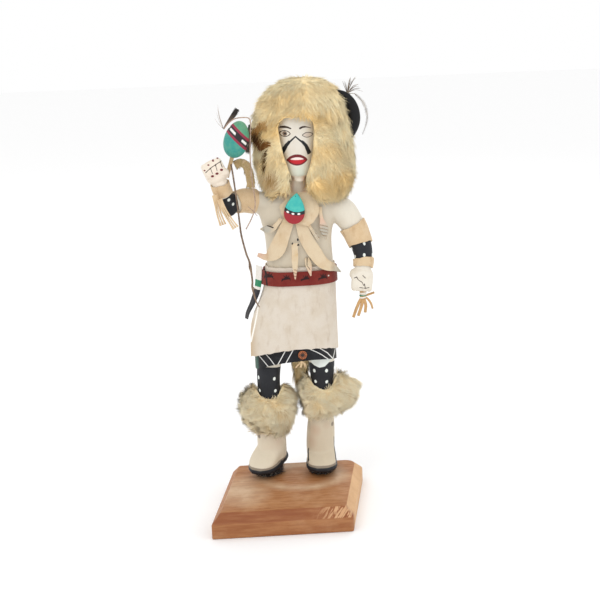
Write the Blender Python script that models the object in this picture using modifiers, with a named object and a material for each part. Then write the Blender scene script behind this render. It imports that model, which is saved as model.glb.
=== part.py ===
"""A kachina doll: a carved and painted dancer in a fur hood, standing on a wooden plinth.

Run it with: blender --background --python part.py
The doll faces -Y, +Z is up, and the origin is the centre of the plinth's underside. Lengths are metres.
The figure's pose and carving are shares of its height, and each garment takes its shape from the body
under it, with a clearance and a thickness of its own.
"""

import math

import bmesh
import bpy
from mathutils import Matrix, Vector

# Plinth: a board sawn a little out of square, its upper edges planed to a chamfer
PLINTH_WIDTH = 0.144
PLINTH_DEPTH = 0.141
PLINTH_THICKNESS = 0.025
PLINTH_SKEW = math.radians(10.0)
CHAMFER_WIDTH = 0.0084
CHAMFER_HEIGHT = 0.0099
CORNER_RADIUS = 0.0020
WORN_CORNER_RADIUS = 0.0120
CORNER_STEPS = 5

# Figure: its height from the soles to the crown, and where it stands on the plinth
FIGURE_HEIGHT = 0.400
STAND_X = 0.008
STAND_Y = 0.040
SOLE_PAD_THICKNESS = 0.0075
BODY_SIDES = 18
LIMB_SIDES = 10

# Fits: the gap left between pieces that touch, and the thickness of each sheet material
FIT_GAP = 0.0004
HIDE_THICKNESS = 0.0012
SUEDE_THICKNESS = 0.0016
BELT_THICKNESS = 0.0014
STRIP_THICKNESS = 0.0011

# Kilt, belt and what hangs from them
BELT_WIDTH = 0.0148
KILT_LENGTH = 0.1006
KILT_ABOVE_BELT = 0.0040
KILT_LAP = math.radians(36.0)
FLAP_LIFT = 0.0045
BORDER_WIDTH = 0.0173
BORDER_TUCK = 0.0040
SASH_LENGTH = 0.0580
ROSETTE_RADIUS = 0.0048
ROSETTE_THICKNESS = 0.0014
TASSEL_LENGTH = 0.0090
TASSEL_RADIUS = 0.0014
PELT_WIDTH = 0.0260
PELT_LENGTH = 0.1450
PELT_THICKNESS = 0.0080
SASH_TAPER_LEVEL = 0.5
SASH_END_SHARE = 0.55
PELT_TAIL_SHARE = 0.35
PELT_TAIL_SPREAD = 2.4
PELT_THIN_SHARE = 0.55

# Bands at the arms
BAND_THICKNESS = 0.0012
BAND_GAP = 0.0006

# What the figure wears and holds
PENDANT_WIDTH = 0.0245
PENDANT_LENGTH = 0.0320
PENDANT_THICKNESS = 0.0030
PENDANT_TILT = math.radians(9.0)
THONG_RADIUS = 0.0012
RATTLE_RADIUS = 0.0124
RATTLE_LENGTH = 0.0375
RATTLE_HANDLE_RADIUS = 0.0020
RATTLE_HANDLE_LENGTH = 0.0200
TWIG_RADIUS = 0.0009
STRAW_RADIUS = 0.0005
STRAP_WIDTH = 0.0075

WELD = 2e-6
UNIT = FIGURE_HEIGHT / 100.0
SOLE_Z = PLINTH_THICKNESS + SOLE_PAD_THICKNESS

COLOURS = {
    "plinth_wood": ((0.62, 0.36, 0.20), 0.45),
    "painted_wood": ((0.86, 0.83, 0.76), 0.55),
    "black_fur": ((0.05, 0.045, 0.04), 0.80),
    "tan_fur": ((0.78, 0.64, 0.40), 0.85),
    "white_hide": ((0.84, 0.78, 0.69), 0.80),
    "tan_hide": ((0.72, 0.56, 0.36), 0.80),
    "red_hide": ((0.42, 0.07, 0.05), 0.65),
    "horn_black": ((0.04, 0.04, 0.04), 0.50),
    "turquoise_paint": ((0.16, 0.62, 0.58), 0.50),
    "twig_brown": ((0.33, 0.24, 0.16), 0.75),
    "feather": ((0.30, 0.26, 0.22), 0.80),
    "copper": ((0.55, 0.27, 0.09), 0.40),
    "black_hide": ((0.04, 0.045, 0.06), 0.65),
}


def clear_scene():
    for item in list(bpy.data.objects):
        bpy.data.objects.remove(item, do_unlink=True)


def new_collection(name):
    made = bpy.data.collections.new(name)
    bpy.context.scene.collection.children.link(made)
    return made


def finish_material(slot):
    """The one material of a slot, made at its first use."""
    found = bpy.data.materials.get(slot)
    if found:
        return found
    colour, roughness = COLOURS[slot]
    made = bpy.data.materials.new(slot)
    made.use_nodes = True
    shader = made.node_tree.nodes["Principled BSDF"]
    shader.inputs["Base Color"].default_value = (*colour, 1.0)
    shader.inputs["Roughness"].default_value = roughness
    shader.inputs["Metallic"].default_value = 1.0 if slot == "copper" else 0.0
    return made


def add_object(name, mesh, slot, collection):
    made = bpy.data.objects.new(name, mesh)
    mesh.materials.clear()
    mesh.materials.append(finish_material(slot))
    collection.objects.link(made)
    return made


def evaluated_mesh(item):
    bpy.context.view_layer.update()
    graph = bpy.context.evaluated_depsgraph_get()
    return bpy.data.meshes.new_from_object(item.evaluated_get(graph))


def as_mesh(item):
    """The object with its modifiers, or its curve, turned into a welded mesh of its own."""
    mesh = evaluated_mesh(item)
    shape = bmesh.new()
    shape.from_mesh(mesh)
    bmesh.ops.remove_doubles(shape, verts=shape.verts, dist=WELD)
    bmesh.ops.recalc_face_normals(shape, faces=shape.faces)
    bmesh.ops.triangulate(shape, faces=shape.faces)
    shape.to_mesh(mesh)
    shape.free()
    name, home, place = item.name, item.users_collection[0], item.matrix_world.copy()
    slot = item.data.materials[0].name
    bpy.data.objects.remove(item, do_unlink=True)
    made = add_object(name, mesh, slot, home)
    made.matrix_world = place
    return made


def combine(item, others, operation):
    """The item joined with, or cut by, the others, which are used up."""
    for other in others:
        step = item.modifiers.new("shape", "BOOLEAN")
        step.operation = operation
        step.solver = "EXACT"
        step.object = other
    made = as_mesh(item)
    for other in others:
        bpy.data.objects.remove(other, do_unlink=True)
    return made


def shade(item, degrees=35.0):
    item.data.shade_smooth()
    item.data.set_sharp_from_angle(angle=math.radians(degrees))


def spline_row(rows, at):
    """The values at a place, read from a smooth curve through rows of (place, value, value, ...)."""
    at = min(max(at, rows[0][0]), rows[-1][0])
    index = 0
    while index < len(rows) - 2 and at > rows[index + 1][0]:
        index += 1
    before, start, end, after = (
        rows[max(index - 1, 0)],
        rows[index],
        rows[index + 1],
        rows[min(index + 2, len(rows) - 1)],
    )
    span = end[0] - start[0]
    t = (at - start[0]) / span
    values = []
    for k in range(1, len(start)):
        rise_in = (end[k] - before[k]) / (end[0] - before[0]) * span
        rise_out = (after[k] - start[k]) / (after[0] - start[0]) * span
        values.append(
            (2 * t**3 - 3 * t**2 + 1) * start[k]
            + (t**3 - 2 * t**2 + t) * rise_in
            + (3 * t**2 - 2 * t**3) * end[k]
            + (t**3 - t**2) * rise_out
        )
    return values


def spread(low, high, count):
    return [low + (high - low) * i / (count - 1) for i in range(count)]


def rounded(angle, power):
    """The point of a unit circle squared off by the power: 2 is a circle, and more is boxier."""
    c, s = math.cos(angle), math.sin(angle)
    return (
        math.copysign(abs(c) ** (2 / power), c),
        math.copysign(abs(s) ** (2 / power), s),
    )


def flat_ring(centre_x, centre_y, z, half_width, half_depth, power=2.2, sides=BODY_SIDES):
    ring = []
    for i in range(sides):
        x, y = rounded(2 * math.pi * i / sides, power)
        ring.append(Vector((centre_x + half_width * x, centre_y + half_depth * y, z)))
    return ring


def stretched(rings, grow):
    """Rings with the first and the last moved outwards, so that a solid is larger at its ends too."""
    if grow == 0.0:
        return rings
    centres = [sum(ring, Vector()) / len(ring) for ring in rings]
    first = (centres[0] - centres[1]).normalized() * grow
    last = (centres[-1] - centres[-2]).normalized() * grow
    return [
        [point + first for point in rings[0]],
        *rings[1:-1],
        [point + last for point in rings[-1]],
    ]


def loft(name, rings, slot, collection, grow=0.0):
    """A closed solid through rings that have the same number of points, its ends moved out by grow."""
    rings = stretched(rings, grow)
    shape = bmesh.new()
    loops = [[shape.verts.new(point) for point in ring] for ring in rings]
    for lower, upper in zip(loops, loops[1:]):
        for i in range(len(lower)):
            j = (i + 1) % len(lower)
            shape.faces.new((lower[i], lower[j], upper[j], upper[i]))
    shape.faces.new(loops[0])
    shape.faces.new(loops[-1])
    bmesh.ops.recalc_face_normals(shape, faces=shape.faces)
    bmesh.ops.triangulate(shape, faces=shape.faces)
    mesh = bpy.data.meshes.new(name)
    shape.to_mesh(mesh)
    shape.free()
    return add_object(name, mesh, slot, collection)


def sheet(name, grid, thickness, slot, collection, closed=False):
    """A sheet of hide. Its grid lies on its inner face, with rows from the bottom up and columns to the right
    as seen from outside, and a Solidify modifier gives it its thickness outwards."""
    shape = bmesh.new()
    rows = [[shape.verts.new(point) for point in row] for row in grid]
    for lower, upper in zip(rows, rows[1:]):
        last = len(lower) if closed else len(lower) - 1
        for i in range(last):
            j = (i + 1) % len(lower)
            shape.faces.new((lower[i], lower[j], upper[j], upper[i]))
    mesh = bpy.data.meshes.new(name)
    shape.to_mesh(mesh)
    shape.free()
    made = add_object(name, mesh, slot, collection)
    solid = made.modifiers.new("thickness", "SOLIDIFY")
    solid.thickness = thickness
    solid.offset = 1.0
    solid.use_even_offset = True
    return made


def rod(name, points, radii, slot, collection, resolution=1):
    """A round bar along points, with its own radius at each, as a curve with filled caps."""
    curve = bpy.data.curves.new(name, "CURVE")
    curve.dimensions = "3D"
    curve.bevel_depth = 1.0
    curve.bevel_resolution = resolution
    curve.use_fill_caps = True
    line = curve.splines.new("POLY")
    line.points.add(len(points) - 1)
    for knot, point, radius in zip(line.points, points, radii):
        knot.co = (*point, 1.0)
        knot.radius = radius
    made = bpy.data.objects.new(name, curve)
    curve.materials.append(finish_material(slot))
    collection.objects.link(made)
    return made


def smooth_points(rows, count):
    """Points and radii, read from a smooth curve through rows of (x, y, z, radius)."""
    placed = [(float(i), *row) for i, row in enumerate(rows)]
    read = [spline_row(placed, at) for at in spread(0.0, len(rows) - 1.0, count)]
    return [Vector(row[:3]) for row in read], [row[3] for row in read]


def figure_point(x, y, z):
    """A point given in hundredths of the figure's height, from between its soles."""
    return Vector((STAND_X + x * UNIT, STAND_Y + y * UNIT, SOLE_Z + z * UNIT))


# The plinth


def plinth_ring(inset, z):
    half_width, half_depth = PLINTH_WIDTH / 2 - inset, PLINTH_DEPTH / 2 - inset
    corners = (
        (1, 1, WORN_CORNER_RADIUS),
        (-1, 1, CORNER_RADIUS),
        (-1, -1, CORNER_RADIUS),
        (1, -1, CORNER_RADIUS),
    )
    ring = []
    for quarter, (side, end, radius) in enumerate(corners):
        middle_x, middle_y = side * (half_width - radius), end * (half_depth - radius)
        for turn in spread(0.0, math.pi / 2, CORNER_STEPS):
            angle = quarter * math.pi / 2 + turn
            x, y = middle_x + radius * math.cos(angle), middle_y + radius * math.sin(angle)
            ring.append(Vector((x + math.tan(PLINTH_SKEW) * y, y, z)))
    return ring


def make_plinth(collection):
    rings = [
        plinth_ring(0.0, 0.0),
        plinth_ring(0.0, PLINTH_THICKNESS - CHAMFER_HEIGHT),
        plinth_ring(CHAMFER_WIDTH, PLINTH_THICKNESS),
    ]
    shade(loft("plinth", rings, "plinth_wood", collection))


# The carved figure. Rows are hundredths of its height, from the sole up.

# Height, centre line, half width, half depth
TORSO_ROWS = (
    (30.6, 0.85, 6.9, 4.3),
    (32.0, 0.9, 8.0, 4.8),
    (38.0, 1.4, 8.6, 5.1),
    (44.0, 2.1, 8.8, 5.2),
    (50.5, 2.8, 8.9, 5.0),
    (56.0, 3.1, 8.6, 4.7),
    (63.0, 2.9, 8.6, 4.6),
    (68.0, 2.9, 9.6, 4.7),
    (71.5, 3.0, 10.4, 4.2),
    (74.0, 3.0, 7.4, 3.5),
    (76.0, 3.1, 3.3, 2.9),
    (81.8, 3.2, 2.5, 2.6),
)
TORSO_POWER = 2.5
TORSO_LEVELS = (30.6, 34.0, 44.0, 54.0, 61.0, 66.0, 69.5, 72.0, 74.0, 76.0, 81.8)

# Height, centre line, half width, face front, back of the head
HEAD_ROWS = (
    (79.2, 3.4, 1.5, -5.2, -2.6),
    (79.8, 3.4, 2.6, -6.1, -0.4),
    (81.0, 3.4, 3.4, -6.5, 1.6),
    (83.2, 3.4, 4.1, -6.7, 3.6),
    (85.8, 3.4, 4.8, -6.7, 5.2),
    (88.5, 3.4, 5.5, -6.5, 6.0),
    (92.0, 3.4, 5.8, -6.2, 6.3),
    (95.5, 3.4, 5.3, -5.4, 6.0),
    (98.3, 3.4, 3.6, -3.6, 4.6),
    (99.6, 3.4, 1.8, -1.4, 2.6),
    (100.0, 3.4, 0.6, 0.0, 1.2),
)

HEAD_LEVELS = (79.2, 79.8, 81.2, 83.6, 87.2, 91.5, 95.5, 98.4, 100.0)

# Along the limb: x, y, z, radius
LIMB_LEVELS = 8
SIDEWAYS_LIMB = 0.7
LOWERED_ARM_ROWS = (
    (9.5, -0.1, 70.4, 3.0),
    (14.0, -0.3, 69.4, 3.6),
    (16.6, -0.6, 66.2, 3.2),
    (18.3, -1.3, 62.4, 2.9),
    (19.2, -2.4, 59.4, 2.6),
    (19.4, -3.4, 56.8, 2.3),
    (19.1, -4.2, 54.6, 2.1),
)
RAISED_UPPER_ARM_ROWS = (
    (-1.0, 0.2, 69.6, 2.8),
    (-4.5, -0.1, 71.4, 3.0),
    (-8.0, -1.2, 72.9, 2.8),
    (-11.2, -2.9, 73.6, 2.6),
    (-13.6, -4.4, 73.2, 2.3),
    (-14.9, -5.2, 72.9, 1.5),
)
RAISED_FOREARM_ROWS = (
    (-14.3, -4.8, 70.4, 1.0),
    (-14.5, -5.0, 71.3, 1.9),
    (-14.8, -5.3, 73.0, 2.2),
    (-15.5, -6.0, 75.2, 2.1),
    (-16.3, -6.8, 77.4, 2.0),
    (-16.8, -7.3, 79.6, 2.0),
)
STILL_LEG_ROWS = (
    (5.2, 0.0, 36.5, 3.9),
    (7.6, -0.3, 31.5, 3.6),
    (7.9, -0.7, 27.0, 3.3),
    (7.8, -0.5, 21.5, 2.8),
    (7.5, 0.1, 16.5, 3.0),
    (7.3, 0.4, 11.5, 3.6),
    (7.0, 0.5, 6.0, 3.8),
    (6.9, 0.3, 1.6, 3.6),
)
STEPPING_LEG_ROWS = (
    (-2.6, 0.0, 36.5, 3.9),
    (-5.5, -0.4, 31.5, 3.4),
    (-6.3, -0.9, 26.5, 3.1),
    (-6.3, -0.5, 20.5, 3.0),
    (-6.3, 0.1, 15.5, 3.1),
    (-6.2, 0.4, 10.5, 3.7),
    (-6.1, 0.5, 6.0, 3.9),
    (-6.0, 0.2, 2.4, 3.6),
)

# Along the foot from the heel: half width, height of the instep
FOOT_ROWS = (
    (0.0, 1.7, 3.2),
    (1.2, 2.9, 5.4),
    (3.6, 3.6, 6.4),
    (6.2, 3.8, 5.6),
    (8.6, 3.9, 4.2),
    (10.6, 3.5, 3.0),
    (12.0, 2.5, 2.2),
    (12.8, 1.3, 1.5),
)
SOLE_FUR_MIDDLE = 0.45
SOLE_FUR_REACH = 0.34
SOLE_FUR_WIDTH = 0.82
SOLE_HEIGHT = 1.3
SOLE_WELT = 0.30
UPPER_START = 0.55

FIST_WIDTH = 5.5
FIST_LENGTH = 6.2
FIST_DEPTH = 4.6
FINGER_RADIUS = 0.82
FINGERS = 4


def torso_ring(z, grow=0.0):
    centre, half_width, half_depth = spline_row(TORSO_ROWS, z)
    middle = figure_point(centre, 0.0, z)
    return flat_ring(
        middle.x, middle.y, middle.z, half_width * UNIT + grow, half_depth * UNIT + grow, TORSO_POWER
    )


def torso_face(x, z, front=True):
    """The torso's surface at a place seen from the front: its y, in metres. x and z are metres too."""
    centre, half_width, half_depth = spline_row(TORSO_ROWS, (z - SOLE_Z) / UNIT)
    across = min(abs(x - STAND_X - centre * UNIT) / (half_width * UNIT), 0.97)
    depth = half_depth * UNIT * (1 - across**TORSO_POWER) ** (1 / TORSO_POWER)
    return STAND_Y - depth if front else STAND_Y + depth


def head_ring(z, grow=0.0):
    centre, half_width, front, back = spline_row(HEAD_ROWS, z)
    middle = figure_point(centre, (front + back) / 2, z)
    half_depth = (back - front) / 2
    return flat_ring(
        middle.x, middle.y, middle.z, half_width * UNIT + grow, half_depth * UNIT + grow, 2.15
    )


def limb_frames(rows, count):
    """Places along a limb: the centre, two directions across it, and the radius, in metres."""
    points, radii = smooth_points(rows, count)
    points = [figure_point(*point) for point in points]
    frames = []
    sideways = abs((points[1] - points[0]).normalized().x) > SIDEWAYS_LIMB
    across = Vector((0.0, 1.0, 0.0)) if sideways else Vector((1.0, 0.0, 0.0))
    for i, point in enumerate(points):
        along = (points[min(i + 1, count - 1)] - points[max(i - 1, 0)]).normalized()
        across = (across - along * across.dot(along)).normalized()
        frames.append((point, across.copy(), along.cross(across), radii[i] * UNIT))
    return frames


def limb_rings(rows, count, grow=0.0, sides=LIMB_SIDES):
    rings = []
    for centre, across, other, radius in limb_frames(rows, count):
        ring = []
        for i in range(sides):
            angle = 2 * math.pi * i / sides
            ring.append(centre + (across * math.cos(angle) + other * math.sin(angle)) * (radius + grow))
        rings.append(ring)
    return rings


def foot_frame(heel, degrees, heel_lift):
    """Places a foot: its heel's middle on the sole, the way its toes point, and the lift of the heel."""
    length = FOOT_ROWS[-1][0] * UNIT
    turn = Matrix.Rotation(math.radians(degrees), 4, "Z")
    pitch = Matrix.Rotation(math.asin(heel_lift / length), 4, "X")
    toe = figure_point(heel[0], heel[1], 0.0) + turn @ Vector((0.0, -length, 0.0))
    return Matrix.Translation(toe) @ turn @ pitch @ Matrix.Translation((0.0, length, 0.0))


SOLE_EDGE_SHARE = 0.8
SOLE_EDGE_EASE = 0.06
STILL_FOOT = {"heel": (7.4, 5.6), "degrees": -3.0, "heel_lift": 0.0}
STEPPING_FOOT = {"heel": (-3.6, 4.6), "degrees": -34.0, "heel_lift": 0.0065}
FEET = {"still": STILL_FOOT, "stepping": STEPPING_FOOT}


def foot_parts(name, foot, grow, collection):
    """The upper of a boot as a loft from heel to toe, and its sole as a slab with a welt."""
    place = foot_frame(foot["heel"], foot["degrees"], foot["heel_lift"])
    heel, toe = FOOT_ROWS[0][0], FOOT_ROWS[-1][0]
    buried = UPPER_START * UNIT
    upper = []
    for along in spread(heel, toe, 8):
        half_width, height = spline_row(FOOT_ROWS, along)
        rise = (height * UNIT - buried) / 2
        ring = []
        for i in range(LIMB_SIDES):
            x, z = rounded(2 * math.pi * i / LIMB_SIDES, 2.6)
            point = Vector((x * (half_width * UNIT + grow), -along * UNIT, buried + rise + z * (rise + grow)))
            ring.append(place @ point)
        upper.append(ring)
    outline = []
    stations = spread(heel - SOLE_WELT, toe + SOLE_WELT, 8)
    for side in (1, -1):
        for along in stations if side > 0 else reversed(stations):
            half_width = spline_row(FOOT_ROWS, along)[0] + SOLE_WELT
            outline.append((side * (half_width * UNIT + grow), -along * UNIT))
    heights = (-grow, SOLE_HEIGHT * UNIT * SOLE_EDGE_SHARE, SOLE_HEIGHT * UNIT + grow)
    slab = [[place @ Vector((x, y, z)) for x, y in outline] for z in heights]
    middle = sum(slab[2], Vector()) / len(slab[2])
    slab[2] = [point.lerp(middle, SOLE_EDGE_EASE) for point in slab[2]]
    return [
        loft(name + "_upper", upper, "painted_wood", collection),
        loft(name + "_sole", slab, "painted_wood", collection),
    ]


def fist_frame(wrist, towards, palm):
    """A fist's place: its middle, with Z along the fingers' reach and -Y out of the palm's front."""
    up = (towards - wrist).normalized()
    out = (palm - up * palm.dot(up)).normalized()
    side = up.cross(-out).normalized() * -1.0
    turn = Matrix((side, -out, up)).transposed().to_4x4()
    return Matrix.Translation(wrist + up * FIST_LENGTH * UNIT * 0.42) @ turn


# Levels of the palm as shares of its half length, and its narrowing towards the wrist
PALM_LEVELS = (-0.98, -0.80, -0.4, 0.4, 0.82, 0.97)
PALM_ROUNDING = 3.2
WRIST_SHARE = 0.86
WRIST_LEVEL = -0.6
# Turns of a finger: out of the palm and along the hand. Turns of the thumb: across, out and along.
# Both are shares of the palm's half sizes.
FINGER_TURNS = ((-0.25, 0.84), (-0.80, 0.74), (-0.98, 0.24), (-0.76, -0.12))
FINGER_TAPER = (0.9, 1.05, 1.05, 0.8)
FINGER_SPACING = 0.92
THUMB_TURNS = ((0.80, -0.10, -0.62), (0.86, -0.62, -0.28), (0.55, -1.00, -0.16))
THUMB_RADII = (0.95, 1.0, 0.75)


def fist_parts(name, place, grow, collection):
    """A closed hand: a rounded block with a ridge for each curled finger and one for the thumb."""
    half = Vector((FIST_WIDTH, FIST_DEPTH, FIST_LENGTH)) * (UNIT / 2)
    rings = []
    for share in PALM_LEVELS:
        width = (1 - abs(share) ** PALM_ROUNDING) ** (1 / PALM_ROUNDING)
        narrow = WRIST_SHARE if share < WRIST_LEVEL else 1.0
        ring = []
        for i in range(LIMB_SIDES):
            x, y = rounded(2 * math.pi * i / LIMB_SIDES, 2.8)
            ring.append(
                place
                @ Vector(
                    (
                        x * (half.x * width * narrow + grow),
                        y * (half.y * width * narrow + grow),
                        share * (half.z + grow),
                    )
                )
            )
        rings.append(ring)
    made = [loft(name + "_palm", rings, "painted_wood", collection)]
    pitch = FIST_WIDTH * UNIT / FINGERS
    for finger in range(FINGERS):
        x = (finger - (FINGERS - 1) / 2) * pitch * FINGER_SPACING
        line = [Vector((x, half.y * out, half.z * up)) for out, up in FINGER_TURNS]
        radii = [FINGER_RADIUS * UNIT * share + grow for share in FINGER_TAPER]
        bar = rod(f"{name}_finger_{finger}", [place @ p for p in line], radii, "painted_wood", collection)
        made.append(as_mesh(bar))
    thumb = [Vector((half.x * x, half.y * y, half.z * z)) for x, y, z in THUMB_TURNS]
    radii = [UNIT * share + grow for share in THUMB_RADII]
    made.append(as_mesh(rod(name + "_thumb", [place @ p for p in thumb], radii, "painted_wood", collection)))
    return made


def limb_end(rows):
    return figure_point(*rows[-1][:3])


def raised_fist():
    wrist = limb_end(RAISED_FOREARM_ROWS)
    return fist_frame(wrist, wrist + Vector((-0.42, -0.05, 1.0)), Vector((0.05, -1.0, 0.10)))


def lowered_fist():
    wrist = limb_end(LOWERED_ARM_ROWS)
    return fist_frame(wrist, wrist + Vector((-0.10, -0.20, -1.0)), Vector((-0.15, -1.0, 0.10)))


def figure_parts(grow, collection):
    """Every carved form of the figure, each made larger all round by grow, as separate solids."""
    made = [
        loft("torso", [torso_ring(z, grow) for z in TORSO_LEVELS], "painted_wood", collection, grow),
        loft("head", [head_ring(z, grow) for z in HEAD_LEVELS], "painted_wood", collection, grow),
    ]
    limbs = {
        "lowered_arm": LOWERED_ARM_ROWS,
        "raised_upper_arm": RAISED_UPPER_ARM_ROWS,
        "raised_forearm": RAISED_FOREARM_ROWS,
        "still_leg": STILL_LEG_ROWS,
        "stepping_leg": STEPPING_LEG_ROWS,
    }
    for name, rows in limbs.items():
        made.append(loft(name, limb_rings(rows, LIMB_LEVELS, grow), "painted_wood", collection, grow))
    made += fist_parts("raised_fist", raised_fist(), grow, collection)
    made += fist_parts("lowered_fist", lowered_fist(), grow, collection)
    for name, foot in FEET.items():
        made += foot_parts(name + "_foot", foot, grow, collection)
    return made


def handle_line():
    """The rattle's handle from the egg's lower end down into the raised fist."""
    low, high = rattle_axis()
    down = (low - high).normalized()
    return [low - down * RATTLE_RADIUS * 0.5, low + down * RATTLE_HANDLE_LENGTH]


def make_figure(collection):
    parts = figure_parts(0.0, collection)
    body = combine(parts[0], parts[1:], "UNION")
    radius = RATTLE_HANDLE_RADIUS + FIT_GAP
    hole = as_mesh(rod("grip", handle_line(), [radius, radius], "painted_wood", collection))
    body = combine(body, [hole], "DIFFERENCE")
    body.name = "carved_figure"
    shade(body)


# Fur. Rows are height, centre line, half width, front and back, in hundredths of the figure's height.

HOOD_ROWS = (
    (72.6, 5.9, 8.8, -6.2, 7.5),
    (74.3, 5.6, 11.1, -7.6, 9.6),
    (77.4, 5.4, 12.2, -8.4, 11.2),
    (81.0, 5.3, 12.8, -8.7, 12.2),
    (85.0, 5.3, 13.1, -8.6, 12.9),
    (90.0, 5.0, 13.0, -8.3, 12.9),
    (94.0, 4.9, 12.5, -7.9, 12.3),
    (98.0, 4.9, 11.1, -6.6, 10.8),
    (101.0, 5.1, 8.6, -4.2, 8.6),
    (103.0, 5.4, 5.0, -1.4, 5.8),
    (103.8, 5.6, 1.8, 0.5, 3.4),
)
HOOD_LOCKS = 7
HOOD_LOCK_DEPTH = 0.35
HOOD_SIDES = 26
HOOD_LEVELS = (72.6, 74.4, 77.6, 83.0, 89.0, 94.5, 98.5, 101.2, 103.0, 103.8)

# The opening of the hood: height, centre line, half width
FACE_ROWS = (
    (67.0, 3.2, 6.4),
    (72.0, 3.2, 5.4),
    (74.4, 3.1, 4.2),
    (76.2, 3.0, 2.6),
    (78.0, 3.0, 2.1),
    (80.0, 3.05, 2.15),
    (81.6, 3.3, 2.5),
    (83.0, 3.3, 3.1),
    (85.0, 3.2, 3.7),
    (87.4, 3.1, 4.1),
    (89.7, 3.05, 4.4),
    (92.1, 2.9, 4.65),
    (93.8, 2.95, 4.2),
    (94.7, 3.0, 2.6),
)
FACE_LEVELS = (67.0, 71.0, 74.4, 76.6, 80.0, 82.6, 85.4, 88.4, 92.1, 93.8, 94.7)
FACE_OPENING_FRONT = -16.0
FACE_OPENING_BACK = -1.6

HORN_LEVELS = 12
HORN_ROWS = (
    (9.6, 1.0, 86.8, 1.5),
    (13.0, 1.0, 87.0, 1.6),
    (16.2, 1.0, 88.8, 1.7),
    (17.8, 1.0, 91.4, 1.75),
    (18.1, 1.0, 94.0, 1.65),
    (17.5, 1.0, 96.6, 1.35),
    (16.0, 1.0, 98.7, 0.95),
    (13.7, 1.0, 100.0, 0.40),
)
EAR_TASSEL_ROWS = (
    (-9.3, 0.5, 85.4, 0.45),
    (-9.0, 0.4, 87.0, 0.95),
    (-8.9, 0.3, 89.0, 0.95),
    (-8.7, 0.2, 91.0, 0.75),
    (-8.4, 0.2, 92.4, 0.30),
)

# Furry rings at the ankles: height, centre line, half width, half depth
STILL_ANKLET_ROWS = (
    (14.6, 7.6, 4.7, 4.9),
    (15.8, 8.9, 6.5, 6.0),
    (17.8, 9.6, 8.0, 6.6),
    (20.0, 9.6, 8.0, 6.2),
    (21.4, 9.0, 6.4, 4.9),
    (21.9, 8.2, 4.6, 4.1),
)
STEPPING_ANKLET_ROWS = (
    (10.2, -6.2, 4.8, 4.9),
    (11.6, -6.5, 6.3, 6.0),
    (14.2, -6.6, 7.5, 6.6),
    (17.4, -6.7, 7.6, 6.3),
    (19.1, -6.6, 6.2, 4.9),
    (19.8, -6.4, 4.5, 4.1),
)
ANKLET_SIDES = 21
ANKLET_LOCKS = 7
ANKLET_LOCK_DEPTH = 0.35
ANKLET_SIDE_LIFT = 3.7


def fur_ring(row, z, sides, locks, lock_depth, side_lift=0.0):
    """A level ring of fur with shallow locks round it, lifted at its left and right sides."""
    centre, half_width, front, back = row
    ring = []
    for i in range(sides):
        angle = 2 * math.pi * i / sides
        x, y = rounded(angle, 2.1)
        lock = lock_depth * math.sin(locks * angle + z * 0.35)
        ring.append(
            figure_point(
                centre + (half_width + lock) * x,
                (front + back) / 2 + ((back - front) / 2 + lock) * y,
                z + side_lift * x * x,
            )
        )
    return ring


def limb_solid(name, rows, count, grow, slot, collection, sides=LIMB_SIDES):
    """A round tapered form along its rows, made larger all round by grow."""
    rings = limb_rings(rows, count, grow, sides)
    return loft(name, rings, slot, collection, grow)


BIB_SEAT_ROWS = ((65.0, 3.4, 7.6), (70.0, 3.4, 7.6), (76.2, 3.3, 6.0))


def bib_seat(collection):
    """The room under the hood's lobes for the layers of the bib."""
    rings = []
    yoke_low = figure_point(*YOKE_ROWS[-1][:2], 0.0)
    deep = STAND_Y - torso_face(yoke_low.x, SOLE_Z + YOKE_ROWS[-1][1] * UNIT)
    deep += layer_clearance(BIB_LAYERS) + 2 * FIT_GAP
    for z, centre, half_width in BIB_SEAT_ROWS:
        middle = figure_point(centre, 0.0, z)
        rings.append(flat_ring(middle.x, middle.y, middle.z, half_width * UNIT, deep, 4.0, 12))
    return loft("bib_seat", rings, "tan_fur", collection)


def make_hood(collection):
    rings = []
    for z in HOOD_LEVELS:
        fade = min(1.0, (HOOD_ROWS[-1][0] - z) / 6.0)
        rings.append(fur_ring(spline_row(HOOD_ROWS, z), z, HOOD_SIDES, HOOD_LOCKS, HOOD_LOCK_DEPTH * fade))
    hood = loft("fur_hood", rings, "tan_fur", collection)
    window = []
    for z in FACE_LEVELS:
        centre, half_width = spline_row(FACE_ROWS, z)
        middle = figure_point(centre, (FACE_OPENING_FRONT + FACE_OPENING_BACK) / 2, z)
        depth = (FACE_OPENING_BACK - FACE_OPENING_FRONT) / 2 * UNIT
        window.append(flat_ring(middle.x, middle.y, middle.z, half_width * UNIT, depth, 4.0, 12))
    cutters = [loft("face_opening", window, "tan_fur", collection), bib_seat(collection)]
    parts = figure_parts(FIT_GAP, collection)
    wanted = ("torso", "head", "lowered_arm", "raised_upper_arm")
    for part in parts:
        if part.name.split(".")[0] in wanted:
            cutters.append(part)
        else:
            bpy.data.objects.remove(part, do_unlink=True)
    cutters.append(limb_solid("horn_seat", HORN_ROWS, HORN_LEVELS, FIT_GAP, "tan_fur", collection, 10))
    cutters.append(limb_solid("ear_seat", EAR_TASSEL_ROWS, 6, FIT_GAP, "tan_fur", collection, 8))
    shade(combine(hood, cutters, "DIFFERENCE"), 60.0)


def make_horn(collection):
    shade(limb_solid("horn", HORN_ROWS, HORN_LEVELS, 0.0, "horn_black", collection, 10))
    shade(limb_solid("ear_tassel", EAR_TASSEL_ROWS, 6, 0.0, "feather", collection, 8))


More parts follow.
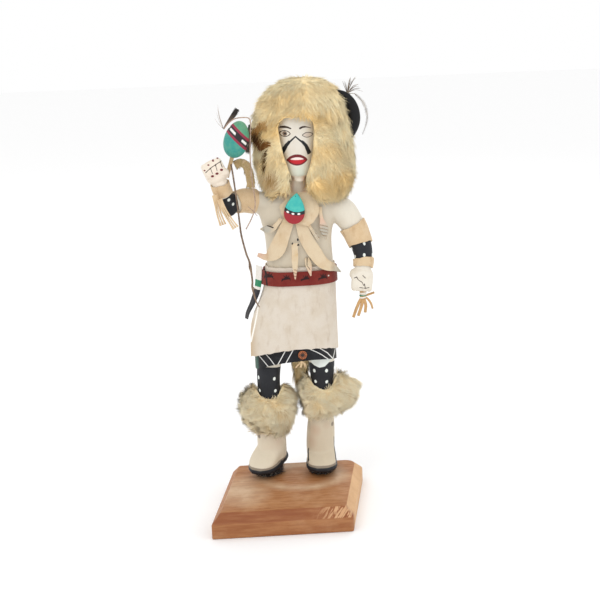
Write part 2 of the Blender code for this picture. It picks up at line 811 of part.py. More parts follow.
# The plume is tied on the horn near its tip. Its barbs end at x and z.
# The rows of the long feather are x, y, z and radius.
PLUME_TIE_SHARE = 0.86
PLUME_TIE_RADIUS = 0.34
PLUME_TIPS = ((15.8, 102.1), (17.2, 102.9), (18.1, 102.5), (18.9, 102.8), (19.6, 100.9), (20.4, 99.8))
PLUME_BARB_RADIUS = 0.16
PLUME_BARB_TAPER = (1.0, 1.0, 0.5)
PLUME_DEPTH = 1.3
PLUME_ARCH = 0.5
LONG_FEATHER_ROWS = (
    (18.5, 1.1, 99.0, 0.20),
    (19.8, 1.1, 97.8, 0.26),
    (20.8, 1.1, 96.4, 0.38),
    (21.4, 1.1, 94.6, 0.28),
    (21.6, 1.1, 92.8, 0.20),
    (21.2, 1.1, 90.9, 0.16),
    (20.3, 1.1, 88.5, 0.12),
)


def make_plume(collection):
    radius = PLUME_TIE_RADIUS * UNIT
    frames = limb_frames(HORN_ROWS, HORN_LEVELS)
    seat, _, _, horn_radius = frames[round(PLUME_TIE_SHARE * (HORN_LEVELS - 1))]
    inner = sum((frame[0] for frame in frames), Vector()) / len(frames)
    tie = seat + (seat - inner).normalized() * (horn_radius + FIT_GAP + radius)
    barbs = []
    for number, (x, z) in enumerate(PLUME_TIPS):
        tip = figure_point(x, PLUME_DEPTH, z)
        bend = tie.lerp(tip, 0.55) + Vector((0.0, 0.0, PLUME_ARCH * UNIT))
        radii = [PLUME_BARB_RADIUS * UNIT * share for share in PLUME_BARB_TAPER]
        barbs.append(as_mesh(rod(f"barb_{number}", [tie, bend, tip], radii, "feather", collection, 0)))
    points, radii = smooth_points(LONG_FEATHER_ROWS, 11)
    line = [tie] + [figure_point(*point) for point in points]
    radii = [radii[0]] + radii
    barbs.append(as_mesh(rod("long", line, [share * UNIT for share in radii], "feather", collection, 0)))
    ball = bmesh.new()
    place = Matrix.Translation(tie)
    bmesh.ops.create_uvsphere(ball, u_segments=8, v_segments=5, radius=radius, matrix=place)
    mesh = bpy.data.meshes.new("tie")
    ball.to_mesh(mesh)
    ball.free()
    plume = combine(add_object("horn_plume", mesh, "feather", collection), barbs, "UNION")
    shade(plume)


def make_anklets(collection):
    legs = {
        "anklet_still": (STILL_ANKLET_ROWS, STILL_LEG_ROWS),
        "anklet_stepping": (STEPPING_ANKLET_ROWS, STEPPING_LEG_ROWS),
    }
    for name, (rows, leg_rows) in legs.items():
        low, high = rows[0][0], rows[-1][0]
        rings = []
        for z in spread(low, high, 5):
            centre, half_width, half_depth = spline_row(rows, z)
            share = (z - low) / (high - low)
            rings.append(
                fur_ring(
                    (centre, half_width, -half_depth, half_depth),
                    z,
                    ANKLET_SIDES,
                    ANKLET_LOCKS,
                    ANKLET_LOCK_DEPTH,
                    ANKLET_SIDE_LIFT * share,
                )
            )
        fur = loft(name, rings, "tan_fur", collection)
        leg = limb_solid("leg_seat", leg_rows, LIMB_LEVELS, FIT_GAP, "tan_fur", collection)
        shade(combine(fur, [leg], "DIFFERENCE"), 60.0)


# The hips as the kilt hangs on them: height, centre line, half width, half depth
HIP_ROWS = (
    (27.0, 1.1, 10.9, 6.9),
    (31.0, 1.1, 10.9, 6.8),
    (37.0, 1.1, 10.8, 6.6),
    (42.4, 1.35, 10.6, 6.2),
    (46.0, 2.1, 9.8, 5.8),
    (50.0, 2.8, 9.15, 5.3),
    (54.0, 3.0, 8.85, 5.1),
    (57.0, 3.1, 8.75, 4.95),
)
HIP_POWER = 2.4
BELT_TOP = 54.9
HEM_RISE_PER_WIDTH = 0.046
HEM_FRONT_RISE_PER_WIDTH = 0.287
BORDER_NARROWING = 0.09
KILT_EDGE_ANGLE = math.radians(204.0)
SASH_START_ANGLE = math.radians(162.0)
SASH_END_ANGLE = math.radians(196.0)
HIP_COLUMNS = 30
KILT_LEVELS = (1.0, 0.68, 0.34, 0.0)
BELT_EASE = math.radians(15.0)


def hip_point(angle, z, grow):
    """A point on the hips at an angle round them, seen from above, grown outwards. z is in metres."""
    centre, half_width, half_depth = spline_row(HIP_ROWS, (z - SOLE_Z) / UNIT)
    x, y = rounded(angle, HIP_POWER)
    middle = figure_point(centre, 0.0, 0.0)
    return Vector((middle.x + (half_width * UNIT + grow) * x, middle.y + (half_depth * UNIT + grow) * y, z))


def hem_rise(angle):
    """How much higher the hem is at an angle round the hips than at its lowest: it is raised in front."""
    frontward = ((1 - math.sin(angle)) / 2) ** 2
    rise = HEM_RISE_PER_WIDTH * (1 + math.cos(angle)) + HEM_FRONT_RISE_PER_WIDTH * frontward
    return rise * HIP_ROWS[1][2] * UNIT


def lap_grow(angle, below_belt):
    """How far the lapped edge of the kilt stands off the layer under it."""
    lap = max(0.0, 1 - (angle - KILT_EDGE_ANGLE) / (KILT_LAP * 1.8))
    layer = (HIDE_THICKNESS + 2 * FIT_GAP) * min(1.0, lap * 2.2)
    return layer + FLAP_LIFT * min(1.0, below_belt * 1.6) * lap**2


def belt_top_z():
    return SOLE_Z + BELT_TOP * UNIT


def kilt_top_z():
    return belt_top_z() + KILT_ABOVE_BELT


def make_kilt(collection):
    top = kilt_top_z()
    belt_low = belt_top_z() - BELT_WIDTH
    grid = []
    columns = round(HIP_COLUMNS * (1 + KILT_LAP / (2 * math.pi)))
    angles = spread(KILT_EDGE_ANGLE, KILT_EDGE_ANGLE + 2 * math.pi + KILT_LAP, columns + 1)
    for below in KILT_LEVELS:
        row = []
        for angle in angles:
            low = top - KILT_LENGTH + hem_rise(angle)
            row.append(hip_point(angle, belt_low + (low - belt_low) * below, lap_grow(angle, below)))
        grid.append(row)
    grid.append([hip_point(angle, top, lap_grow(angle, 0.0)) for angle in angles])
    shade(sheet("kilt", grid, HIDE_THICKNESS, "white_hide", collection), 60.0)

    grid = []
    for level in (0.0, 1.0):
        row = []
        for i in range(HIP_COLUMNS):
            angle = 2 * math.pi * i / HIP_COLUMNS
            high = top - KILT_LENGTH + hem_rise(angle) + BORDER_TUCK
            width = BORDER_WIDTH * (1 - BORDER_NARROWING * math.cos(angle))
            z = high - width * (1 - level)
            row.append(hip_point(angle, z, -HIDE_THICKNESS - FIT_GAP))
        grid.append(row)
    shade(sheet("kilt_border", grid, HIDE_THICKNESS, "black_hide", collection, closed=True), 60.0)


def belt_grow(angle):
    """The belt stands off both layers of the kilt where its edge laps, and off one layer elsewhere."""
    turned = max(angle % (2 * math.pi), KILT_EDGE_ANGLE)
    lapped = angle % (2 * math.pi) > KILT_EDGE_ANGLE - BELT_EASE
    return HIDE_THICKNESS + 2 * FIT_GAP + (lap_grow(turned, 0.0) if lapped else 0.0)


def make_belt(collection):
    top = belt_top_z()
    rows = []
    for level in (0.0, 1.0):
        z = top - BELT_WIDTH * (1 - level)
        angles = [2 * math.pi * i / HIP_COLUMNS for i in range(HIP_COLUMNS)]
        rows.append([hip_point(angle, z, belt_grow(angle)) for angle in angles])
    shade(sheet("belt", rows, BELT_THICKNESS, "red_hide", collection, closed=True), 60.0)


def make_sash(collection):
    top = kilt_top_z()
    grid = []
    for level in spread(0.0, 1.0, 6):
        z = top - SASH_LENGTH * (1 - level)
        width = SASH_END_SHARE + (1.0 - SASH_END_SHARE) * min(1.0, level / SASH_TAPER_LEVEL)
        end_angle = SASH_START_ANGLE + (SASH_END_ANGLE - SASH_START_ANGLE) * width
        row = []
        for angle in spread(SASH_START_ANGLE, end_angle, 4):
            row.append(hip_point(angle, z, 2 * HIDE_THICKNESS + BELT_THICKNESS + 5 * FIT_GAP))
        grid.append(row)
    shade(sheet("side_sash", grid, STRIP_THICKNESS, "white_hide", collection), 60.0)


def kilt_front(x, z):
    """The outer face of the kilt's border seen from the front: its y at a place, all in metres."""
    centre, half_width, half_depth = spline_row(HIP_ROWS, (z - SOLE_Z) / UNIT)
    across = min(abs(x - figure_point(centre, 0, 0).x) / (half_width * UNIT), 0.97)
    return STAND_Y - half_depth * UNIT * (1 - across**HIP_POWER) ** (1 / HIP_POWER)


ROSETTE_X = 2.55
ROSETTE_PETALS = 12
ROSETTE_PETAL_SHARE = 0.12
TASSEL_ENDS = (-1.4, -0.1, 1.2)


def make_rosette(collection):
    x = figure_point(ROSETTE_X, 0, 0).x
    top = kilt_top_z() - KILT_LENGTH + hem_rise(-math.pi / 2)
    z = top - ROSETTE_RADIUS - HIDE_THICKNESS
    y = kilt_front(x, z) - FIT_GAP - ROSETTE_THICKNESS / 2
    curve = bpy.data.curves.new("kilt_rosette", "CURVE")
    curve.dimensions = "2D"
    curve.fill_mode = "BOTH"
    curve.extrude = ROSETTE_THICKNESS / 2
    line = curve.splines.new("POLY")
    count = ROSETTE_PETALS * 4
    line.points.add(count - 1)
    for i, knot in enumerate(line.points):
        angle = 2 * math.pi * i / count
        radius = ROSETTE_RADIUS * (1 - ROSETTE_PETAL_SHARE * math.cos(ROSETTE_PETALS * angle) ** 2)
        knot.co = (radius * math.cos(angle), radius * math.sin(angle), 0.0, 1.0)
    line.use_cyclic_u = True
    disc = bpy.data.objects.new("kilt_rosette", curve)
    curve.materials.append(finish_material("copper"))
    collection.objects.link(disc)
    disc.location = (x, y, z)
    disc.rotation_euler = (math.pi / 2, 0.0, 0.0)
    shade(as_mesh(disc))

    start = z - ROSETTE_RADIUS - FIT_GAP - TASSEL_RADIUS
    knot_y = y
    ends = []
    for number, side in enumerate(TASSEL_ENDS):
        line = [
            Vector((x - 0.3 * UNIT, knot_y, start)),
            Vector((x + (side - 0.5) * UNIT * 0.6, knot_y - 0.0004, start - TASSEL_LENGTH * 0.45)),
            Vector((x + (side - 0.6) * UNIT, knot_y, start - TASSEL_LENGTH + 0.0006 * number)),
        ]
        radii = [TASSEL_RADIUS * 0.8, TASSEL_RADIUS, TASSEL_RADIUS * 0.7]
        ends.append(as_mesh(rod(f"end_{number}", line, radii, "tan_hide", collection, 0)))
    tassel = combine(ends[0], ends[1:], "UNION")
    tassel.name = "rosette_tassel"
    shade(tassel)


def make_pelt(collection):
    """The pelt that hangs behind from the belt, between the legs and below the kilt."""
    belt_back = hip_point(math.pi / 2, belt_top_z(), 0.0).y
    hem_back = hip_point(math.pi / 2, kilt_top_z() - KILT_LENGTH, 0.0).y
    clear = 2 * HIDE_THICKNESS + BELT_THICKNESS + 3 * FIT_GAP + PELT_THICKNESS / 2
    rings = []
    top = belt_top_z() - FIT_GAP
    for level in spread(0.0, 1.0, 8):
        z = top - PELT_LENGTH * (1 - level)
        share = min(1.0, PELT_LENGTH * (1 - level) / KILT_LENGTH)
        y = belt_back + (hem_back - belt_back) * share + clear
        taper = min(1.0, PELT_TAIL_SHARE + PELT_TAIL_SPREAD * level)
        x = figure_point(3.0 - 0.4 * (1 - level), 0, 0).x
        fullness = math.sin(math.pi * min(1.0, 1.35 * (1 - level)))
        swell = PELT_THIN_SHARE + (1.0 - PELT_THIN_SHARE) * fullness
        rings.append(flat_ring(x, y, z, PELT_WIDTH / 2 * taper, PELT_THICKNESS / 2 * swell, 2.4, 12))
    shade(loft("pelt", rings, "tan_fur", collection), 60.0)


# Bands of hide round the arms: the limb, and the shares of its length they run between
BANDS = {
    "armband_raised": (RAISED_UPPER_ARM_ROWS, 0.42, 0.74),
    "armband_lowered": (LOWERED_ARM_ROWS, 0.36, 0.60),
    "wristband_raised": (RAISED_FOREARM_ROWS, 0.70, 0.95),
    "wristband_lowered": (LOWERED_ARM_ROWS, 0.82, 0.97),
}


def ring_between(rings, at):
    """The ring at a place between rings, where 1.5 is halfway from the second to the third."""
    index = min(int(at), len(rings) - 2)
    return [low.lerp(high, at - index) for low, high in zip(rings[index], rings[index + 1])]


def make_bands(collection):
    for name, (rows, start, end) in BANDS.items():
        limb = limb_rings(rows, LIMB_LEVELS, BAND_GAP)
        last = len(limb) - 1
        between = [start * last, *range(math.ceil(start * last), math.floor(end * last) + 1), end * last]
        rings = [ring_between(limb, at) for at in between]
        made = sheet(name, rings, BAND_THICKNESS, "tan_hide", collection, closed=True)
        face = made.data.polygons[0]
        centre = sum(rings[0], Vector()) / len(rings[0])
        if face.normal.dot(face.center - centre) < 0:
            made.data.flip_normals()
        shade(made, 60.0)


# Strips of the bib: the layer each lies in, then rows of x, height, half width and lift off the chest, in
# hundredths of the figure's height.
BIB_STRIPS = {
    "bib_strip_left": (
        1,
        (0.3, 68.4, 1.4, 0.0),
        (-1.4, 64.2, 1.8, 0.0),
        (-3.1, 60.4, 1.9, 0.3),
        (-5.4, 58.6, 1.0, 0.8),
        (-7.9, 59.4, 0.5, 1.2),
    ),
    "bib_strip_right": (
        1,
        (3.2, 68.4, 1.3, 0.0),
        (4.4, 64.0, 1.7, 0.0),
        (6.4, 60.1, 1.8, 0.2),
        (8.6, 57.0, 1.5, 1.0),
        (11.2, 55.4, 1.0, 1.6),
        (13.4, 53.9, 0.15, 1.6),
    ),
    "bib_strip_centre": (2, (1.6, 62.4, 0.8, 0.2), (1.45, 57.6, 0.8, 1.0), (1.35, 53.3, 0.15, 1.2)),
    "bib_strip_narrow": (2, (4.1, 69.0, 0.35, 0.0), (5.8, 66.3, 0.4, 0.0), (7.7, 63.1, 0.5, 0.3)),
    "bib_tip": (0, (4.6, 58.2, 0.6, 0.1), (5.0, 56.4, 0.8, 0.9), (5.4, 53.9, 0.15, 1.7)),
    "bib_feather_right": (
        2,
        (8.3, 71.4, 0.5, 0.0),
        (8.7, 68.4, 0.5, 0.0),
        (9.2, 65.8, 1.1, 0.1),
        (9.8, 62.7, 0.15, 0.4),
    ),
    "bib_feather_left": (
        2,
        (-1.6, 68.9, 0.4, 0.0),
        (-3.6, 66.6, 0.7, 0.3),
        (-5.2, 66.1, 1.1, 0.8),
        (-7.0, 66.2, 0.15, 1.3),
    ),
}
YOKE_ROWS = ((3.2, 75.2, 2.0, 0.0), (3.2, 72.0, 4.9, 0.0), (2.7, 69.4, 4.4, 0.0), (2.2, 67.6, 2.9, 0.0))
BIB_LAYERS = 4
STRIP_COUNT = 7
STRIP_COLUMNS = 3


def layer_clearance(layer):
    return FIT_GAP + layer * (STRIP_THICKNESS + FIT_GAP)


def chest_strip(name, rows, clearance, slot, collection):
    """A strip of hide over the chest. It runs along its rows and lies square across them."""
    placed = [(float(i), *row) for i, row in enumerate(rows)]
    line = [spline_row(placed, at) for at in spread(0.0, len(rows) - 1.0, STRIP_COUNT)]
    grid = []
    for i, (x, z, half_width, lift) in enumerate(line):
        before, after = line[max(i - 1, 0)], line[min(i + 1, len(line) - 1)]
        along = Vector((after[0] - before[0], after[1] - before[1])).normalized()
        row = []
        for share in spread(-1.0, 1.0, STRIP_COLUMNS):
            point = figure_point(x - along.y * half_width * share, 0, z + along.x * half_width * share)
            point.y = torso_face(point.x, point.z) - clearance - lift * UNIT
            row.append(point)
        grid.append(row)
    made = sheet(name, grid, STRIP_THICKNESS, slot, collection)
    if made.data.polygons[0].normal.y > 0:
        made.data.flip_normals()
    shade(made, 60.0)


def make_bib(collection):
    chest_strip("bib_yoke", YOKE_ROWS, layer_clearance(BIB_LAYERS - 1), "white_hide", collection)
    for name, (layer, *rows) in BIB_STRIPS.items():
        chest_strip(name, rows, layer_clearance(layer), "white_hide", collection)


PENDANT_MIDDLE = (1.9, 71.7)
PENDANT_POINTS = 22


def make_pendant(collection):
    """A teardrop plate that hangs flat in front of the bib."""
    curve = bpy.data.curves.new("pendant", "CURVE")
    curve.dimensions = "2D"
    curve.fill_mode = "BOTH"
    curve.extrude = PENDANT_THICKNESS / 2
    line = curve.splines.new("POLY")
    line.points.add(PENDANT_POINTS - 1)
    for i, knot in enumerate(line.points):
        angle = 2 * math.pi * i / PENDANT_POINTS
        x = PENDANT_WIDTH / 2 * 1.06 * math.sin(angle) * abs(math.sin(angle / 2)) ** 0.75
        knot.co = (x, PENDANT_LENGTH / 2 * math.cos(angle), 0.0, 1.0)
    line.use_cyclic_u = True
    plate = bpy.data.objects.new("pendant", curve)
    curve.materials.append(finish_material("turquoise_paint"))
    collection.objects.link(plate)
    x, z = PENDANT_MIDDLE
    place = figure_point(x, 0, z)
    chest = min(torso_face(place.x, place.z + share * PENDANT_LENGTH / 2) for share in (-1.0, -0.5, 0.0))
    place.y = chest - layer_clearance(BIB_LAYERS) - FIT_GAP - PENDANT_THICKNESS / 2
    plate.location = place
    plate.rotation_euler = (math.pi / 2, PENDANT_TILT, 0.0)
    shade(as_mesh(plate))


# The rattle and what hangs from it
RATTLE_LOW = (-13.35, -7.0, 85.4)
RATTLE_HIGH = (-10.7, -7.0, 94.3)
RATTLE_TOP_TAPER = 0.10


def rattle_axis():
    low, high = figure_point(*RATTLE_LOW), figure_point(*RATTLE_HIGH)
    return low, low + (high - low).normalized() * RATTLE_LENGTH


def make_rattle(collection):
    """A turned egg on its handle: the egg is a profile swept by a Screw modifier."""
    low, high = rattle_axis()
    steps = 10
    shape = bmesh.new()
    outline = []
    for i in range(steps + 1):
        angle = math.pi * i / steps
        height = RATTLE_LENGTH / 2 * (1 + math.cos(angle))
        radius = RATTLE_RADIUS * math.sin(angle) * (1 - RATTLE_TOP_TAPER * math.cos(angle))
        outline.append(shape.verts.new((max(radius, 0.0), 0.0, height)))
    for first, second in zip(outline, outline[1:]):
        shape.edges.new((first, second))
    mesh = bpy.data.meshes.new("rattle")
    shape.to_mesh(mesh)
    shape.free()
    egg = add_object("rattle", mesh, "turquoise_paint", collection)
    turn = egg.modifiers.new("turn", "SCREW")
    turn.steps = turn.render_steps = 14
    turn.use_merge_vertices = True
    turn.merge_threshold = 1e-5
    up = (high - low).normalized()
    tilt = Vector((0, 0, 1)).rotation_difference(up).to_matrix().to_4x4()
    egg.matrix_world = Matrix.Translation(low) @ tilt
    egg = as_mesh(egg)
    radius = RATTLE_HANDLE_RADIUS
    handle = as_mesh(rod("handle", handle_line(), [radius, radius], "tan_hide", collection))
    egg = combine(egg, [handle], "UNION")
    shade(egg)


FEATHER_ROWS = (
    (-15.1, -5.6, 92.4, 0.25),
    (-14.0, -5.6, 94.0, 0.45),
    (-12.6, -5.6, 95.6, 0.85),
    (-11.9, -5.6, 96.6, 0.75),
    (-11.5, -5.6, 97.2, 0.15),
)
FEATHER_THICKNESS_SHARE = 0.35
TWIG_ROWS = (
    (-13.7, -8.6, 84.0, 1.0),
    (-13.3, -9.0, 81.0, 0.95),
    (-12.9, -9.2, 77.0, 0.90),
    (-12.5, -9.3, 72.7, 0.90),
    (-12.2, -9.0, 68.8, 1.0),
    (-11.9, -8.4, 65.6, 1.05),
    (-10.9, -7.4, 60.8, 1.1),
    (-10.2, -6.9, 58.6, 1.15),
    (-10.0, -6.6, 56.9, 1.8),
    (-9.8, -6.5, 55.6, 1.2),
    (-9.6, -6.4, 53.2, 1.1),
    (-9.7, -6.4, 51.6, 1.25),
    (-9.3, -6.5, 49.6, 1.0),
    (-8.8, -6.6, 47.6, 0.8),
    (-8.1, -6.7, 46.3, 0.6),
)
# The straw loops over the rattle, then falls beside the arm. Each turn of the loop is a share of the rattle's
# length along it, and shares of the straw's reach from its axis: sideways and forwards.
STRAW_LOOP = (
    (0.717, -1.120, 0.481),
    (0.883, -0.914, 0.542),
    (1.047, -0.518, 0.572),
    (1.128, 0.041, 0.542),
    (1.140, 0.471, 0.421),
    (1.020, 0.697, 0.241),
    (0.781, 0.866, 0.061),
    (0.200, 1.260, -0.061),
)
STRAW_FALL = (
    (-8.6, -6.8, 79.5),
    (-8.1, -8.2, 75.0),
    (-8.3, -8.6, 72.3),
    (-9.3, -8.6, 69.8),
    (-10.7, -9.0, 67.4),
)
STRAP_ROWS = (
    (-12.6, -5.6, 83.3),
    (-11.4, -5.6, 83.9),
    (-10.0, -5.6, 83.2),
    (-9.3, -5.4, 81.2),
    (-9.0, -5.2, 79.2),
    (-9.0, -5.4, 77.6),
)
FRINGE_ROWS = {
    "wrist_fringe_left": (
        (-18.1, -9.6, 76.6),
        (-17.7, -9.8, 74.4),
        (-17.2, -9.8, 71.6),
        (-16.4, -9.6, 69.0),
    ),
    "wrist_fringe_right": (
        (-17.0, -10.2, 75.6),
        (-16.0, -10.4, 73.0),
        (-14.6, -10.4, 70.4),
        (-13.3, -10.2, 68.2),
    ),
}
FRINGE_TAPER = 0.7
FRINGE_WIDTH = 0.0046


def ribbon(name, rows, width, thickness, slot, collection, taper=1.0):
    """A narrow strip of hide along points, lying square to the line and facing forwards."""
    placed = [(float(i), *row) for i, row in enumerate(rows)]
    line = [figure_point(*spline_row(placed, at)) for at in spread(0.0, len(rows) - 1.0, 8)]
    grid = []
    for i, point in enumerate(line):
        along = (line[min(i + 1, len(line) - 1)] - line[max(i - 1, 0)]).normalized()
        side = along.cross(Vector((0.0, -1.0, 0.0))).normalized()
        share = 1.0 - (1.0 - taper) * i / (len(line) - 1)
        grid.append([point + side * (width / 2 * share * across) for across in (-1.0, 0.0, 1.0)])
    made = sheet(name, grid, thickness, slot, collection)
    if made.data.polygons[0].normal.y > 0:
        made.data.flip_normals()
    shade(made, 60.0)


def straw_rows():
    """The straw's turns and radius in metres. Its loop keeps clear of the rattle at any size of rattle."""
    low, high = rattle_axis()
    up = (high - low).normalized()
    side = Vector((0.0, 1.0, 0.0)).cross(up).normalized()
    forward = Vector((0.0, -1.0, 0.0))
    reach = RATTLE_RADIUS + STRAW_RADIUS + FIT_GAP
    turns = []
    for along, across, out in STRAW_LOOP:
        turns.append(low + up * (RATTLE_LENGTH * along) + side * (reach * across) + forward * (reach * out))
    turns += [figure_point(*turn) for turn in STRAW_FALL]
    return [(*turn, STRAW_RADIUS) for turn in turns]


def make_held_things(collection):
    points, radii = smooth_points(FEATHER_ROWS, 7)
    rings = []
    for point, half_width in zip(points, radii):
        ring = []
        for i in range(8):
            angle = 2 * math.pi * i / 8
            across = half_width * math.cos(angle)
            out = half_width * FEATHER_THICKNESS_SHARE * math.sin(angle)
            ring.append(figure_point(point.x + across * 0.77, point.y + out, point.z - across * 0.64))
        rings.append(ring)
    shade(loft("rattle_feather", rings, "feather", collection), 60.0)
    points, shares = smooth_points(TWIG_ROWS, 20)
    line = [figure_point(*point) for point in points]
    shade(as_mesh(rod("twig", line, [TWIG_RADIUS * share for share in shares], "twig_brown", collection, 0)))
    line, radii = smooth_points(straw_rows(), 22)
    shade(as_mesh(rod("straw", line, radii, "twig_brown", collection, 0)))
    ribbon("hide_strap", STRAP_ROWS, STRAP_WIDTH, SUEDE_THICKNESS, "tan_hide", collection)
    for name, rows in FRINGE_ROWS.items():
        ribbon(name, rows, FRINGE_WIDTH, SUEDE_THICKNESS, "tan_hide", collection, FRINGE_TAPER)


# The bunch of hide ends that hangs from the lowered fist: x, y and height of each end's turns
THONG_KNOT = (18.8, -5.6, 47.6)
THONG_KNOT_RADIUS = 0.85
THONG_TAPER = (1.0, 1.1, 1.0, 0.8)
THONG_ENDS = (
    ((18.0, -5.9, 46.6), (17.0, -6.2, 44.6), (16.1, -6.2, 42.2)),
    ((18.6, -6.0, 46.2), (18.0, -6.4, 44.4), (17.4, -6.3, 42.6)),
    ((19.2, -5.9, 46.3), (19.4, -6.3, 45.2), (19.2, -6.3, 43.4)),
    ((19.9, -5.6, 46.9), (20.8, -5.8, 45.6), (21.2, -5.8, 44.2)),
    ((19.9, -5.4, 47.8), (20.9, -5.4, 48.1), (21.8, -5.4, 48.4)),
)


def make_thongs(collection):
    knot = figure_point(*THONG_KNOT)
    ball = bmesh.new()
    place = Matrix.Translation(knot)
    radius = THONG_KNOT_RADIUS * UNIT
    bmesh.ops.create_uvsphere(ball, u_segments=10, v_segments=6, radius=radius, matrix=place)
    mesh = bpy.data.meshes.new("hand_thongs")
    ball.to_mesh(mesh)
    ball.free()
    ends = []
    for number, turns in enumerate(THONG_ENDS):
        line = [knot] + [figure_point(*turn) for turn in turns]
        radii = [THONG_RADIUS * share for share in THONG_TAPER]
        ends.append(as_mesh(rod(f"thong_{number}", line, radii, "tan_hide", collection, 0)))
    shade(combine(add_object("hand_thongs", mesh, "tan_hide", collection), ends, "UNION"))


def make_sole_fur(collection):
    """The dark fur under each boot, between its sole and the plinth."""
    for name, foot in FEET.items():
        place = foot_frame(foot["heel"], foot["degrees"], foot["heel_lift"])
        length = FOOT_ROWS[-1][0]
        low, high = [], []
        for i in range(14):
            angle = 2 * math.pi * i / 14
            across, along = math.cos(angle), SOLE_FUR_MIDDLE - SOLE_FUR_REACH * math.sin(angle)
            half_width = spline_row(FOOT_ROWS, along * length)[0] * SOLE_FUR_WIDTH
            tuft = 1.0 + 0.10 * math.cos(5 * angle)
            top = place @ Vector((across * half_width * UNIT, -along * length * UNIT, 0.0))
            high.append(Vector((top.x, top.y, top.z - FIT_GAP)))
            base = place @ Vector((across * half_width * tuft * UNIT, -along * length * UNIT, 0.0))
            low.append(Vector((base.x, base.y, PLINTH_THICKNESS + FIT_GAP)))
        shade(loft("sole_fur_" + name, [low, high], "black_fur", collection), 60.0)


def main():
    clear_scene()
    doll = new_collection("kachina_doll")
    make_plinth(doll)
    make_figure(doll)
    make_hood(doll)
    make_horn(doll)
    make_plume(doll)
    make_anklets(doll)
    make_kilt(doll)
    make_belt(doll)
    make_sash(doll)
    make_rosette(doll)
    make_pelt(doll)
    make_bands(doll)
    make_bib(doll)
    make_pendant(doll)
    make_rattle(doll)
    make_held_things(doll)
    make_thongs(doll)
    make_sole_fur(doll)


main()
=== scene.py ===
# %% [markdown]
# # A kachina doll in its fur hood
# The real object is a carved and painted wooden dancer, dressed in hide, fur, feathers and a few found stems,
# standing on a planed wooden plinth. The construction model gives every piece its true size and place.
# This lesson takes that model as a fixed frame and gives each piece the surface it has in the hand:
# hair by hair fur, worn white paint with brushed marks, soft hide, sawn wood.

# %% Load the frame
import math

import bmesh
import bpy
import numpy as np
from mathutils import Matrix, Vector, kdtree


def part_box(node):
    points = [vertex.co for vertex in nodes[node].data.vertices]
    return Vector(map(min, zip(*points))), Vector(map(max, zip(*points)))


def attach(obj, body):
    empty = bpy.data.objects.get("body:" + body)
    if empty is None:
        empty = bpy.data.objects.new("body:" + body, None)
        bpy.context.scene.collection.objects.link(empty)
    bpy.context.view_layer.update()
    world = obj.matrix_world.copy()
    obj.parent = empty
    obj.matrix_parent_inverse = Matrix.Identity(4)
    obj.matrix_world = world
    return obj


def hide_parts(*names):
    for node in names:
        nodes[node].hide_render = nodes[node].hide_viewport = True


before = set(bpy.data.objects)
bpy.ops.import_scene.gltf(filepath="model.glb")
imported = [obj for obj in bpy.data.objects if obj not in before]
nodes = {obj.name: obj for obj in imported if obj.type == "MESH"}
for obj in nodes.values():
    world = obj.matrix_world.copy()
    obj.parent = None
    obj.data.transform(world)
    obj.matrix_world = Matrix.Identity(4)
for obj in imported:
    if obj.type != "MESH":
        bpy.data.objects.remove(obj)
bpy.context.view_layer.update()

print("frame:", len(nodes), "nodes")

# %% [markdown]
# ## The camera
# The camera stands a little to the left of the doll and looks down on it. Its place was found from the plinth,
# whose corners fix the distance and the three angles. A long lens keeps the doll from looking bent.

# %% Camera
CAMERA_PLACE = Vector((-0.059, -1.374, 0.603))
CAMERA_YAW = math.radians(3.16)
CAMERA_PITCH = math.radians(15.29)
CAMERA_ROLL = math.radians(-2.0)
LENS = 84.0


def place_camera():
    forward = Vector((
        math.sin(CAMERA_YAW) * math.cos(CAMERA_PITCH),
        math.cos(CAMERA_YAW) * math.cos(CAMERA_PITCH),
        -math.sin(CAMERA_PITCH),
    ))
    level = Vector((math.cos(CAMERA_YAW), -math.sin(CAMERA_YAW), 0.0))
    upright = level.cross(forward)
    right = math.cos(CAMERA_ROLL) * level + math.sin(CAMERA_ROLL) * upright
    up = math.cos(CAMERA_ROLL) * upright - math.sin(CAMERA_ROLL) * level
    lens = bpy.data.cameras.new("camera")
    lens.lens = LENS
    lens.sensor_width = 36.0
    made = bpy.data.objects.new("camera", lens)
    turn = Matrix((right, up, -forward)).transposed().to_4x4()
    made.matrix_world = Matrix.Translation(CAMERA_PLACE) @ turn
    bpy.context.scene.collection.objects.link(made)
    bpy.context.scene.camera = made
    return made


camera = place_camera()
print("camera at", tuple(round(value, 3) for value in camera.matrix_world.translation))

# %% [markdown]
# ## Light and floor
# The doll is shown against white with hardly a shadow, as on a copy stand. A bright surround gives most of the
# light, and two large soft lamps model the forms. The floor is a plain pale sheet that the doll stands on.

# %% Light and floor
LAMPS = {
    "key": ((-0.8, -1.2, 1.6), 1.0, 6.5),
    "fill": ((1.3, -0.9, 0.8), 1.0, 1.5),
    "rim": ((0.5, 1.2, 1.3), 0.8, 3.0),
}
LAMP_AIM = Vector((0.0, 0.0, 0.22))
SURROUND = (1.0, 1.0, 1.0)
SURROUND_STRENGTH = 1.0
FLOOR_SIZE = 8.0
FLOOR_WHITE = 0.97


def hang_lamp(name, place, size, power):
    lamp = bpy.data.lights.new(name, "AREA")
    lamp.shape = "DISK"
    lamp.size = size
    lamp.energy = power
    made = bpy.data.objects.new(name, lamp)
    made.location = place
    made.rotation_euler = (LAMP_AIM - Vector(place)).to_track_quat("-Z", "Y").to_euler()
    bpy.context.scene.collection.objects.link(made)


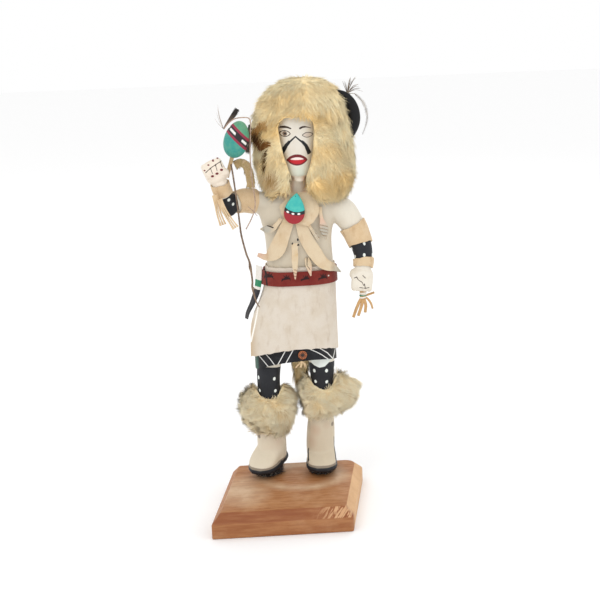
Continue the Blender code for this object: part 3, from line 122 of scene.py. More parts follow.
def light_the_scene():
    for name, (place, size, power) in LAMPS.items():
        hang_lamp(name, place, size, power)
    world = bpy.data.worlds.new("surround")
    world.use_nodes = True
    sky = world.node_tree.nodes["Background"]
    sky.inputs["Color"].default_value = (*SURROUND, 1.0)
    sky.inputs["Strength"].default_value = SURROUND_STRENGTH
    bpy.context.scene.world = world
    bpy.context.scene.view_settings.view_transform = "Standard"


def lay_floor():
    shape = bmesh.new()
    bmesh.ops.create_grid(shape, x_segments=1, y_segments=1, size=FLOOR_SIZE / 2)
    mesh = bpy.data.meshes.new("floor")
    shape.to_mesh(mesh)
    shape.free()
    floor = bpy.data.objects.new("floor", mesh)
    floor.location.z = -0.0002
    bpy.context.scene.collection.objects.link(floor)
    paint = bpy.data.materials.new("floor_white")
    paint.use_nodes = True
    shader = paint.node_tree.nodes["Principled BSDF"]
    shader.inputs["Base Color"].default_value = (FLOOR_WHITE, FLOOR_WHITE, FLOOR_WHITE, 1.0)
    shader.inputs["Roughness"].default_value = 0.9
    shader.inputs["Specular IOR Level"].default_value = 0.1
    mesh.materials.append(paint)


light_the_scene()
lay_floor()
print("lamps:", ", ".join(LAMPS))

# %% [markdown]
# ## Measures shared with the construction
# The carver's own measure is a hundredth of the figure's height, so every row of numbers below is in those
# units, counted from between the soles. A smooth curve through a few rows gives any place between them.

# %% Measures
FIGURE_HEIGHT = 0.400
UNIT = FIGURE_HEIGHT / 100.0
STAND_X = 0.008
STAND_Y = 0.040
PLINTH_THICKNESS = 0.025
SOLE_PAD_THICKNESS = 0.0075
SOLE_Z = PLINTH_THICKNESS + SOLE_PAD_THICKNESS
FIT_GAP = 0.0004
MM = 0.001


def figure_point(x, y, z):
    return np.array((STAND_X + x * UNIT, STAND_Y + y * UNIT, SOLE_Z + z * UNIT))


def spread(low, high, count):
    return np.linspace(low, high, count)


def spline_row(rows, at):
    """The values at a place, read from a smooth curve through rows of (place, value, value, ...)."""
    at = min(max(at, rows[0][0]), rows[-1][0])
    index = 0
    while index < len(rows) - 2 and at > rows[index + 1][0]:
        index += 1
    before, start, end, after = (
        np.array(rows[max(index - 1, 0)]),
        np.array(rows[index]),
        np.array(rows[index + 1]),
        np.array(rows[min(index + 2, len(rows) - 1)]),
    )
    span = end[0] - start[0]
    t = (at - start[0]) / span
    rise_in = (end - before) / (end[0] - before[0]) * span
    rise_out = (after - start) / (after[0] - start[0]) * span
    values = (
        (2 * t**3 - 3 * t**2 + 1) * start
        + (t**3 - 2 * t**2 + t) * rise_in
        + (3 * t**2 - 2 * t**3) * end
        + (t**3 - t**2) * rise_out
    )
    return values[1:]


def along_rows(rows, count):
    """Rows read at even steps along a smooth curve through them."""
    placed = [(float(i), *row) for i, row in enumerate(rows)]
    return [spline_row(placed, at) for at in spread(0.0, len(rows) - 1.0, count)]


def rounded(angle, power):
    """The point of a unit circle squared off by the power: 2 is a circle, and more is boxier."""
    c, s = np.cos(angle), np.sin(angle)
    return np.sign(c) * np.abs(c) ** (2 / power), np.sign(s) * np.abs(s) ** (2 / power)


def unit(vectors):
    return vectors / np.maximum(np.linalg.norm(vectors, axis=-1, keepdims=True), 1e-12)


def tone(red, green, blue):
    """A colour as a painter reads it, 0 to 255, turned into the linear light that the shader wants."""
    shares = np.array((red, green, blue)) / 255.0
    return tuple(float(s / 12.92) if s < 0.04045 else float(((s + 0.055) / 1.055) ** 2.4) for s in shares)


print("one unit is", round(UNIT * 1000, 2), "mm")

# %% [markdown]
# ## Making meshes
# Most pieces here are one of three things: a closed form through rings, a thin sheet of hide with a real
# thickness, or a tapering stem. Each has one helper, so that the pieces below are short.

# %% Helpers for meshes
def add_piece(name, mesh, materials):
    made = bpy.data.objects.new(name, mesh)
    for material in materials if isinstance(materials, (list, tuple)) else [materials]:
        mesh.materials.append(material)
    bpy.context.scene.collection.objects.link(made)
    return made


def mesh_of(name, points, faces, smooth=True):
    """A mesh from arrays of points and of triangles or quads."""
    points = np.asarray(points, np.float32)
    faces = np.asarray(faces, np.int32)
    mesh = bpy.data.meshes.new(name)
    mesh.vertices.add(len(points))
    mesh.vertices.foreach_set("co", points.ravel())
    mesh.loops.add(faces.size)
    mesh.loops.foreach_set("vertex_index", faces.ravel())
    mesh.polygons.add(len(faces))
    mesh.polygons.foreach_set("loop_start", np.arange(0, faces.size, faces.shape[1], dtype=np.int32))
    mesh.update(calc_edges=True)
    if smooth:
        mesh.shade_smooth()
    return mesh


def points_of(mesh):
    points = np.empty(len(mesh.vertices) * 3, np.float32)
    mesh.vertices.foreach_get("co", points)
    return points.reshape(-1, 3).astype(float)


def normals_of(mesh):
    normals = np.empty(len(mesh.vertices) * 3, np.float32)
    mesh.vertices.foreach_get("normal", normals)
    return normals.reshape(-1, 3).astype(float)


def move_points(mesh, points):
    mesh.vertices.foreach_set("co", np.asarray(points, np.float32).ravel())
    mesh.update()


def closed_form(name, rings):
    """A closed mesh through rings of equal counts, its two ends closed by a fan."""
    rings = np.asarray(rings, float)
    levels, sides = rings.shape[:2]
    points = np.concatenate([rings.reshape(-1, 3), rings[:1].mean(axis=1), rings[-1:].mean(axis=1)])
    shape = bmesh.new()
    verts = [shape.verts.new(point) for point in points]
    for level in range(levels - 1):
        for side in range(sides):
            nxt = (side + 1) % sides
            a, b = level * sides + side, level * sides + nxt
            shape.faces.new((verts[a], verts[b], verts[b + sides], verts[a + sides]))
    for side in range(sides):
        nxt = (side + 1) % sides
        shape.faces.new((verts[-2], verts[nxt], verts[side]))
        top = (levels - 1) * sides
        shape.faces.new((verts[-1], verts[top + side], verts[top + nxt]))
    bmesh.ops.recalc_face_normals(shape, faces=shape.faces)
    mesh = bpy.data.meshes.new(name)
    shape.to_mesh(mesh)
    shape.free()
    mesh.shade_smooth()
    return mesh


def frames_along(line):
    """Two directions across a line at each of its points, turned as little as can be from one to the next."""
    line = np.asarray(line, float)
    tangents = unit(np.gradient(line, axis=0))
    across = np.array((0.0, 1.0, 0.0)) if abs(tangents[0][0]) > 0.7 else np.array((1.0, 0.0, 0.0))
    firsts, seconds = [], []
    for tangent in tangents:
        across = unit(across - tangent * np.dot(across, tangent))
        firsts.append(across)
        seconds.append(np.cross(tangent, across))
    return np.array(firsts), np.array(seconds)


def stem_rings(line, radii, sides=10, flat=1.0):
    first, second = frames_along(line)
    angles = np.arange(sides) * 2 * math.pi / sides
    rings = []
    for point, a, b, radius in zip(line, first, second, radii):
        rings.append(point + radius * (np.cos(angles)[:, None] * a + np.sin(angles)[:, None] * b * flat))
    return np.array(rings)


def stem(name, line, radii, sides=10, flat=1.0):
    """A round stem along a line, with its own radius at each point and closed ends."""
    return closed_form(name, stem_rings(line, radii, sides, flat))


def hide_sheet(name, grid, thickness, closed=False):
    """A sheet of hide. Its grid is its inner face, rows from the bottom up, columns to the right from outside."""
    grid = np.asarray(grid, float)
    rows, columns = grid.shape[:2]
    shape = bmesh.new()
    verts = [[shape.verts.new(point) for point in row] for row in grid]
    for r in range(rows - 1):
        for c in range(columns if closed else columns - 1):
            nxt = (c + 1) % columns
            shape.faces.new((verts[r][c], verts[r][nxt], verts[r + 1][nxt], verts[r + 1][c]))
    mesh = bpy.data.meshes.new(name)
    shape.to_mesh(mesh)
    shape.free()
    return thicken(name, mesh, thickness)


def settled(item):
    """The mesh of an object as its modifiers leave it. The object is used up."""
    bpy.context.view_layer.update()
    graph = bpy.context.evaluated_depsgraph_get()
    mesh = bpy.data.meshes.new_from_object(item.evaluated_get(graph))
    bpy.data.objects.remove(item, do_unlink=True)
    return mesh


def with_modifier(name, mesh, kind, **settings):
    item = bpy.data.objects.new(name + "_work", mesh)
    bpy.context.scene.collection.objects.link(item)
    step = item.modifiers.new("step", kind)
    for key, value in settings.items():
        setattr(step, key, value)
    made = settled(item)
    made.name = name
    return made


def thicken(name, mesh, thickness):
    made = with_modifier(name, mesh, "SOLIDIFY", thickness=thickness, offset=1.0, use_even_offset=True)
    made.shade_smooth()
    made.set_sharp_from_angle(angle=math.radians(50.0))
    return made


def fused(name, meshes, voxel, smoothing=2):
    """Several closed meshes melted into one skin."""
    shape = bmesh.new()
    for mesh in meshes:
        shape.from_mesh(mesh)
    bmesh.ops.remove_doubles(shape, verts=shape.verts, dist=1e-6)
    joined = bpy.data.meshes.new(name)
    shape.to_mesh(joined)
    shape.free()
    made = with_modifier(name, joined, "REMESH", mode="VOXEL", voxel_size=voxel, use_smooth_shade=True)
    if smoothing:
        made = with_modifier(name, made, "SMOOTH", factor=0.5, iterations=smoothing)
    made.shade_smooth()
    return made


def triangles_in(mesh):
    return sum(len(face.vertices) - 2 for face in mesh.polygons)


def outward(mesh, centre_axis=None):
    """Turns a mesh's faces outwards if they lie inside out."""
    shape = bmesh.new()
    shape.from_mesh(mesh)
    if shape.calc_volume(signed=True) < 0:
        bmesh.ops.reverse_faces(shape, faces=shape.faces)
        shape.to_mesh(mesh)
    shape.free()
    return mesh


print("mesh helpers ready")

# %% [markdown]
# ## Brushed marks
# A painted eyebrow or a row of dots is colour, not relief. Each mark is kept on the mesh as a distance, in
# millimetres, from the edge of the brush stroke: below nought is inside it. The shader then cuts the colour at
# nought, so an edge stays crisp between points of the mesh, and a little noise makes it look painted by hand.

# %% Helpers for painted marks
FAR = 9.0


def stroke(spots, line, width, end_width=None):
    """Distance to a brush stroke along a line of (across, up) in mm, whose width may change along it."""
    line = np.asarray(line, float)
    end_width = width if end_width is None else end_width
    lengths = np.linalg.norm(np.diff(line, axis=0), axis=1)
    total, done = lengths.sum(), 0.0
    nearest = np.full(len(spots), FAR)
    for start, end, length in zip(line[:-1], line[1:], lengths):
        reach = end - start
        t = np.clip(((spots - start) @ reach) / max(length**2, 1e-9), 0.0, 1.0)
        away = np.linalg.norm(spots - start - t[:, None] * reach, axis=1)
        share = (done + t * length) / total
        nearest = np.minimum(nearest, away - (width + (end_width - width) * share) / 2)
        done += length
    return nearest


def dab(spots, middle, half_width, half_height, turn=0.0):
    """Distance to an oval dab of paint."""
    c, s = math.cos(turn), math.sin(turn)
    x, y = (spots - np.asarray(middle, float)).T
    x, y = c * x + s * y, c * y - s * x
    small = min(half_width, half_height)
    return (np.hypot(x / half_width, y / half_height) - 1.0) * small


def patch(spots, corners):
    """Distance to a straight-sided area of paint with corners in order."""
    corners = np.asarray(corners, float)
    away = np.full(len(spots), 1e9)
    inside = np.zeros(len(spots), bool)
    for start, end in zip(corners, np.roll(corners, -1, axis=0)):
        reach = end - start
        t = np.clip(((spots - start) @ reach) / (reach @ reach), 0.0, 1.0)
        away = np.minimum(away, np.linalg.norm(spots - start - t[:, None] * reach, axis=1))
        crosses = (start[1] > spots[:, 1]) != (end[1] > spots[:, 1])
        rise = end[1] - start[1] if end[1] != start[1] else 1e-9
        where = start[0] + (spots[:, 1] - start[1]) / rise * reach[0]
        inside ^= crosses & (spots[:, 0] < where)
    return np.where(inside, -away, away)


def only_where(distance, allowed):
    return np.where(allowed, distance, FAR)


def both(*distances):
    """The marks together."""
    return np.minimum.reduce(distances)


def set_paint(mesh, name, distance):
    layer = mesh.attributes.new(name, "FLOAT", "POINT")
    layer.data.foreach_set("value", np.clip(distance, -FAR, FAR).astype(np.float32))


def set_colour(mesh, name, colours):
    layer = mesh.attributes.new(name, "FLOAT_COLOR", "POINT")
    full = np.ones((len(colours), 4), np.float32)
    full[:, :3] = colours
    layer.data.foreach_set("color", full.ravel())


def blend_colour(colours, other, share):
    share = np.clip(share, 0.0, 1.0)[:, None]
    return colours * (1 - share) + np.asarray(other, float) * share


def near(points, middle, radius):
    """A soft weight: one at the middle and nought beyond the radius, both in metres."""
    away = np.linalg.norm(points - np.asarray(middle, float), axis=1) / radius
    return np.clip(1.0 - away, 0.0, 1.0) ** 0.7


print("paint helpers ready")

# %% [markdown]
# ## Finishes
# Each finish is mixed from the same few things: a colour that varies as the real stuff does, a roughness that
# varies with it, and a fine relief in the shader for what is too small to model. A small class holds a finish
# while it is mixed, so that every recipe below reads from the ground colour up.

# %% Helpers for finishes
class Coat:
    """A finish in the making: one Principled shader and the nodes that feed it."""

    def __init__(self, name, roughness, **values):
        self.material = bpy.data.materials.new(name)
        self.material.use_nodes = True
        self.tree = self.material.node_tree
        self.shader = self.tree.nodes["Principled BSDF"]
        self.shader.inputs["Roughness"].default_value = roughness
        for socket, value in values.items():
            self.shader.inputs[socket.replace("_", " ")].default_value = value
        self.place = self.tree.nodes.new("ShaderNodeTexCoord").outputs["Object"]

    def feed(self, socket, source):
        if isinstance(source, bpy.types.NodeSocket):
            self.tree.links.new(source, socket)
        elif isinstance(source, tuple) and len(source) == 3 and socket.type == "RGBA":
            socket.default_value = (*source, 1.0)
        else:
            socket.default_value = source

    def stretched(self, x, y, z, turn=0.0):
        """The place on the object, stretched for a grain that runs one way, and turned about Y."""
        mapping = self.tree.nodes.new("ShaderNodeMapping")
        mapping.vector_type = "TEXTURE"
        self.feed(mapping.inputs["Vector"], self.place)
        mapping.inputs["Rotation"].default_value = (0.0, turn, 0.0)
        mapping.inputs["Scale"].default_value = (1.0 / x, 1.0 / y, 1.0 / z)
        return mapping.outputs["Vector"]

    def noise(self, size, detail=3.0, roughness=0.55, place=None, twist=0.0):
        """Noise whose features are about the size given, in metres."""
        made = self.tree.nodes.new("ShaderNodeTexNoise")
        self.feed(made.inputs["Vector"], place or self.place)
        made.inputs["Scale"].default_value = 1.0 / size
        made.inputs["Detail"].default_value = detail
        made.inputs["Roughness"].default_value = roughness
        made.inputs["Distortion"].default_value = twist
        return made.outputs[0]

    def mark(self, name):
        """A number kept on the mesh."""
        made = self.tree.nodes.new("ShaderNodeAttribute")
        made.attribute_name = name
        return made.outputs["Fac"]

    def painted(self, name):
        """A colour kept on the mesh."""
        made = self.tree.nodes.new("ShaderNodeAttribute")
        made.attribute_name = name
        return made.outputs["Color"]

    def ramp(self, value, low, high, start=0.0, end=1.0):
        made = self.tree.nodes.new("ShaderNodeMapRange")
        made.interpolation_type = "SMOOTHSTEP"
        for socket, source in zip(made.inputs, (value, low, high, start, end)):
            self.feed(socket, source)
        return made.outputs[0]

    def sum(self, first, second, share=1.0):
        """The first number plus a share of the second."""
        made = self.tree.nodes.new("ShaderNodeMath")
        made.operation = "MULTIPLY_ADD"
        self.feed(made.inputs[0], second)
        self.feed(made.inputs[1], share)
        self.feed(made.inputs[2], first)
        return made.outputs[0]

    def times(self, first, second):
        made = self.tree.nodes.new("ShaderNodeMath")
        made.operation = "MULTIPLY"
        self.feed(made.inputs[0], first)
        self.feed(made.inputs[1], second)
        return made.outputs[0]

    def mix(self, share, first, second, way="MIX"):
        made = self.tree.nodes.new("ShaderNodeMix")
        made.data_type = "RGBA"
        made.blend_type = way
        self.feed(made.inputs[0], share)
        self.feed(made.inputs[6], first)
        self.feed(made.inputs[7], second)
        return made.outputs[2]

    def brushed(self, name, edge=0.12, wobble=0.35, wobble_size=0.0016):
        """One inside a painted mark and nought outside it, with an edge as a brush leaves it."""
        ragged = self.sum(self.mark(name), self.noise(wobble_size, 2.0), wobble)
        middle = wobble / 2
        return self.ramp(ragged, middle - edge, middle + edge, 1.0, 0.0)

    def colour(self, source):
        self.feed(self.shader.inputs["Base Color"], source)

    def roughness(self, source):
        self.feed(self.shader.inputs["Roughness"], source)

    def relief(self, height, distance, strength=1.0):
        made = self.tree.nodes.new("ShaderNodeBump")
        made.inputs["Strength"].default_value = strength
        made.inputs["Distance"].default_value = distance
        self.feed(made.inputs["Height"], height)
        self.tree.links.new(made.outputs["Normal"], self.shader.inputs["Normal"])


print("finish helpers ready")

# %% [markdown]
# ## The carved figure
# The body is carved from soft root wood and the limbs are pegged on, then everything is painted as one. The
# knife leaves it smooth and full. Each form is lofted through the carver's own rows with many more sides than
# the construction needs, then all of them are melted into one skin, so the joins swell softly as in wood.

# %% Rows of the carving
# Height, centre line, half width, half depth
TORSO_ROWS = (
    (30.6, 0.85, 6.9, 4.3),
    (32.0, 0.9, 8.0, 4.8),
    (38.0, 1.4, 8.6, 5.1),
    (44.0, 2.1, 8.8, 5.2),
    (50.5, 2.8, 8.9, 5.0),
    (56.0, 3.1, 8.6, 4.7),
    (63.0, 2.9, 8.6, 4.6),
    (68.0, 2.9, 9.6, 4.7),
    (71.5, 3.0, 10.4, 4.2),
    (74.0, 3.0, 7.4, 3.5),
    (76.0, 3.1, 3.3, 2.9),
    (81.8, 3.2, 2.5, 2.6),
)
TORSO_POWER = 2.5

# Height, centre line, half width, face front, back of the head
HEAD_ROWS = (
    (79.2, 3.4, 1.5, -5.2, -2.6),
    (79.8, 3.4, 2.6, -6.1, -0.4),
    (81.0, 3.4, 3.4, -6.5, 1.6),
    (83.2, 3.4, 4.1, -6.7, 3.6),
    (85.8, 3.4, 4.8, -6.7, 5.2),
    (88.5, 3.4, 5.5, -6.5, 6.0),
    (92.0, 3.4, 5.8, -6.2, 6.3),
    (95.5, 3.4, 5.3, -5.4, 6.0),
    (98.3, 3.4, 3.6, -3.6, 4.6),
    (99.6, 3.4, 1.8, -1.4, 2.6),
    (100.0, 3.4, 0.6, 0.0, 1.2),
)
HEAD_POWER = 2.15

# Along the limb: x, y, z, radius
LOWERED_ARM_ROWS = (
    (9.5, -0.1, 70.4, 3.0),
    (14.0, -0.3, 69.4, 3.6),
    (16.6, -0.6, 66.2, 3.2),
    (18.3, -1.3, 62.4, 2.9),
    (19.2, -2.4, 59.4, 2.6),
    (19.4, -3.4, 56.8, 2.3),
    (19.1, -4.2, 54.6, 2.1),
)
RAISED_UPPER_ARM_ROWS = (
    (-1.0, 0.2, 69.6, 2.8),
    (-4.5, -0.1, 71.4, 3.0),
    (-8.0, -1.2, 72.9, 2.8),
    (-11.2, -2.9, 73.6, 2.6),
    (-13.6, -4.4, 73.2, 2.3),
    (-14.9, -5.2, 72.9, 1.5),
)
RAISED_FOREARM_ROWS = (
    (-14.3, -4.8, 70.4, 1.0),
    (-14.5, -5.0, 71.3, 1.9),
    (-14.8, -5.3, 73.0, 2.2),
    (-15.5, -6.0, 75.2, 2.1),
    (-16.3, -6.8, 77.4, 2.0),
    (-16.8, -7.3, 79.6, 2.0),
)
STILL_LEG_ROWS = (
    (5.2, 0.0, 36.5, 3.9),
    (7.6, -0.3, 31.5, 3.6),
    (7.9, -0.7, 27.0, 3.3),
    (7.8, -0.5, 21.5, 2.8),
    (7.5, 0.1, 16.5, 3.0),
    (7.3, 0.4, 11.5, 3.6),
    (7.0, 0.5, 6.0, 3.8),
    (6.9, 0.3, 1.6, 3.6),
)
STEPPING_LEG_ROWS = (
    (-2.6, 0.0, 36.5, 3.9),
    (-5.5, -0.4, 31.5, 3.4),
    (-6.3, -0.9, 26.5, 3.1),
    (-6.3, -0.5, 20.5, 3.0),
    (-6.3, 0.1, 15.5, 3.1),
    (-6.2, 0.4, 10.5, 3.7),
    (-6.1, 0.5, 6.0, 3.9),
    (-6.0, 0.2, 2.4, 3.6),
)

# Along the foot from the heel: half width, height of the instep
FOOT_ROWS = (
    (0.0, 1.7, 3.2),
    (1.2, 2.9, 5.4),
    (3.6, 3.6, 6.4),
    (6.2, 3.8, 5.6),
    (8.6, 3.9, 4.2),
    (10.6, 3.5, 3.0),
    (12.0, 2.5, 2.2),
    (12.8, 1.3, 1.5),
)
SOLE_HEIGHT = 1.3
SOLE_WELT = 0.30
FEET = {
    "still": {"heel": (7.4, 5.6), "degrees": -3.0, "heel_lift": 0.0},
    "stepping": {"heel": (-3.6, 4.6), "degrees": -34.0, "heel_lift": 0.0065},
}
FIST_WIDTH = 5.5
FIST_LENGTH = 6.2
FIST_DEPTH = 4.6
FINGER_RADIUS = 0.82
FINGERS = 4
BODY_SIDES = 72
LIMB_SIDES = 40
print("carving rows:", len(TORSO_ROWS) + len(HEAD_ROWS), "for the body and head")

# %% Forms of the carving
def flat_ring(centre_x, centre_y, z, half_width, half_depth, power=2.2, sides=BODY_SIDES):
    x, y = rounded(np.arange(sides) * 2 * math.pi / sides, power)
    return np.stack([centre_x + half_width * x, centre_y + half_depth * y, np.full(sides, z)], axis=1)


def torso_ring(z):
    centre, half_width, half_depth = spline_row(TORSO_ROWS, z)
    middle = figure_point(centre, 0.0, z)
    return flat_ring(middle[0], middle[1], middle[2], half_width * UNIT, half_depth * UNIT, TORSO_POWER)


def torso_face(x, z, front=True):
    """The torso's surface at a place seen from the front: its y. x and z are metres too."""
    centre, half_width, half_depth = spline_row(TORSO_ROWS, (z - SOLE_Z) / UNIT)
    across = min(abs(x - STAND_X - centre * UNIT) / (half_width * UNIT), 0.97)
    depth = half_depth * UNIT * (1 - across**TORSO_POWER) ** (1 / TORSO_POWER)
    return STAND_Y - depth if front else STAND_Y + depth


def head_ring(z):
    centre, half_width, front, back = spline_row(HEAD_ROWS, z)
    middle = figure_point(centre, (front + back) / 2, z)
    return flat_ring(
        middle[0], middle[1], middle[2], half_width * UNIT, (back - front) / 2 * UNIT, HEAD_POWER
    )


def limb_line(rows, count):
    """A limb's centre line and its radius at each point, in metres."""
    read = along_rows(rows, count)
    return np.array([figure_point(*row[:3]) for row in read]), np.array([row[3] * UNIT for row in read])


def limb(name, rows):
    line, radii = limb_line(rows, 30)
    return stem(name, line, radii, LIMB_SIDES)


def foot_frame(foot):
    """A foot's place: its heel's middle on the sole, the way its toes point, and the lift of the heel."""
    length = FOOT_ROWS[-1][0] * UNIT
    turn = Matrix.Rotation(math.radians(foot["degrees"]), 4, "Z")
    pitch = Matrix.Rotation(math.asin(foot["heel_lift"] / length), 4, "X")
    toe = Vector(figure_point(*foot["heel"], 0.0)) + turn @ Vector((0.0, -length, 0.0))
    return Matrix.Translation(toe) @ turn @ pitch @ Matrix.Translation((0.0, length, 0.0))


def placed(points, matrix):
    matrix = np.array(matrix)
    return np.asarray(points) @ matrix[:3, :3].T + matrix[:3, 3]


def foot_forms(name, foot):
    """The upper of a boot as a loft from heel to toe, and its sole as a slab with a welt."""
    place = foot_frame(foot)
    heel, toe = FOOT_ROWS[0][0], FOOT_ROWS[-1][0]
    buried = 0.55 * UNIT
    angles = np.arange(LIMB_SIDES) * 2 * math.pi / LIMB_SIDES
    x, z = rounded(angles, 2.6)
    upper = []
    for along in spread(heel, toe, 30):
        half_width, height = spline_row(FOOT_ROWS, along)
        rise = (height * UNIT - buried) / 2
        ring = np.stack([x * half_width * UNIT, np.full(LIMB_SIDES, -along * UNIT), buried + rise * (1 + z)], 1)
        upper.append(placed(ring, place))
    outline = []
    stations = spread(heel - SOLE_WELT, toe + SOLE_WELT, 40)
    for side in (1, -1):
        for along in stations if side > 0 else stations[::-1]:
            half_width = spline_row(FOOT_ROWS, along)[0] + SOLE_WELT
            outline.append((side * half_width * UNIT, -along * UNIT))
    slab = []
    for level in (0.0, 0.06, 0.8, 0.95, 1.0):
        inset = 0.06 * max(0.0, (level - 0.8) / 0.2) + 0.02 * max(0.0, 1 - level / 0.06)
        ring = np.array([(px, py, SOLE_HEIGHT * UNIT * level) for px, py in outline])
        ring[:, :2] += (ring[:, :2].mean(axis=0) - ring[:, :2]) * inset
        slab.append(placed(ring, place))
    return [closed_form(name + "_upper", upper), closed_form(name + "_sole", slab)]


def fist_frame(rows, reach, palm):
    """A fist's place: its middle, with Z along the fingers' reach and -Y out of the palm's front."""
    wrist = Vector(figure_point(*rows[-1][:3]))
    up = Vector(reach).normalized()
    palm = Vector(palm)
    out = (palm - up * palm.dot(up)).normalized()
    side = up.cross(-out).normalized() * -1.0
    turn = Matrix((side, -out, up)).transposed().to_4x4()
    return Matrix.Translation(wrist + up * FIST_LENGTH * UNIT * 0.42) @ turn


RAISED_FIST = fist_frame(RAISED_FOREARM_ROWS, (-0.42, -0.05, 1.0), (0.05, -1.0, 0.10))
LOWERED_FIST = fist_frame(LOWERED_ARM_ROWS, (-0.10, -0.20, -1.0), (-0.15, -1.0, 0.10))


def fist_forms(name, place):
    """A closed hand: a rounded palm with four curled fingers and a thumb across them."""
    half = np.array((FIST_WIDTH, FIST_DEPTH, FIST_LENGTH)) * (UNIT / 2)
    angles = np.arange(LIMB_SIDES) * 2 * math.pi / LIMB_SIDES
    x, y = rounded(angles, 2.8)
    rings = []
    for share in (-0.98, -0.92, -0.80, -0.6, -0.4, 0.0, 0.4, 0.6, 0.82, 0.92, 0.97):
        width = (1 - abs(share) ** 3.2) ** (1 / 3.2) * (0.86 if share < -0.6 else 1.0)
        ring = np.stack([x * half[0] * width, y * half[1] * width, np.full(LIMB_SIDES, share * half[2])], 1)
        rings.append(placed(ring, place))
    made = [closed_form(name + "_palm", rings)]
    pitch = FIST_WIDTH * UNIT / FINGERS
    turns = ((-0.25, 0.84), (-0.80, 0.74), (-0.98, 0.24), (-0.76, -0.12))
    for finger in range(FINGERS):
        x = (finger - (FINGERS - 1) / 2) * pitch * 0.92
        line = placed([(x, half[1] * out, half[2] * up) for out, up in turns], place)
        line, radii = smooth_line(line, [FINGER_RADIUS * UNIT * share for share in (0.9, 1.05, 1.05, 0.8)], 14)
        made.append(stem(f"{name}_finger_{finger}", line, radii, 14))
    thumb = placed(
        [
            (half[0] * 0.80, -half[1] * 0.10, -half[2] * 0.62),
            (half[0] * 0.86, -half[1] * 0.62, -half[2] * 0.28),
            (half[0] * 0.55, -half[1] * 1.00, -half[2] * 0.16),
        ],
        place,
    )
    line, radii = smooth_line(thumb, [UNIT * share for share in (0.95, 1.0, 0.75)], 12)
    made.append(stem(name + "_thumb", line, radii, 14))
    return made


def smooth_line(points, radii, count):
    """A smooth line and its radii through a few points in metres."""
    rows = [(*point, radius) for point, radius in zip(points, radii)]
    read = np.array(along_rows(rows, count))
    return read[:, :3], read[:, 3]


LIMBS = {
    "lowered_arm": LOWERED_ARM_ROWS,
    "raised_upper_arm": RAISED_UPPER_ARM_ROWS,
    "raised_forearm": RAISED_FOREARM_ROWS,
    "still_leg": STILL_LEG_ROWS,
    "stepping_leg": STEPPING_LEG_ROWS,
}


def figure_forms():
    made = [
        closed_form("torso", [torso_ring(z) for z in spread(30.6, 81.8, 60)]),
        closed_form("head", [head_ring(z) for z in spread(78.1, 100.0, 40)]),
    ]
    made += [limb(name, rows) for name, rows in LIMBS.items()]
    made += fist_forms("raised_fist", RAISED_FIST) + fist_forms("lowered_fist", LOWERED_FIST)
    for name, foot in FEET.items():
        made += foot_forms(name + "_foot", foot)
    return made


FIGURE_VOXEL = 0.00130
figure_mesh = fused("carved_figure_skin", figure_forms(), FIGURE_VOXEL, 3)
print("figure skin:", triangles_in(figure_mesh), "triangles")

# %% [markdown]
# ### A finer mesh under the painted face
# The painted features are barely a millimetre wide, so the mesh is cut finer there before the marks are
# measured on it. The rest of the body stays as coarse as its forms allow.

# %% Finer mesh for the face
FACE_LOW = Vector((-0.008, 0.0, 0.343))
FACE_HIGH = Vector((0.046, 0.026, 0.412))


def cut_finer(mesh, low, high, cuts):
    shape = bmesh.new()
    shape.from_mesh(mesh)

    def inside(point):
        return all(low[k] <= point[k] <= high[k] for k in range(3))

    edges = [edge for edge in shape.edges if all(inside(vert.co) for vert in edge.verts)]
    bmesh.ops.subdivide_edges(shape, edges=edges, cuts=cuts, use_grid_fill=True, smooth=0.0)
    bmesh.ops.triangulate(shape, faces=[face for face in shape.faces if len(face.verts) > 4])
    shape.to_mesh(mesh)
    shape.free()
    mesh.shade_smooth()


cut_finer(figure_mesh, FACE_LOW, FACE_HIGH, 2)
cut_finer(figure_mesh, Vector((-0.080, -0.008, 0.354)), Vector((-0.046, 0.010, 0.382)), 1)
cut_finer(figure_mesh, Vector((0.070, 0.000, 0.228)), Vector((0.094, 0.018, 0.250)), 1)
print("figure skin with a finer face:", triangles_in(figure_mesh), "triangles")

# %% [markdown]
# ### The painted marks
# The face is white with a pair of thin brows, almond eyes, a black chevron from the nose to the cheeks and a
# red mouth. The arms and knees have black bands with white spots. Each mark is a few strokes in millimetres,
# read from the front for the face and hands, and round the limb for the bands.

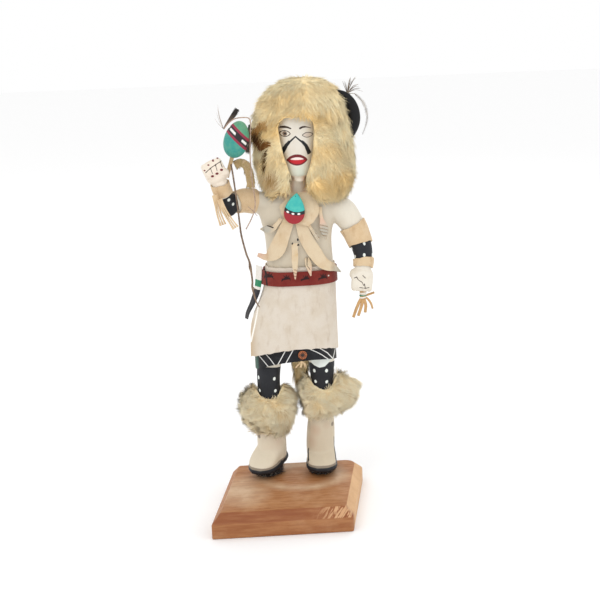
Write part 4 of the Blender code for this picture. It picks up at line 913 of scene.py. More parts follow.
# %% Marks of the face
def face_marks(points):
    """The colours of the face, and the painted shade between the bib's ends on the chest, as distances to their
    strokes. Places are across and up, in mm.
    """
    spots = points[:, [0, 2]] / MM
    front = (points[:, 1] < 0.024) & (points[:, 2] > 0.340) & (points[:, 2] < 0.415)
    front &= (points[:, 0] > -0.010) & (points[:, 0] < 0.048)
    black = both(
        stroke(spots, ((18.8, 392.0), (15.0, 388.6), (11.6, 385.6)), 1.3, 2.0),
        flat_stroke(spots, ((12.4, 386.6), (9.4, 383.0), (4.7, 374.7)), 2.8, 4.5),
        stroke(spots, ((18.8, 392.0), (22.4, 388.6), (26.3, 385.4)), 1.3, 2.0),
        flat_stroke(spots, ((25.6, 386.4), (29.2, 382.2), (32.6, 373.8)), 2.8, 4.5),
        dab(spots, (8.6, 394.9), 1.0, 1.0),
    )
    # The three dark dabs on the chest are painted shade: the dark that shows in the gaps between the bib's ends.
    gap_shade = both(
        dab(spots, (18.0, 284.8), 0.9, 2.0), dab(spots, (18.2, 279.4), 1.7, 1.0), dab(spots, (12.3, 280.6), 1.1, 1.6)
    )
    gap_shade = only_where(gap_shade, points[:, 1] < 0.040)
    brown = both(
        stroke(spots, ((1.8, 399.9), (5.0, 401.2), (8.3, 401.5)), 1.2, 2.4),
        stroke(spots, ((8.3, 401.5), (11.2, 401.2), (14.4, 399.9)), 2.4, 1.3),
        stroke(spots, ((23.6, 399.8), (26.2, 401.0), (28.5, 401.1)), 1.9, 1.7),
        stroke(spots, ((28.5, 401.1), (32.0, 400.4), (35.0, 399.2)), 1.3, 0.6),
        np.abs(almond(spots, (8.4, 394.9), 5.4, 2.9)) - 0.42,
        np.abs(almond(spots, (31.2, 393.0), 5.5, 2.4)) - 0.34,
    )
    iris = dab(spots, (8.4, 394.9), 2.3, 2.3)
    faded = almond(spots, (31.2, 393.0), 4.6, 1.8)
    maroon = lips(spots, (19.7, 368.0), 10.6, 6.2, 5.2)
    red = lips(spots, (19.8, 368.0), 8.8, 0.7, 3.6)
    pale = lips(spots, (19.6, 369.0), 7.2, 2.2, 0.5)
    return {
        "black": both(only_where(black, front), gap_shade),
        "brown": only_where(brown, front),
        "iris": only_where(iris, front),
        "faded": only_where(faded, front),
        "maroon": only_where(maroon, front),
        "red": only_where(red, front),
        "pale": only_where(pale, front),
    }


def flat_stroke(spots, line, width, end_width):
    """A stroke that widens and is cut off straight where it ends."""
    last, before = np.array(line[-1], float), np.array(line[-2], float)
    ahead = (last - before) / np.linalg.norm(last - before)
    return np.maximum(stroke(spots, line, width, end_width), (spots - last) @ ahead)


def almond(spots, middle, half_width, half_height):
    """Distance to an almond: the overlap of two round arcs."""
    x, y = (spots - np.asarray(middle, float)).T
    radius = (half_width**2 + half_height**2) / (2 * half_height)
    drop = radius - half_height
    return np.maximum(np.hypot(x, y + drop), np.hypot(x, y - drop)) - radius


def lips(spots, middle, half_width, above, below):
    """Distance to a pair of lips: one arc over the middle line and another under it."""
    x, y = (spots - np.asarray(middle, float)).T
    upper_radius = (half_width**2 + above**2) / (2 * above)
    lower_radius = (half_width**2 + below**2) / (2 * below)
    upper = np.hypot(x, y + upper_radius - above) - upper_radius
    lower = np.hypot(x, y - lower_radius + below) - lower_radius
    return np.maximum(upper, lower)


print("face marks ready")

# %% Marks of the limbs
def round_limb(points, rows):
    """How far each point lies round a limb, along it and off its skin, in mm, and its nearest share."""
    line, radii = limb_line(rows, 60)
    first, second = frames_along(line)
    lengths = np.concatenate([[0.0], np.cumsum(np.linalg.norm(np.diff(line, axis=0), axis=1))])
    nearest = np.argmin(np.linalg.norm(points[:, None] - line[None], axis=2), axis=1)
    away = points - line[nearest]
    tangent = unit(np.gradient(line, axis=0))[nearest]
    along = lengths[nearest] + np.einsum("ij,ij->i", away, tangent)
    angle = np.arctan2(away[:, 0], -away[:, 1])
    off = np.linalg.norm(away, axis=1) - radii[nearest]
    return angle, along / MM, off / MM, radii[nearest] / MM


def limb_band(points, rows, start, end):
    """Distance to a painted band between two places along a limb, in mm, and where the limb's skin is."""
    reach = np.zeros(len(points), bool)
    line, radii = limb_line(rows, 60)
    low, high = line.min(axis=0) - radii.max() * 1.4, line.max(axis=0) + radii.max() * 1.4
    reach[np.all((points > low) & (points < high), axis=1)] = True
    band = np.full(len(points), FAR)
    angle, along, off, radius = round_limb(points[reach], rows)
    middle, half = (start + end) / 2, (end - start) / 2
    flat = np.maximum(np.abs(along - middle) - half, off - 2.2)
    band[reach] = flat
    return band, reach, angle, along, radius


def spots_round(angle, along, radius, rows_of_spots, half_width, half_height):
    """Distance to rows of spots round a limb. A row is its place along, its first angle and its count."""
    nearest = np.full(len(angle), FAR)
    for place, first, count in rows_of_spots:
        step = 2 * math.pi / count
        turned = (angle - math.radians(first) + step / 2) % step - step / 2
        x, y = turned * radius / half_width, (along - place) / half_height
        nearest = np.minimum(nearest, (np.hypot(x, y) - 1.0) * min(half_width, half_height))
    return nearest


# Start and end of each black band along its limb in mm, then its rows of white spots:
# the place along, the angle of the first spot from the front, and how many go round
BLACK_BANDS = {
    "lowered_forearm": (LOWERED_ARM_ROWS, 55.0, 82.0, ((62.0, 12.0, 4), (73.5, 0.0, 5)), 1.5, 2.1),
    "raised_forearm": (RAISED_FOREARM_ROWS, 0.0, 24.0, ((13.8, -50.0, 4), (20.5, 25.0, 4)), 1.6, 1.6),
    "still_knee": (STILL_LEG_ROWS, 32.0, 84.0, ((39.8, -42.0, 6), (51.6, -40.0, 6)), 1.7, 1.9),
    "stepping_knee": (STEPPING_LEG_ROWS, 35.0, 84.0, ((46.4, -62.0, 4), (60.0, -58.0, 4)), 1.7, 1.9),
}


def band_marks(points):
    black = np.full(len(points), FAR)
    white = np.full(len(points), FAR)
    for name, (rows, start, end, spot_rows, half_width, half_height) in BLACK_BANDS.items():
        band, reach, angle, along, radius = limb_band(points, rows, start, end)
        black = np.minimum(black, band)
        dots = spots_round(angle, along, radius, spot_rows, half_width, half_height)
        white[reach] = np.minimum(white[reach], np.where(band[reach] < 0.5, dots, FAR))
        print(name, "band from", start, "to", end, "mm along the limb")
    spots = points[:, [0, 2]] / MM
    thigh = patch(spots, ((22.0, 162.0), (23.5, 152.4), *THIGH_EDGE, (51.0, 154.5), (54.0, 162.0)))
    white = np.minimum(white, only_where(thigh, (points[:, 1] < 0.034) & (points[:, 2] > 0.14)))
    return black, white


THIGH_EDGE = ((25.6, 151.8), (30.5, 147.7), (36.0, 145.4), (42.1, 146.5), (48.8, 152.6))


def hand_marks(points):
    """Dark red nails and the brown lines between the fingers, on both fists. Places are in mm."""
    spots = points[:, [0, 2]] / MM
    raised = (points[:, 1] < 0.016) & (points[:, 2] > 0.345) & (points[:, 0] < -0.040)
    lowered = (points[:, 1] < 0.024) & (points[:, 2] < 0.252) & (points[:, 0] > 0.066)
    lowered &= points[:, 2] > 0.215
    nails = [dab(spots, middle, 1.6, 1.3) for middle in RAISED_NAILS]
    nails = both(*nails, *[dab(spots, middle, 1.1, 0.7) for middle in RAISED_KNUCKLES])
    nails = only_where(nails, raised)
    seams = both(*[stroke(spots, line, 0.75) for line in RAISED_SEAMS])
    seams = only_where(seams, raised)
    lower_seams = both(*[stroke(spots, line, 0.8) for line in LOWERED_SEAMS])
    return nails, np.minimum(seams, only_where(lower_seams, lowered))


RAISED_NAILS = ((-65.7, 358.3), (-61.1, 360.7), (-56.4, 364.4), (-52.6, 367.9))
RAISED_KNUCKLES = ((-73.2, 364.6), (-69.1, 369.6), (-64.4, 373.2), (-59.9, 375.6), (-56.0, 378.2))
RAISED_SEAMS = (
    ((-72.3, 362.4), (-67.3, 366.6), (-62.0, 369.8), (-55.0, 373.8)),
    ((-67.3, 367.0), (-65.6, 361.2)),
    ((-62.2, 370.0), (-60.8, 363.6)),
    ((-57.4, 372.6), (-55.6, 367.0)),
)
LOWERED_SEAMS = (
    ((73.9, 244.1), (76.7, 244.8), (77.9, 242.4), (81.7, 239.9), (83.2, 236.5)),
    ((85.4, 243.7), (83.0, 246.0)),
    ((79.0, 234.4), (84.9, 233.4), (88.6, 234.4)),
    ((84.0, 238.4), (84.8, 233.8)),
)
print("limb marks ready")

# %% Marks of the boots
def boot_marks(points):
    """The dark rim of each sole, the grey welt above it, and the seam up each side of the heel."""
    dark = np.full(len(points), FAR)
    grey = np.full(len(points), FAR)
    for name, foot in FEET.items():
        local = placed(points, np.array(foot_frame(foot).inverted()))
        x, along, up = local[:, 0] / MM, -local[:, 1] / MM, local[:, 2] / MM
        near_foot = (np.abs(x) < 24) & (along > -6) & (along < 60) & (up < 34) & (up > -3)
        rim = up - 4.9 - 0.6 * np.clip(1 - along / 30.0, 0, 1)
        seam = both(
            stroke(np.stack([along, up], 1), ((14.0, 4.0), (12.0, 14.0), (13.0, 27.0)), 0.9, 0.5),
            stroke(np.stack([along, up], 1), ((26.0, 5.0), (14.0, 12.0)), 0.6, 0.3),
        )
        seam = np.where(np.abs(x) > 7.0, seam, FAR)
        dark = np.minimum(dark, np.where(near_foot, np.minimum(rim, seam), FAR))
        grey = np.minimum(grey, np.where(near_foot, rim - 2.1, FAR))
    spots = points[:, [0, 2]] / MM
    low_front = (points[:, 2] < 0.095) & (points[:, 1] < 0.042)
    seams = both(
        stroke(spots, ((21.2, 37.0), (21.4, 45.0), (22.6, 52.0)), 1.5, 0.7),
        stroke(spots, ((50.8, 37.0), (50.6, 48.0), (50.2, 63.0)), 1.5, 0.6),
    )
    dark = np.minimum(dark, only_where(seams, low_front & (points[:, 1] > 0.022)))
    grey = np.minimum(grey, only_where(dab(spots, (-30.2, 68.5), 1.5, 2.4), low_front))
    grey = np.minimum(grey, only_where(dab(spots, (48.8, 78.5), 1.5, 2.4), low_front))
    return dark, grey


print("boot marks ready")

# %% Ground colours of the figure
# Rusty stains on the standing boot and the stepping one: middle, radius and strength
STAINS = (
    ((0.0295, 0.0300, 0.0740), 0.0080, 0.50),
    ((0.0250, 0.0320, 0.0610), 0.0090, 0.42),
    ((0.0420, 0.0300, 0.0790), 0.0055, 0.30),
    ((-0.0100, 0.0300, 0.0640), 0.0070, 0.32),
)


def figure_ground(points):
    """The paint over the wood: white on the body, warmer on the hands, greenish on the chin, and painted light and
    shade on the neck.
    """
    ground = np.tile(np.array(tone(226, 220, 206)), (len(points), 1))
    ground = blend_colour(ground, tone(236, 222, 205), near(points, figure_point(-17.6, -7.6, 82.5), 0.022) * 1.6)
    ground = blend_colour(ground, tone(232, 224, 210), near(points, figure_point(18.9, -4.8, 51.5), 0.018) * 1.6)
    ground = blend_colour(ground, tone(222, 216, 206), near(points, (0.0200, 0.014, 0.384), 0.030))
    ground = blend_colour(ground, tone(214, 221, 206), near(points, (0.0215, 0.014, 0.356), 0.012))
    # The neck is lighter in its middle, painted light against the shade of the head and hood, and brown at its sides,
    # painted shade under the hood.
    neck_light_and_shade = np.clip((0.3525 - points[:, 2]) / 0.0015, 0.0, 1.0) * np.clip((points[:, 2] - 0.322) / 0.006, 0.0, 1.0)
    neck_light_and_shade *= (points[:, 1] > 0.0165) * np.clip((0.018 - np.abs(points[:, 0] - 0.0205)) / 0.004, 0.0, 1.0)
    ground = blend_colour(ground, tone(246, 236, 220), neck_light_and_shade)
    left = np.clip((0.0175 - points[:, 0]) / 0.004, 0.0, 1.0)
    ground = blend_colour(ground, tone(204, 158, 126), neck_light_and_shade * left * 0.9)
    right = np.clip((points[:, 0] - 0.0225) / 0.004, 0.0, 1.0)
    ground = blend_colour(ground, tone(220, 184, 156), neck_light_and_shade * right * 0.8)
    boots = np.clip((0.092 - points[:, 2]) / 0.008, 0.0, 1.0)
    ground = blend_colour(ground, tone(216, 204, 182), boots)
    ground = blend_colour(ground, tone(204, 190, 166), boots * (points[:, 0] > 0.012) * 0.9)
    for middle, radius, share in STAINS:
        ground = blend_colour(ground, tone(192, 156, 130), near(points, middle, radius) * share)
    chest = np.clip((points[:, 2] - 0.225) / 0.01, 0.0, 1.0) * np.clip((0.332 - points[:, 2]) / 0.012, 0.0, 1.0)
    chest *= np.clip((points[:, 0] + 0.034) / 0.016, 0.0, 1.0) * np.clip((0.076 - points[:, 0]) / 0.034, 0.0, 1.0)
    ground = blend_colour(ground, tone(206, 194, 172), chest * 0.85)
    return ground


def paint_figure(mesh):
    points = points_of(mesh)
    face = face_marks(points)
    bands, dots = band_marks(points)
    nails, seams = hand_marks(points)
    sole, welt = boot_marks(points)
    spots = points[:, [0, 2]] / MM
    # black_paint also carries the painted shade that shows between the bib's ends.
    set_paint(mesh, "black_paint", both(face["black"], bands, sole))
    set_paint(mesh, "brown_paint", both(face["brown"], seams))
    set_paint(mesh, "iris_paint", face["iris"])
    set_paint(mesh, "maroon_paint", both(face["maroon"], nails))
    set_paint(mesh, "red_paint", face["red"])
    set_paint(mesh, "pale_paint", face["pale"])
    set_paint(mesh, "white_spots", dots)
    set_paint(mesh, "grey_paint", welt)
    set_paint(mesh, "faded_paint", face["faded"])
    set_colour(mesh, "ground", figure_ground(points))


paint_figure(figure_mesh)
print("marks on the figure:", len(figure_mesh.attributes))

# %% [markdown]
# ### Worn white paint
# The ground is a thin casein white over a gesso, brushed on by hand. It has a faint streak where the brush
# went, warm stains where hands and fur have touched it, and small chips at the edges of the black bands.

# %% Paint of the figure
def figure_paint():
    coat = Coat("painted_wood_finish", 0.55, Specular_IOR_Level=0.35)
    streaks = coat.noise(0.004, 4.0, 0.6, coat.stretched(1.0, 1.0, 0.25))
    clouds = coat.noise(0.022, 3.0)
    specks = coat.noise(0.0009, 2.0, 0.7)
    colour = coat.mix(coat.ramp(clouds, 0.42, 0.75, 0.0, 0.30), coat.painted("ground"), tone(222, 208, 184))
    colour = coat.mix(coat.ramp(streaks, 0.35, 0.62, 0.10, 0.0), colour, tone(196, 182, 160))
    colour = coat.mix(coat.ramp(specks, 0.70, 0.80, 0.0, 0.30), colour, tone(150, 128, 100))
    colour = coat.mix(coat.brushed("grey_paint", 0.3, 0.5), colour, tone(138, 126, 110))
    black = coat.mix(coat.ramp(specks, 0.62, 0.80, 0.0, 0.35), tone(26, 28, 34), tone(120, 118, 118))
    lips = coat.mix(coat.ramp(specks, 0.4, 0.8, 0.0, 0.4), tone(196, 34, 44), tone(150, 20, 30))
    layers = (
        ("maroon_paint", tone(112, 30, 36)),
        ("red_paint", lips),
        ("pale_paint", tone(246, 226, 220)),
        ("iris_paint", tone(128, 108, 92)),
        ("faded_paint", tone(212, 198, 186)),
        ("brown_paint", tone(56, 38, 28)),
        ("black_paint", black),
        ("white_spots", tone(232, 238, 232)),
    )
    for mark, paint in layers:
        colour = coat.mix(coat.brushed(mark), colour, paint)
    coat.colour(colour)
    coat.roughness(coat.ramp(clouds, 0.3, 0.7, 0.45, 0.65))
    coat.relief(coat.sum(streaks, specks, 0.5), 0.00035, 0.5)
    return coat.material


carved_figure = add_piece("carved_figure_painted", figure_mesh, figure_paint())
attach(carved_figure, "root")
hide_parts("carved_figure")
print("carved figure:", triangles_in(figure_mesh), "triangles")

# %% [markdown]
# ## Fur
# The hood, the anklets and the pelt are real fur. Hair systems would be lost with the scene, so each strand
# is a small closed blade of mesh that tapers to a point. Strands grow from an undercoat, lean with the comb,
# and are drawn together in locks, which is what gives fur its soft clumps.

# %% Helpers for fur
UNDERCOAT_VOXEL = 0.0021


def surface_of(mesh):
    """The corners and the outward normals of a mesh's triangles."""
    mesh.calc_loop_triangles()
    faces = np.empty(len(mesh.loop_triangles) * 3, np.int32)
    mesh.loop_triangles.foreach_get("vertices", faces)
    corners = points_of(mesh)[faces.reshape(-1, 3)]
    normals = unit(np.cross(corners[:, 1] - corners[:, 0], corners[:, 2] - corners[:, 0]))
    return corners, normals


def scattered(mesh, count, chance, wanted):
    """Random places on the parts of a mesh that are wanted, and the normals there."""
    corners, normals = surface_of(mesh)
    middles = corners.mean(axis=1)
    areas = np.linalg.norm(np.cross(corners[:, 1] - corners[:, 0], corners[:, 2] - corners[:, 0]), axis=1)
    weights = areas * wanted(middles, normals)
    picked = chance.choice(len(corners), size=count, p=weights / weights.sum())
    a, b = chance.random((2, count, 1))
    over = a + b > 1
    a, b = np.where(over, 1 - a, a), np.where(over, 1 - b, b)
    chosen = corners[picked]
    places = chosen[:, 0] + a * (chosen[:, 1] - chosen[:, 0]) + b * (chosen[:, 2] - chosen[:, 0])
    return places, normals[picked]


def undercoat(name, node, sink, wanted_out, voxel=UNDERCOAT_VOXEL, ruffle=0.0007):
    """The dense fur under the long hair: the construction's form, sunk a little, lumpy and ruffled."""
    shape = bmesh.new()
    shape.from_mesh(nodes[node].data)
    bmesh.ops.remove_doubles(shape, verts=shape.verts, dist=1e-5)
    mesh = bpy.data.meshes.new(name)
    shape.to_mesh(mesh)
    shape.free()
    mesh = with_modifier(name, mesh, "REMESH", mode="VOXEL", voxel_size=voxel, use_smooth_shade=True)
    mesh = with_modifier(name, mesh, "SMOOTH", factor=0.5, iterations=5)
    points, normals = points_of(mesh), normals_of(mesh)
    out = wanted_out(points, normals)
    lumps = drift(points, 0.011, 4)[:, 0] * 0.6 + drift(points, 0.004, 6)[:, 0] * 0.35
    points += normals * (out * (lumps * ruffle - sink))[:, None]
    move_points(mesh, points)
    return mesh


def drift(points, size, seed):
    """A gentle wandering direction at each place, which turns over about the size given."""
    chance = np.random.default_rng(seed)
    total = np.zeros_like(points)
    for _ in range(5):
        wave = chance.normal(size=3) / size
        total += np.sin(points @ wave + chance.random() * 6.28)[:, None] * chance.normal(size=3)
    return total / 3.0


def strands(name, roots, aims, bends, lengths, widths, rings=2):
    """Closed, tapering, three-sided blades of hair. Each leaves its root along its aim and bends on the way."""
    count = len(roots)
    steps = np.linspace(0.0, 1.0, rings + 1)
    sideways = unit(np.cross(aims, np.where(np.abs(aims[:, 2:]) > 0.9, (1.0, 0.0, 0.0), (0.0, 0.0, 1.0))))
    upward = np.cross(aims, sideways)
    points = np.empty((count, rings * 3 + 1, 3))
    for ring in range(rings + 1):
        t = steps[ring]
        middle = roots + lengths[:, None] * (aims * t + bends * t * t)
        if ring == rings:
            points[:, -1] = middle
            break
        wide = widths * (1.0 - 0.45 * t)
        for side in range(3):
            angle = side * 2 * math.pi / 3
            around = math.cos(angle) * sideways + math.sin(angle) * upward
            points[:, ring * 3 + side] = middle + around * wide[:, None]
    faces = [(0, 2, 1)]
    for ring in range(rings - 1):
        for side in range(3):
            nxt = (side + 1) % 3
            a, b = ring * 3 + side, ring * 3 + nxt
            faces += [(a, b, b + 3), (a, b + 3, a + 3)]
    top = (rings - 1) * 3
    faces += [(top + side, top + (side + 1) % 3, rings * 3) for side in range(3)]
    each = rings * 3 + 1
    all_faces = (np.array(faces)[None] + (np.arange(count) * each)[:, None, None]).reshape(-1, 3)
    mesh = mesh_of(name, points.reshape(-1, 3), all_faces)
    share = np.concatenate([np.repeat(steps[:-1], 3), [1.0]])
    return mesh, np.tile(share, count), each


def drawn_into_locks(roots, reach, lock_every, chance, pull):
    """Draws the ends of nearby strands together: each lock leads the strands round its own root."""
    leaders = chance.choice(len(roots), size=max(1, len(roots) // lock_every), replace=False)
    tree = kdtree.KDTree(len(leaders))
    for number, leader in enumerate(leaders):
        tree.insert(roots[leader], number)
    tree.balance()
    nearest = np.array([tree.find(root)[1] for root in roots])
    lead = leaders[nearest]
    ends = roots + reach
    return ends * (1 - pull) + (roots[lead] + reach[lead]) * pull - roots


def soften(mesh, normals, each, share):
    """Turns the shading of each blade towards the skin it grows from, so that a coat is lit as one soft form."""
    own = normals_of(mesh)
    turned = unit(own * (1 - share) + np.repeat(normals, each, axis=0) * share)
    mesh.normals_split_custom_set_from_vertices(turned.tolist())


# Light goes through loose fur, so its shading leans upwards, and in front towards the viewer as well
LEAN = np.array((0.06, 0.0, 0.55))
FRONT_LEAN = np.array((0.06, -0.50, 0.0))


def comb_fur(name, base, count, seed, wanted, comb, length, width, lift, pull, colours, rings=2, lock_every=22):
    """A coat of fur on a base mesh. comb gives the lie of the hair, and colours its root and tip colours."""
    chance = np.random.default_rng(seed)
    roots, normals = scattered(base, count, chance, wanted)
    lie = comb(roots, normals)
    lie = unit(lie - normals * np.einsum("ij,ij->i", lie, normals)[:, None])
    lengths = length(roots) * chance.uniform(0.65, 1.15, count)
    aims = unit(normals * lift + lie * (1 - lift) + chance.normal(scale=0.16, size=(count, 3)))
    bends = lie * 0.45 + chance.normal(scale=0.10, size=(count, 3)) - np.array((0.0, 0.0, 0.10))
    reach = (aims + bends) * lengths[:, None]
    drawn = drawn_into_locks(roots, reach, lock_every, chance, pull)
    bends = drawn / lengths[:, None] - aims
    bends *= np.minimum(1.0, 1.1 / np.linalg.norm(bends, axis=1))[:, None]
    mesh, share, each = strands(name, roots, aims, bends, lengths, width * chance.uniform(0.7, 1.2, count), rings)
    root_colour, tip_colour = colours(roots, chance)
    share = share[:, None]
    shades = np.repeat(root_colour, each, axis=0) * (1 - share) + np.repeat(tip_colour, each, axis=0) * share
    set_colour(mesh, "hair", np.clip(shades * np.repeat(chance.uniform(0.93, 1.04, count), each)[:, None], 0, 1))
    facing = np.clip(0.4 - normals[:, 1:2], 0.0, 1.0)
    soften(mesh, unit(normals + LEAN + FRONT_LEAN * facing), each, 0.92)
    return mesh


def fur_finish(name):
    coat = Coat(name, 0.8, Specular_IOR_Level=0.12, Sheen_Weight=0.08, Sheen_Roughness=0.5)
    coat.shader.inputs["Sheen Tint"].default_value = (*tone(255, 240, 214), 1.0)
    soft = coat.noise(0.009, 3.0, 0.5, coat.stretched(1.8, 1.8, 0.8))
    fine = coat.noise(0.0012, 2.0, 0.6)
    colour = coat.mix(coat.ramp(soft, 0.44, 0.72, 0.0, 0.22), coat.painted("hair"), tone(240, 196, 120))
    coat.colour(colour)
    coat.relief(fine, 0.0004, 0.6)
    return coat.material


fur_material = fur_finish("tan_fur_finish")
print("fur helpers ready")

# %% [markdown]
# ## The hood
# A whole piece of long sheepskin covers the head and falls over the shoulders, open only at the face. Its hair
# is pale at the tips, golden deeper down, and brown near the ear. It parts round the horn and the face.

# %% Undercoat of the hood
HOOD_MIDDLE = figure_point(5.4, 2.0, 86.0)
HOOD_CROWN = figure_point(5.8, 2.2, 103.8)
FACE_MIDDLE = figure_point(2.9, -6.5, 88.0)
EAR_TUFTS = (
    (figure_point(-6.9, -1.8, 91.2), 0.0060, tone(120, 74, 36)),
    (figure_point(-6.7, -2.4, 90.2), 0.0062, tone(70, 36, 14)),
    (figure_point(-5.8, -4.0, 88.8), 0.0046, tone(104, 62, 28)),
    (figure_point(-4.9, -5.0, 88.5), 0.0046, tone(98, 58, 26)),
    (figure_point(-4.1, -5.6, 88.0), 0.0040, tone(122, 76, 36)),
    (figure_point(-5.9, -3.9, 92.6), 0.0042, tone(176, 124, 68)),
    (figure_point(-4.6, -4.8, 93.3), 0.0036, tone(204, 158, 98)),
)
PARTING = [figure_point(-4.75 - 0.04 * k, -5.2 + 0.085 * k, 86.6 - 0.33 * k) for k in range(15)]
LOBE_LEFT = figure_point(-3.6, -5.4, 79.0)


SEEN = np.array((1.0, 0.35, 1.0))


def seen_near(points, middle, radius):
    """Nearness to a place seen from the front, where the depth matters less."""
    return near(points * SEEN, np.array(middle) * SEEN, radius)


def hood_outside(points, normals):
    """One on the outer side of the hood, nought on the sides of the face opening and inside it."""
    away = unit((points - HOOD_MIDDLE) * np.array((1.0, 1.0, 0.75)))
    return np.clip(np.einsum("ij,ij->i", away, normals) * 4.0 - 0.4, 0.0, 1.0)


def hood_haired(points, normals):
    """Where hair grows: the outer side, and the front lip of the face opening."""
    lip = np.clip((0.0125 - points[:, 1]) / 0.003, 0.0, 1.0) * (normals[:, 1] < 0.1) * 0.9
    return np.maximum(hood_outside(points, normals), lip)


hood_base = undercoat("fur_hood_undercoat", "fur_hood", 0.0016, hood_outside)


def hood_colours(roots, chance):
    count = len(roots)
    root = np.tile(np.array(tone(255, 230, 178)), (count, 1))
    tip = np.tile(np.array(tone(255, 242, 204)), (count, 1))
    patches = np.clip(drift(roots * np.array((0.6, 0.6, 1.5)), 0.013, 5)[:, :1] * 0.9 + 0.15, 0.0, 1.0)
    root = root * (1 - patches * 0.7) + np.array(tone(240, 192, 112)) * patches * 0.7
    tip = tip * (1 - patches * 0.7) + np.array(tone(250, 212, 142)) * patches * 0.7
    slit = np.min([np.linalg.norm((roots - place) * SEEN, axis=1) for place in PARTING], axis=0)
    slit = np.clip(1.7 - slit / 0.0017, 0.0, 1.0)[:, None] * 0.9
    root = root * (1 - slit) + np.array(tone(104, 72, 30)) * slit
    tip = tip * (1 - slit) + np.array(tone(120, 84, 36)) * slit
    for middle, radius, brown in (*EAR_TUFTS, (LOBE_LEFT, 0.012, tone(186, 134, 62))):
        share = seen_near(roots, middle, radius) * chance.uniform(0.6, 1.4, count)
        root = blend_colour(root, brown, share)
        tip = blend_colour(tip, brown, share * 0.85)
    return root, tip


def plain_hair(mesh, colours, seed, haired=None):
    """Colours an undercoat as its hair, darkened as painted shade where no hair grows, such as inside the hood's face
    opening.
    """
    root, tip = colours(points_of(mesh), np.random.default_rng(seed))
    unshaded = 1.0 if haired is None else haired(points_of(mesh), normals_of(mesh))[:, None]
    set_colour(mesh, "hair", (root + tip) / 2 * (0.62 + 0.34 * unshaded))


# The undercoat inside the face opening is darkened: painted shade.
plain_hair(hood_base, hood_colours, 3, hood_outside)
print("hood undercoat:", triangles_in(hood_base), "triangles")

# %% Hair of the hood
def hood_comb(points, normals):
    """The hair falls from the crown and away from the face, with a soft wander."""
    from_crown = points - HOOD_CROWN
    from_crown[:, 2] -= 0.020
    sideways = np.zeros_like(points)
    sideways[:, 0] = np.tanh((points[:, 0] - HOOD_MIDDLE[0]) / 0.020)
    from_face = points - FACE_MIDDLE
    from_face[:, 1] *= 0.3
    parted = near(points, FACE_MIDDLE, 0.036)[:, None] * 2.4
    return unit(from_crown) + sideways * 0.35 + unit(from_face) * parted + drift(points, 0.007, 11) * 1.3


def hood_length(points):
    """Shorter round the face, longest at the sides and the back."""
    return 0.0072 - 0.0036 * near(points, FACE_MIDDLE, 0.040)


def hood_long_length(points):
    return hood_length(points) * 1.12


hood_short = comb_fur(
    "fur_hood_hair", hood_base, 15500, 21, hood_haired, hood_comb, hood_length,
    0.00044, 0.12, 0.30, hood_colours,
)
hood_long = comb_fur(
    "fur_hood_guard_hair", hood_base, 8000, 22, hood_haired, hood_comb, hood_long_length,
    0.00020, 0.34, 0.30, hood_colours, 2, 24,
)


def tufts_grow(points, normals):
    tufts = np.max([seen_near(points, middle, radius) for middle, radius, _ in EAR_TUFTS], axis=0)
    return tufts**1.5 * hood_outside(points, normals)


def tuft_colours(roots, chance):
    colour = np.tile(np.array(tone(214, 168, 104)), (len(roots), 1))
    for middle, radius, brown in EAR_TUFTS:
        share = seen_near(roots, middle, radius * 1.3) * chance.uniform(1.2, 2.4, len(roots))
        colour = blend_colour(colour, brown, share)
    return colour * 0.9, colour


def parting_grows(points, normals):
    away = np.min([np.linalg.norm((points - place) * SEEN, axis=1) for place in PARTING], axis=0)
    return np.clip(1.2 - away / 0.0011, 0.0, 1.0) * (points[:, 1] < 0.040)


def parting_colours(roots, chance):
    return np.tile(np.array(tone(76, 50, 22)), (len(roots), 1)), np.tile(np.array(tone(104, 72, 34)), (len(roots), 1))


hood_tufts = comb_fur(
    "fur_hood_ear_tufts", hood_base, 620, 23, tufts_grow, hood_comb, lambda points: np.full(len(points), 0.0075),
    0.00036, 0.42, 0.45, tuft_colours, 2, 14,
)
hood_parting = comb_fur(
    "fur_hood_parting", hood_base, 120, 24, parting_grows, lambda points, normals: np.tile((0.0, 0.0, -1.0), (len(points), 1)),
    lambda points: np.full(len(points), 0.0044), 0.00028, 0.46, 0.5, parting_colours, 2, 12,
)
for name, mesh in (
    ("fur_hood_undercoat", hood_base),
    ("fur_hood_hair", hood_short),
    ("fur_hood_guard_hair", hood_long),
    ("fur_hood_ear_tufts", hood_tufts),
    ("fur_hood_parting", hood_parting),
):
    piece = add_piece(name, mesh, fur_material)
    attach(piece, "root")
    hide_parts("fur_hood")
    print(name, triangles_in(mesh), "triangles")

# %% [markdown]
# ## The anklets
# A ring of long goat or sheep hair is tied above each boot. It stands out sideways and falls over the boot in
# thin wisps, so its hair is longer and looser than the hood's and is hardly drawn into locks.

# %% Anklets
ANKLETS = {
    "anklet_still": (figure_point(9.0, 0.4, 19.5), figure_point(7.6, 0.2, 18.5)),
    "anklet_stepping": (figure_point(-6.5, 0.3, 16.5), figure_point(-6.3, 0.2, 15.5)),
}


def anklet_colours(roots, chance):
    count = len(roots)
    root = np.tile(np.array(tone(246, 222, 172)), (count, 1))
    tip = np.tile(np.array(tone(255, 244, 214)), (count, 1))
    patches = np.clip(drift(roots, 0.012, 8)[:, :1] + 0.1, 0.0, 1.0)
    root = root * (1 - patches * 0.6) + np.array(tone(222, 184, 120)) * patches * 0.6
    return root, tip


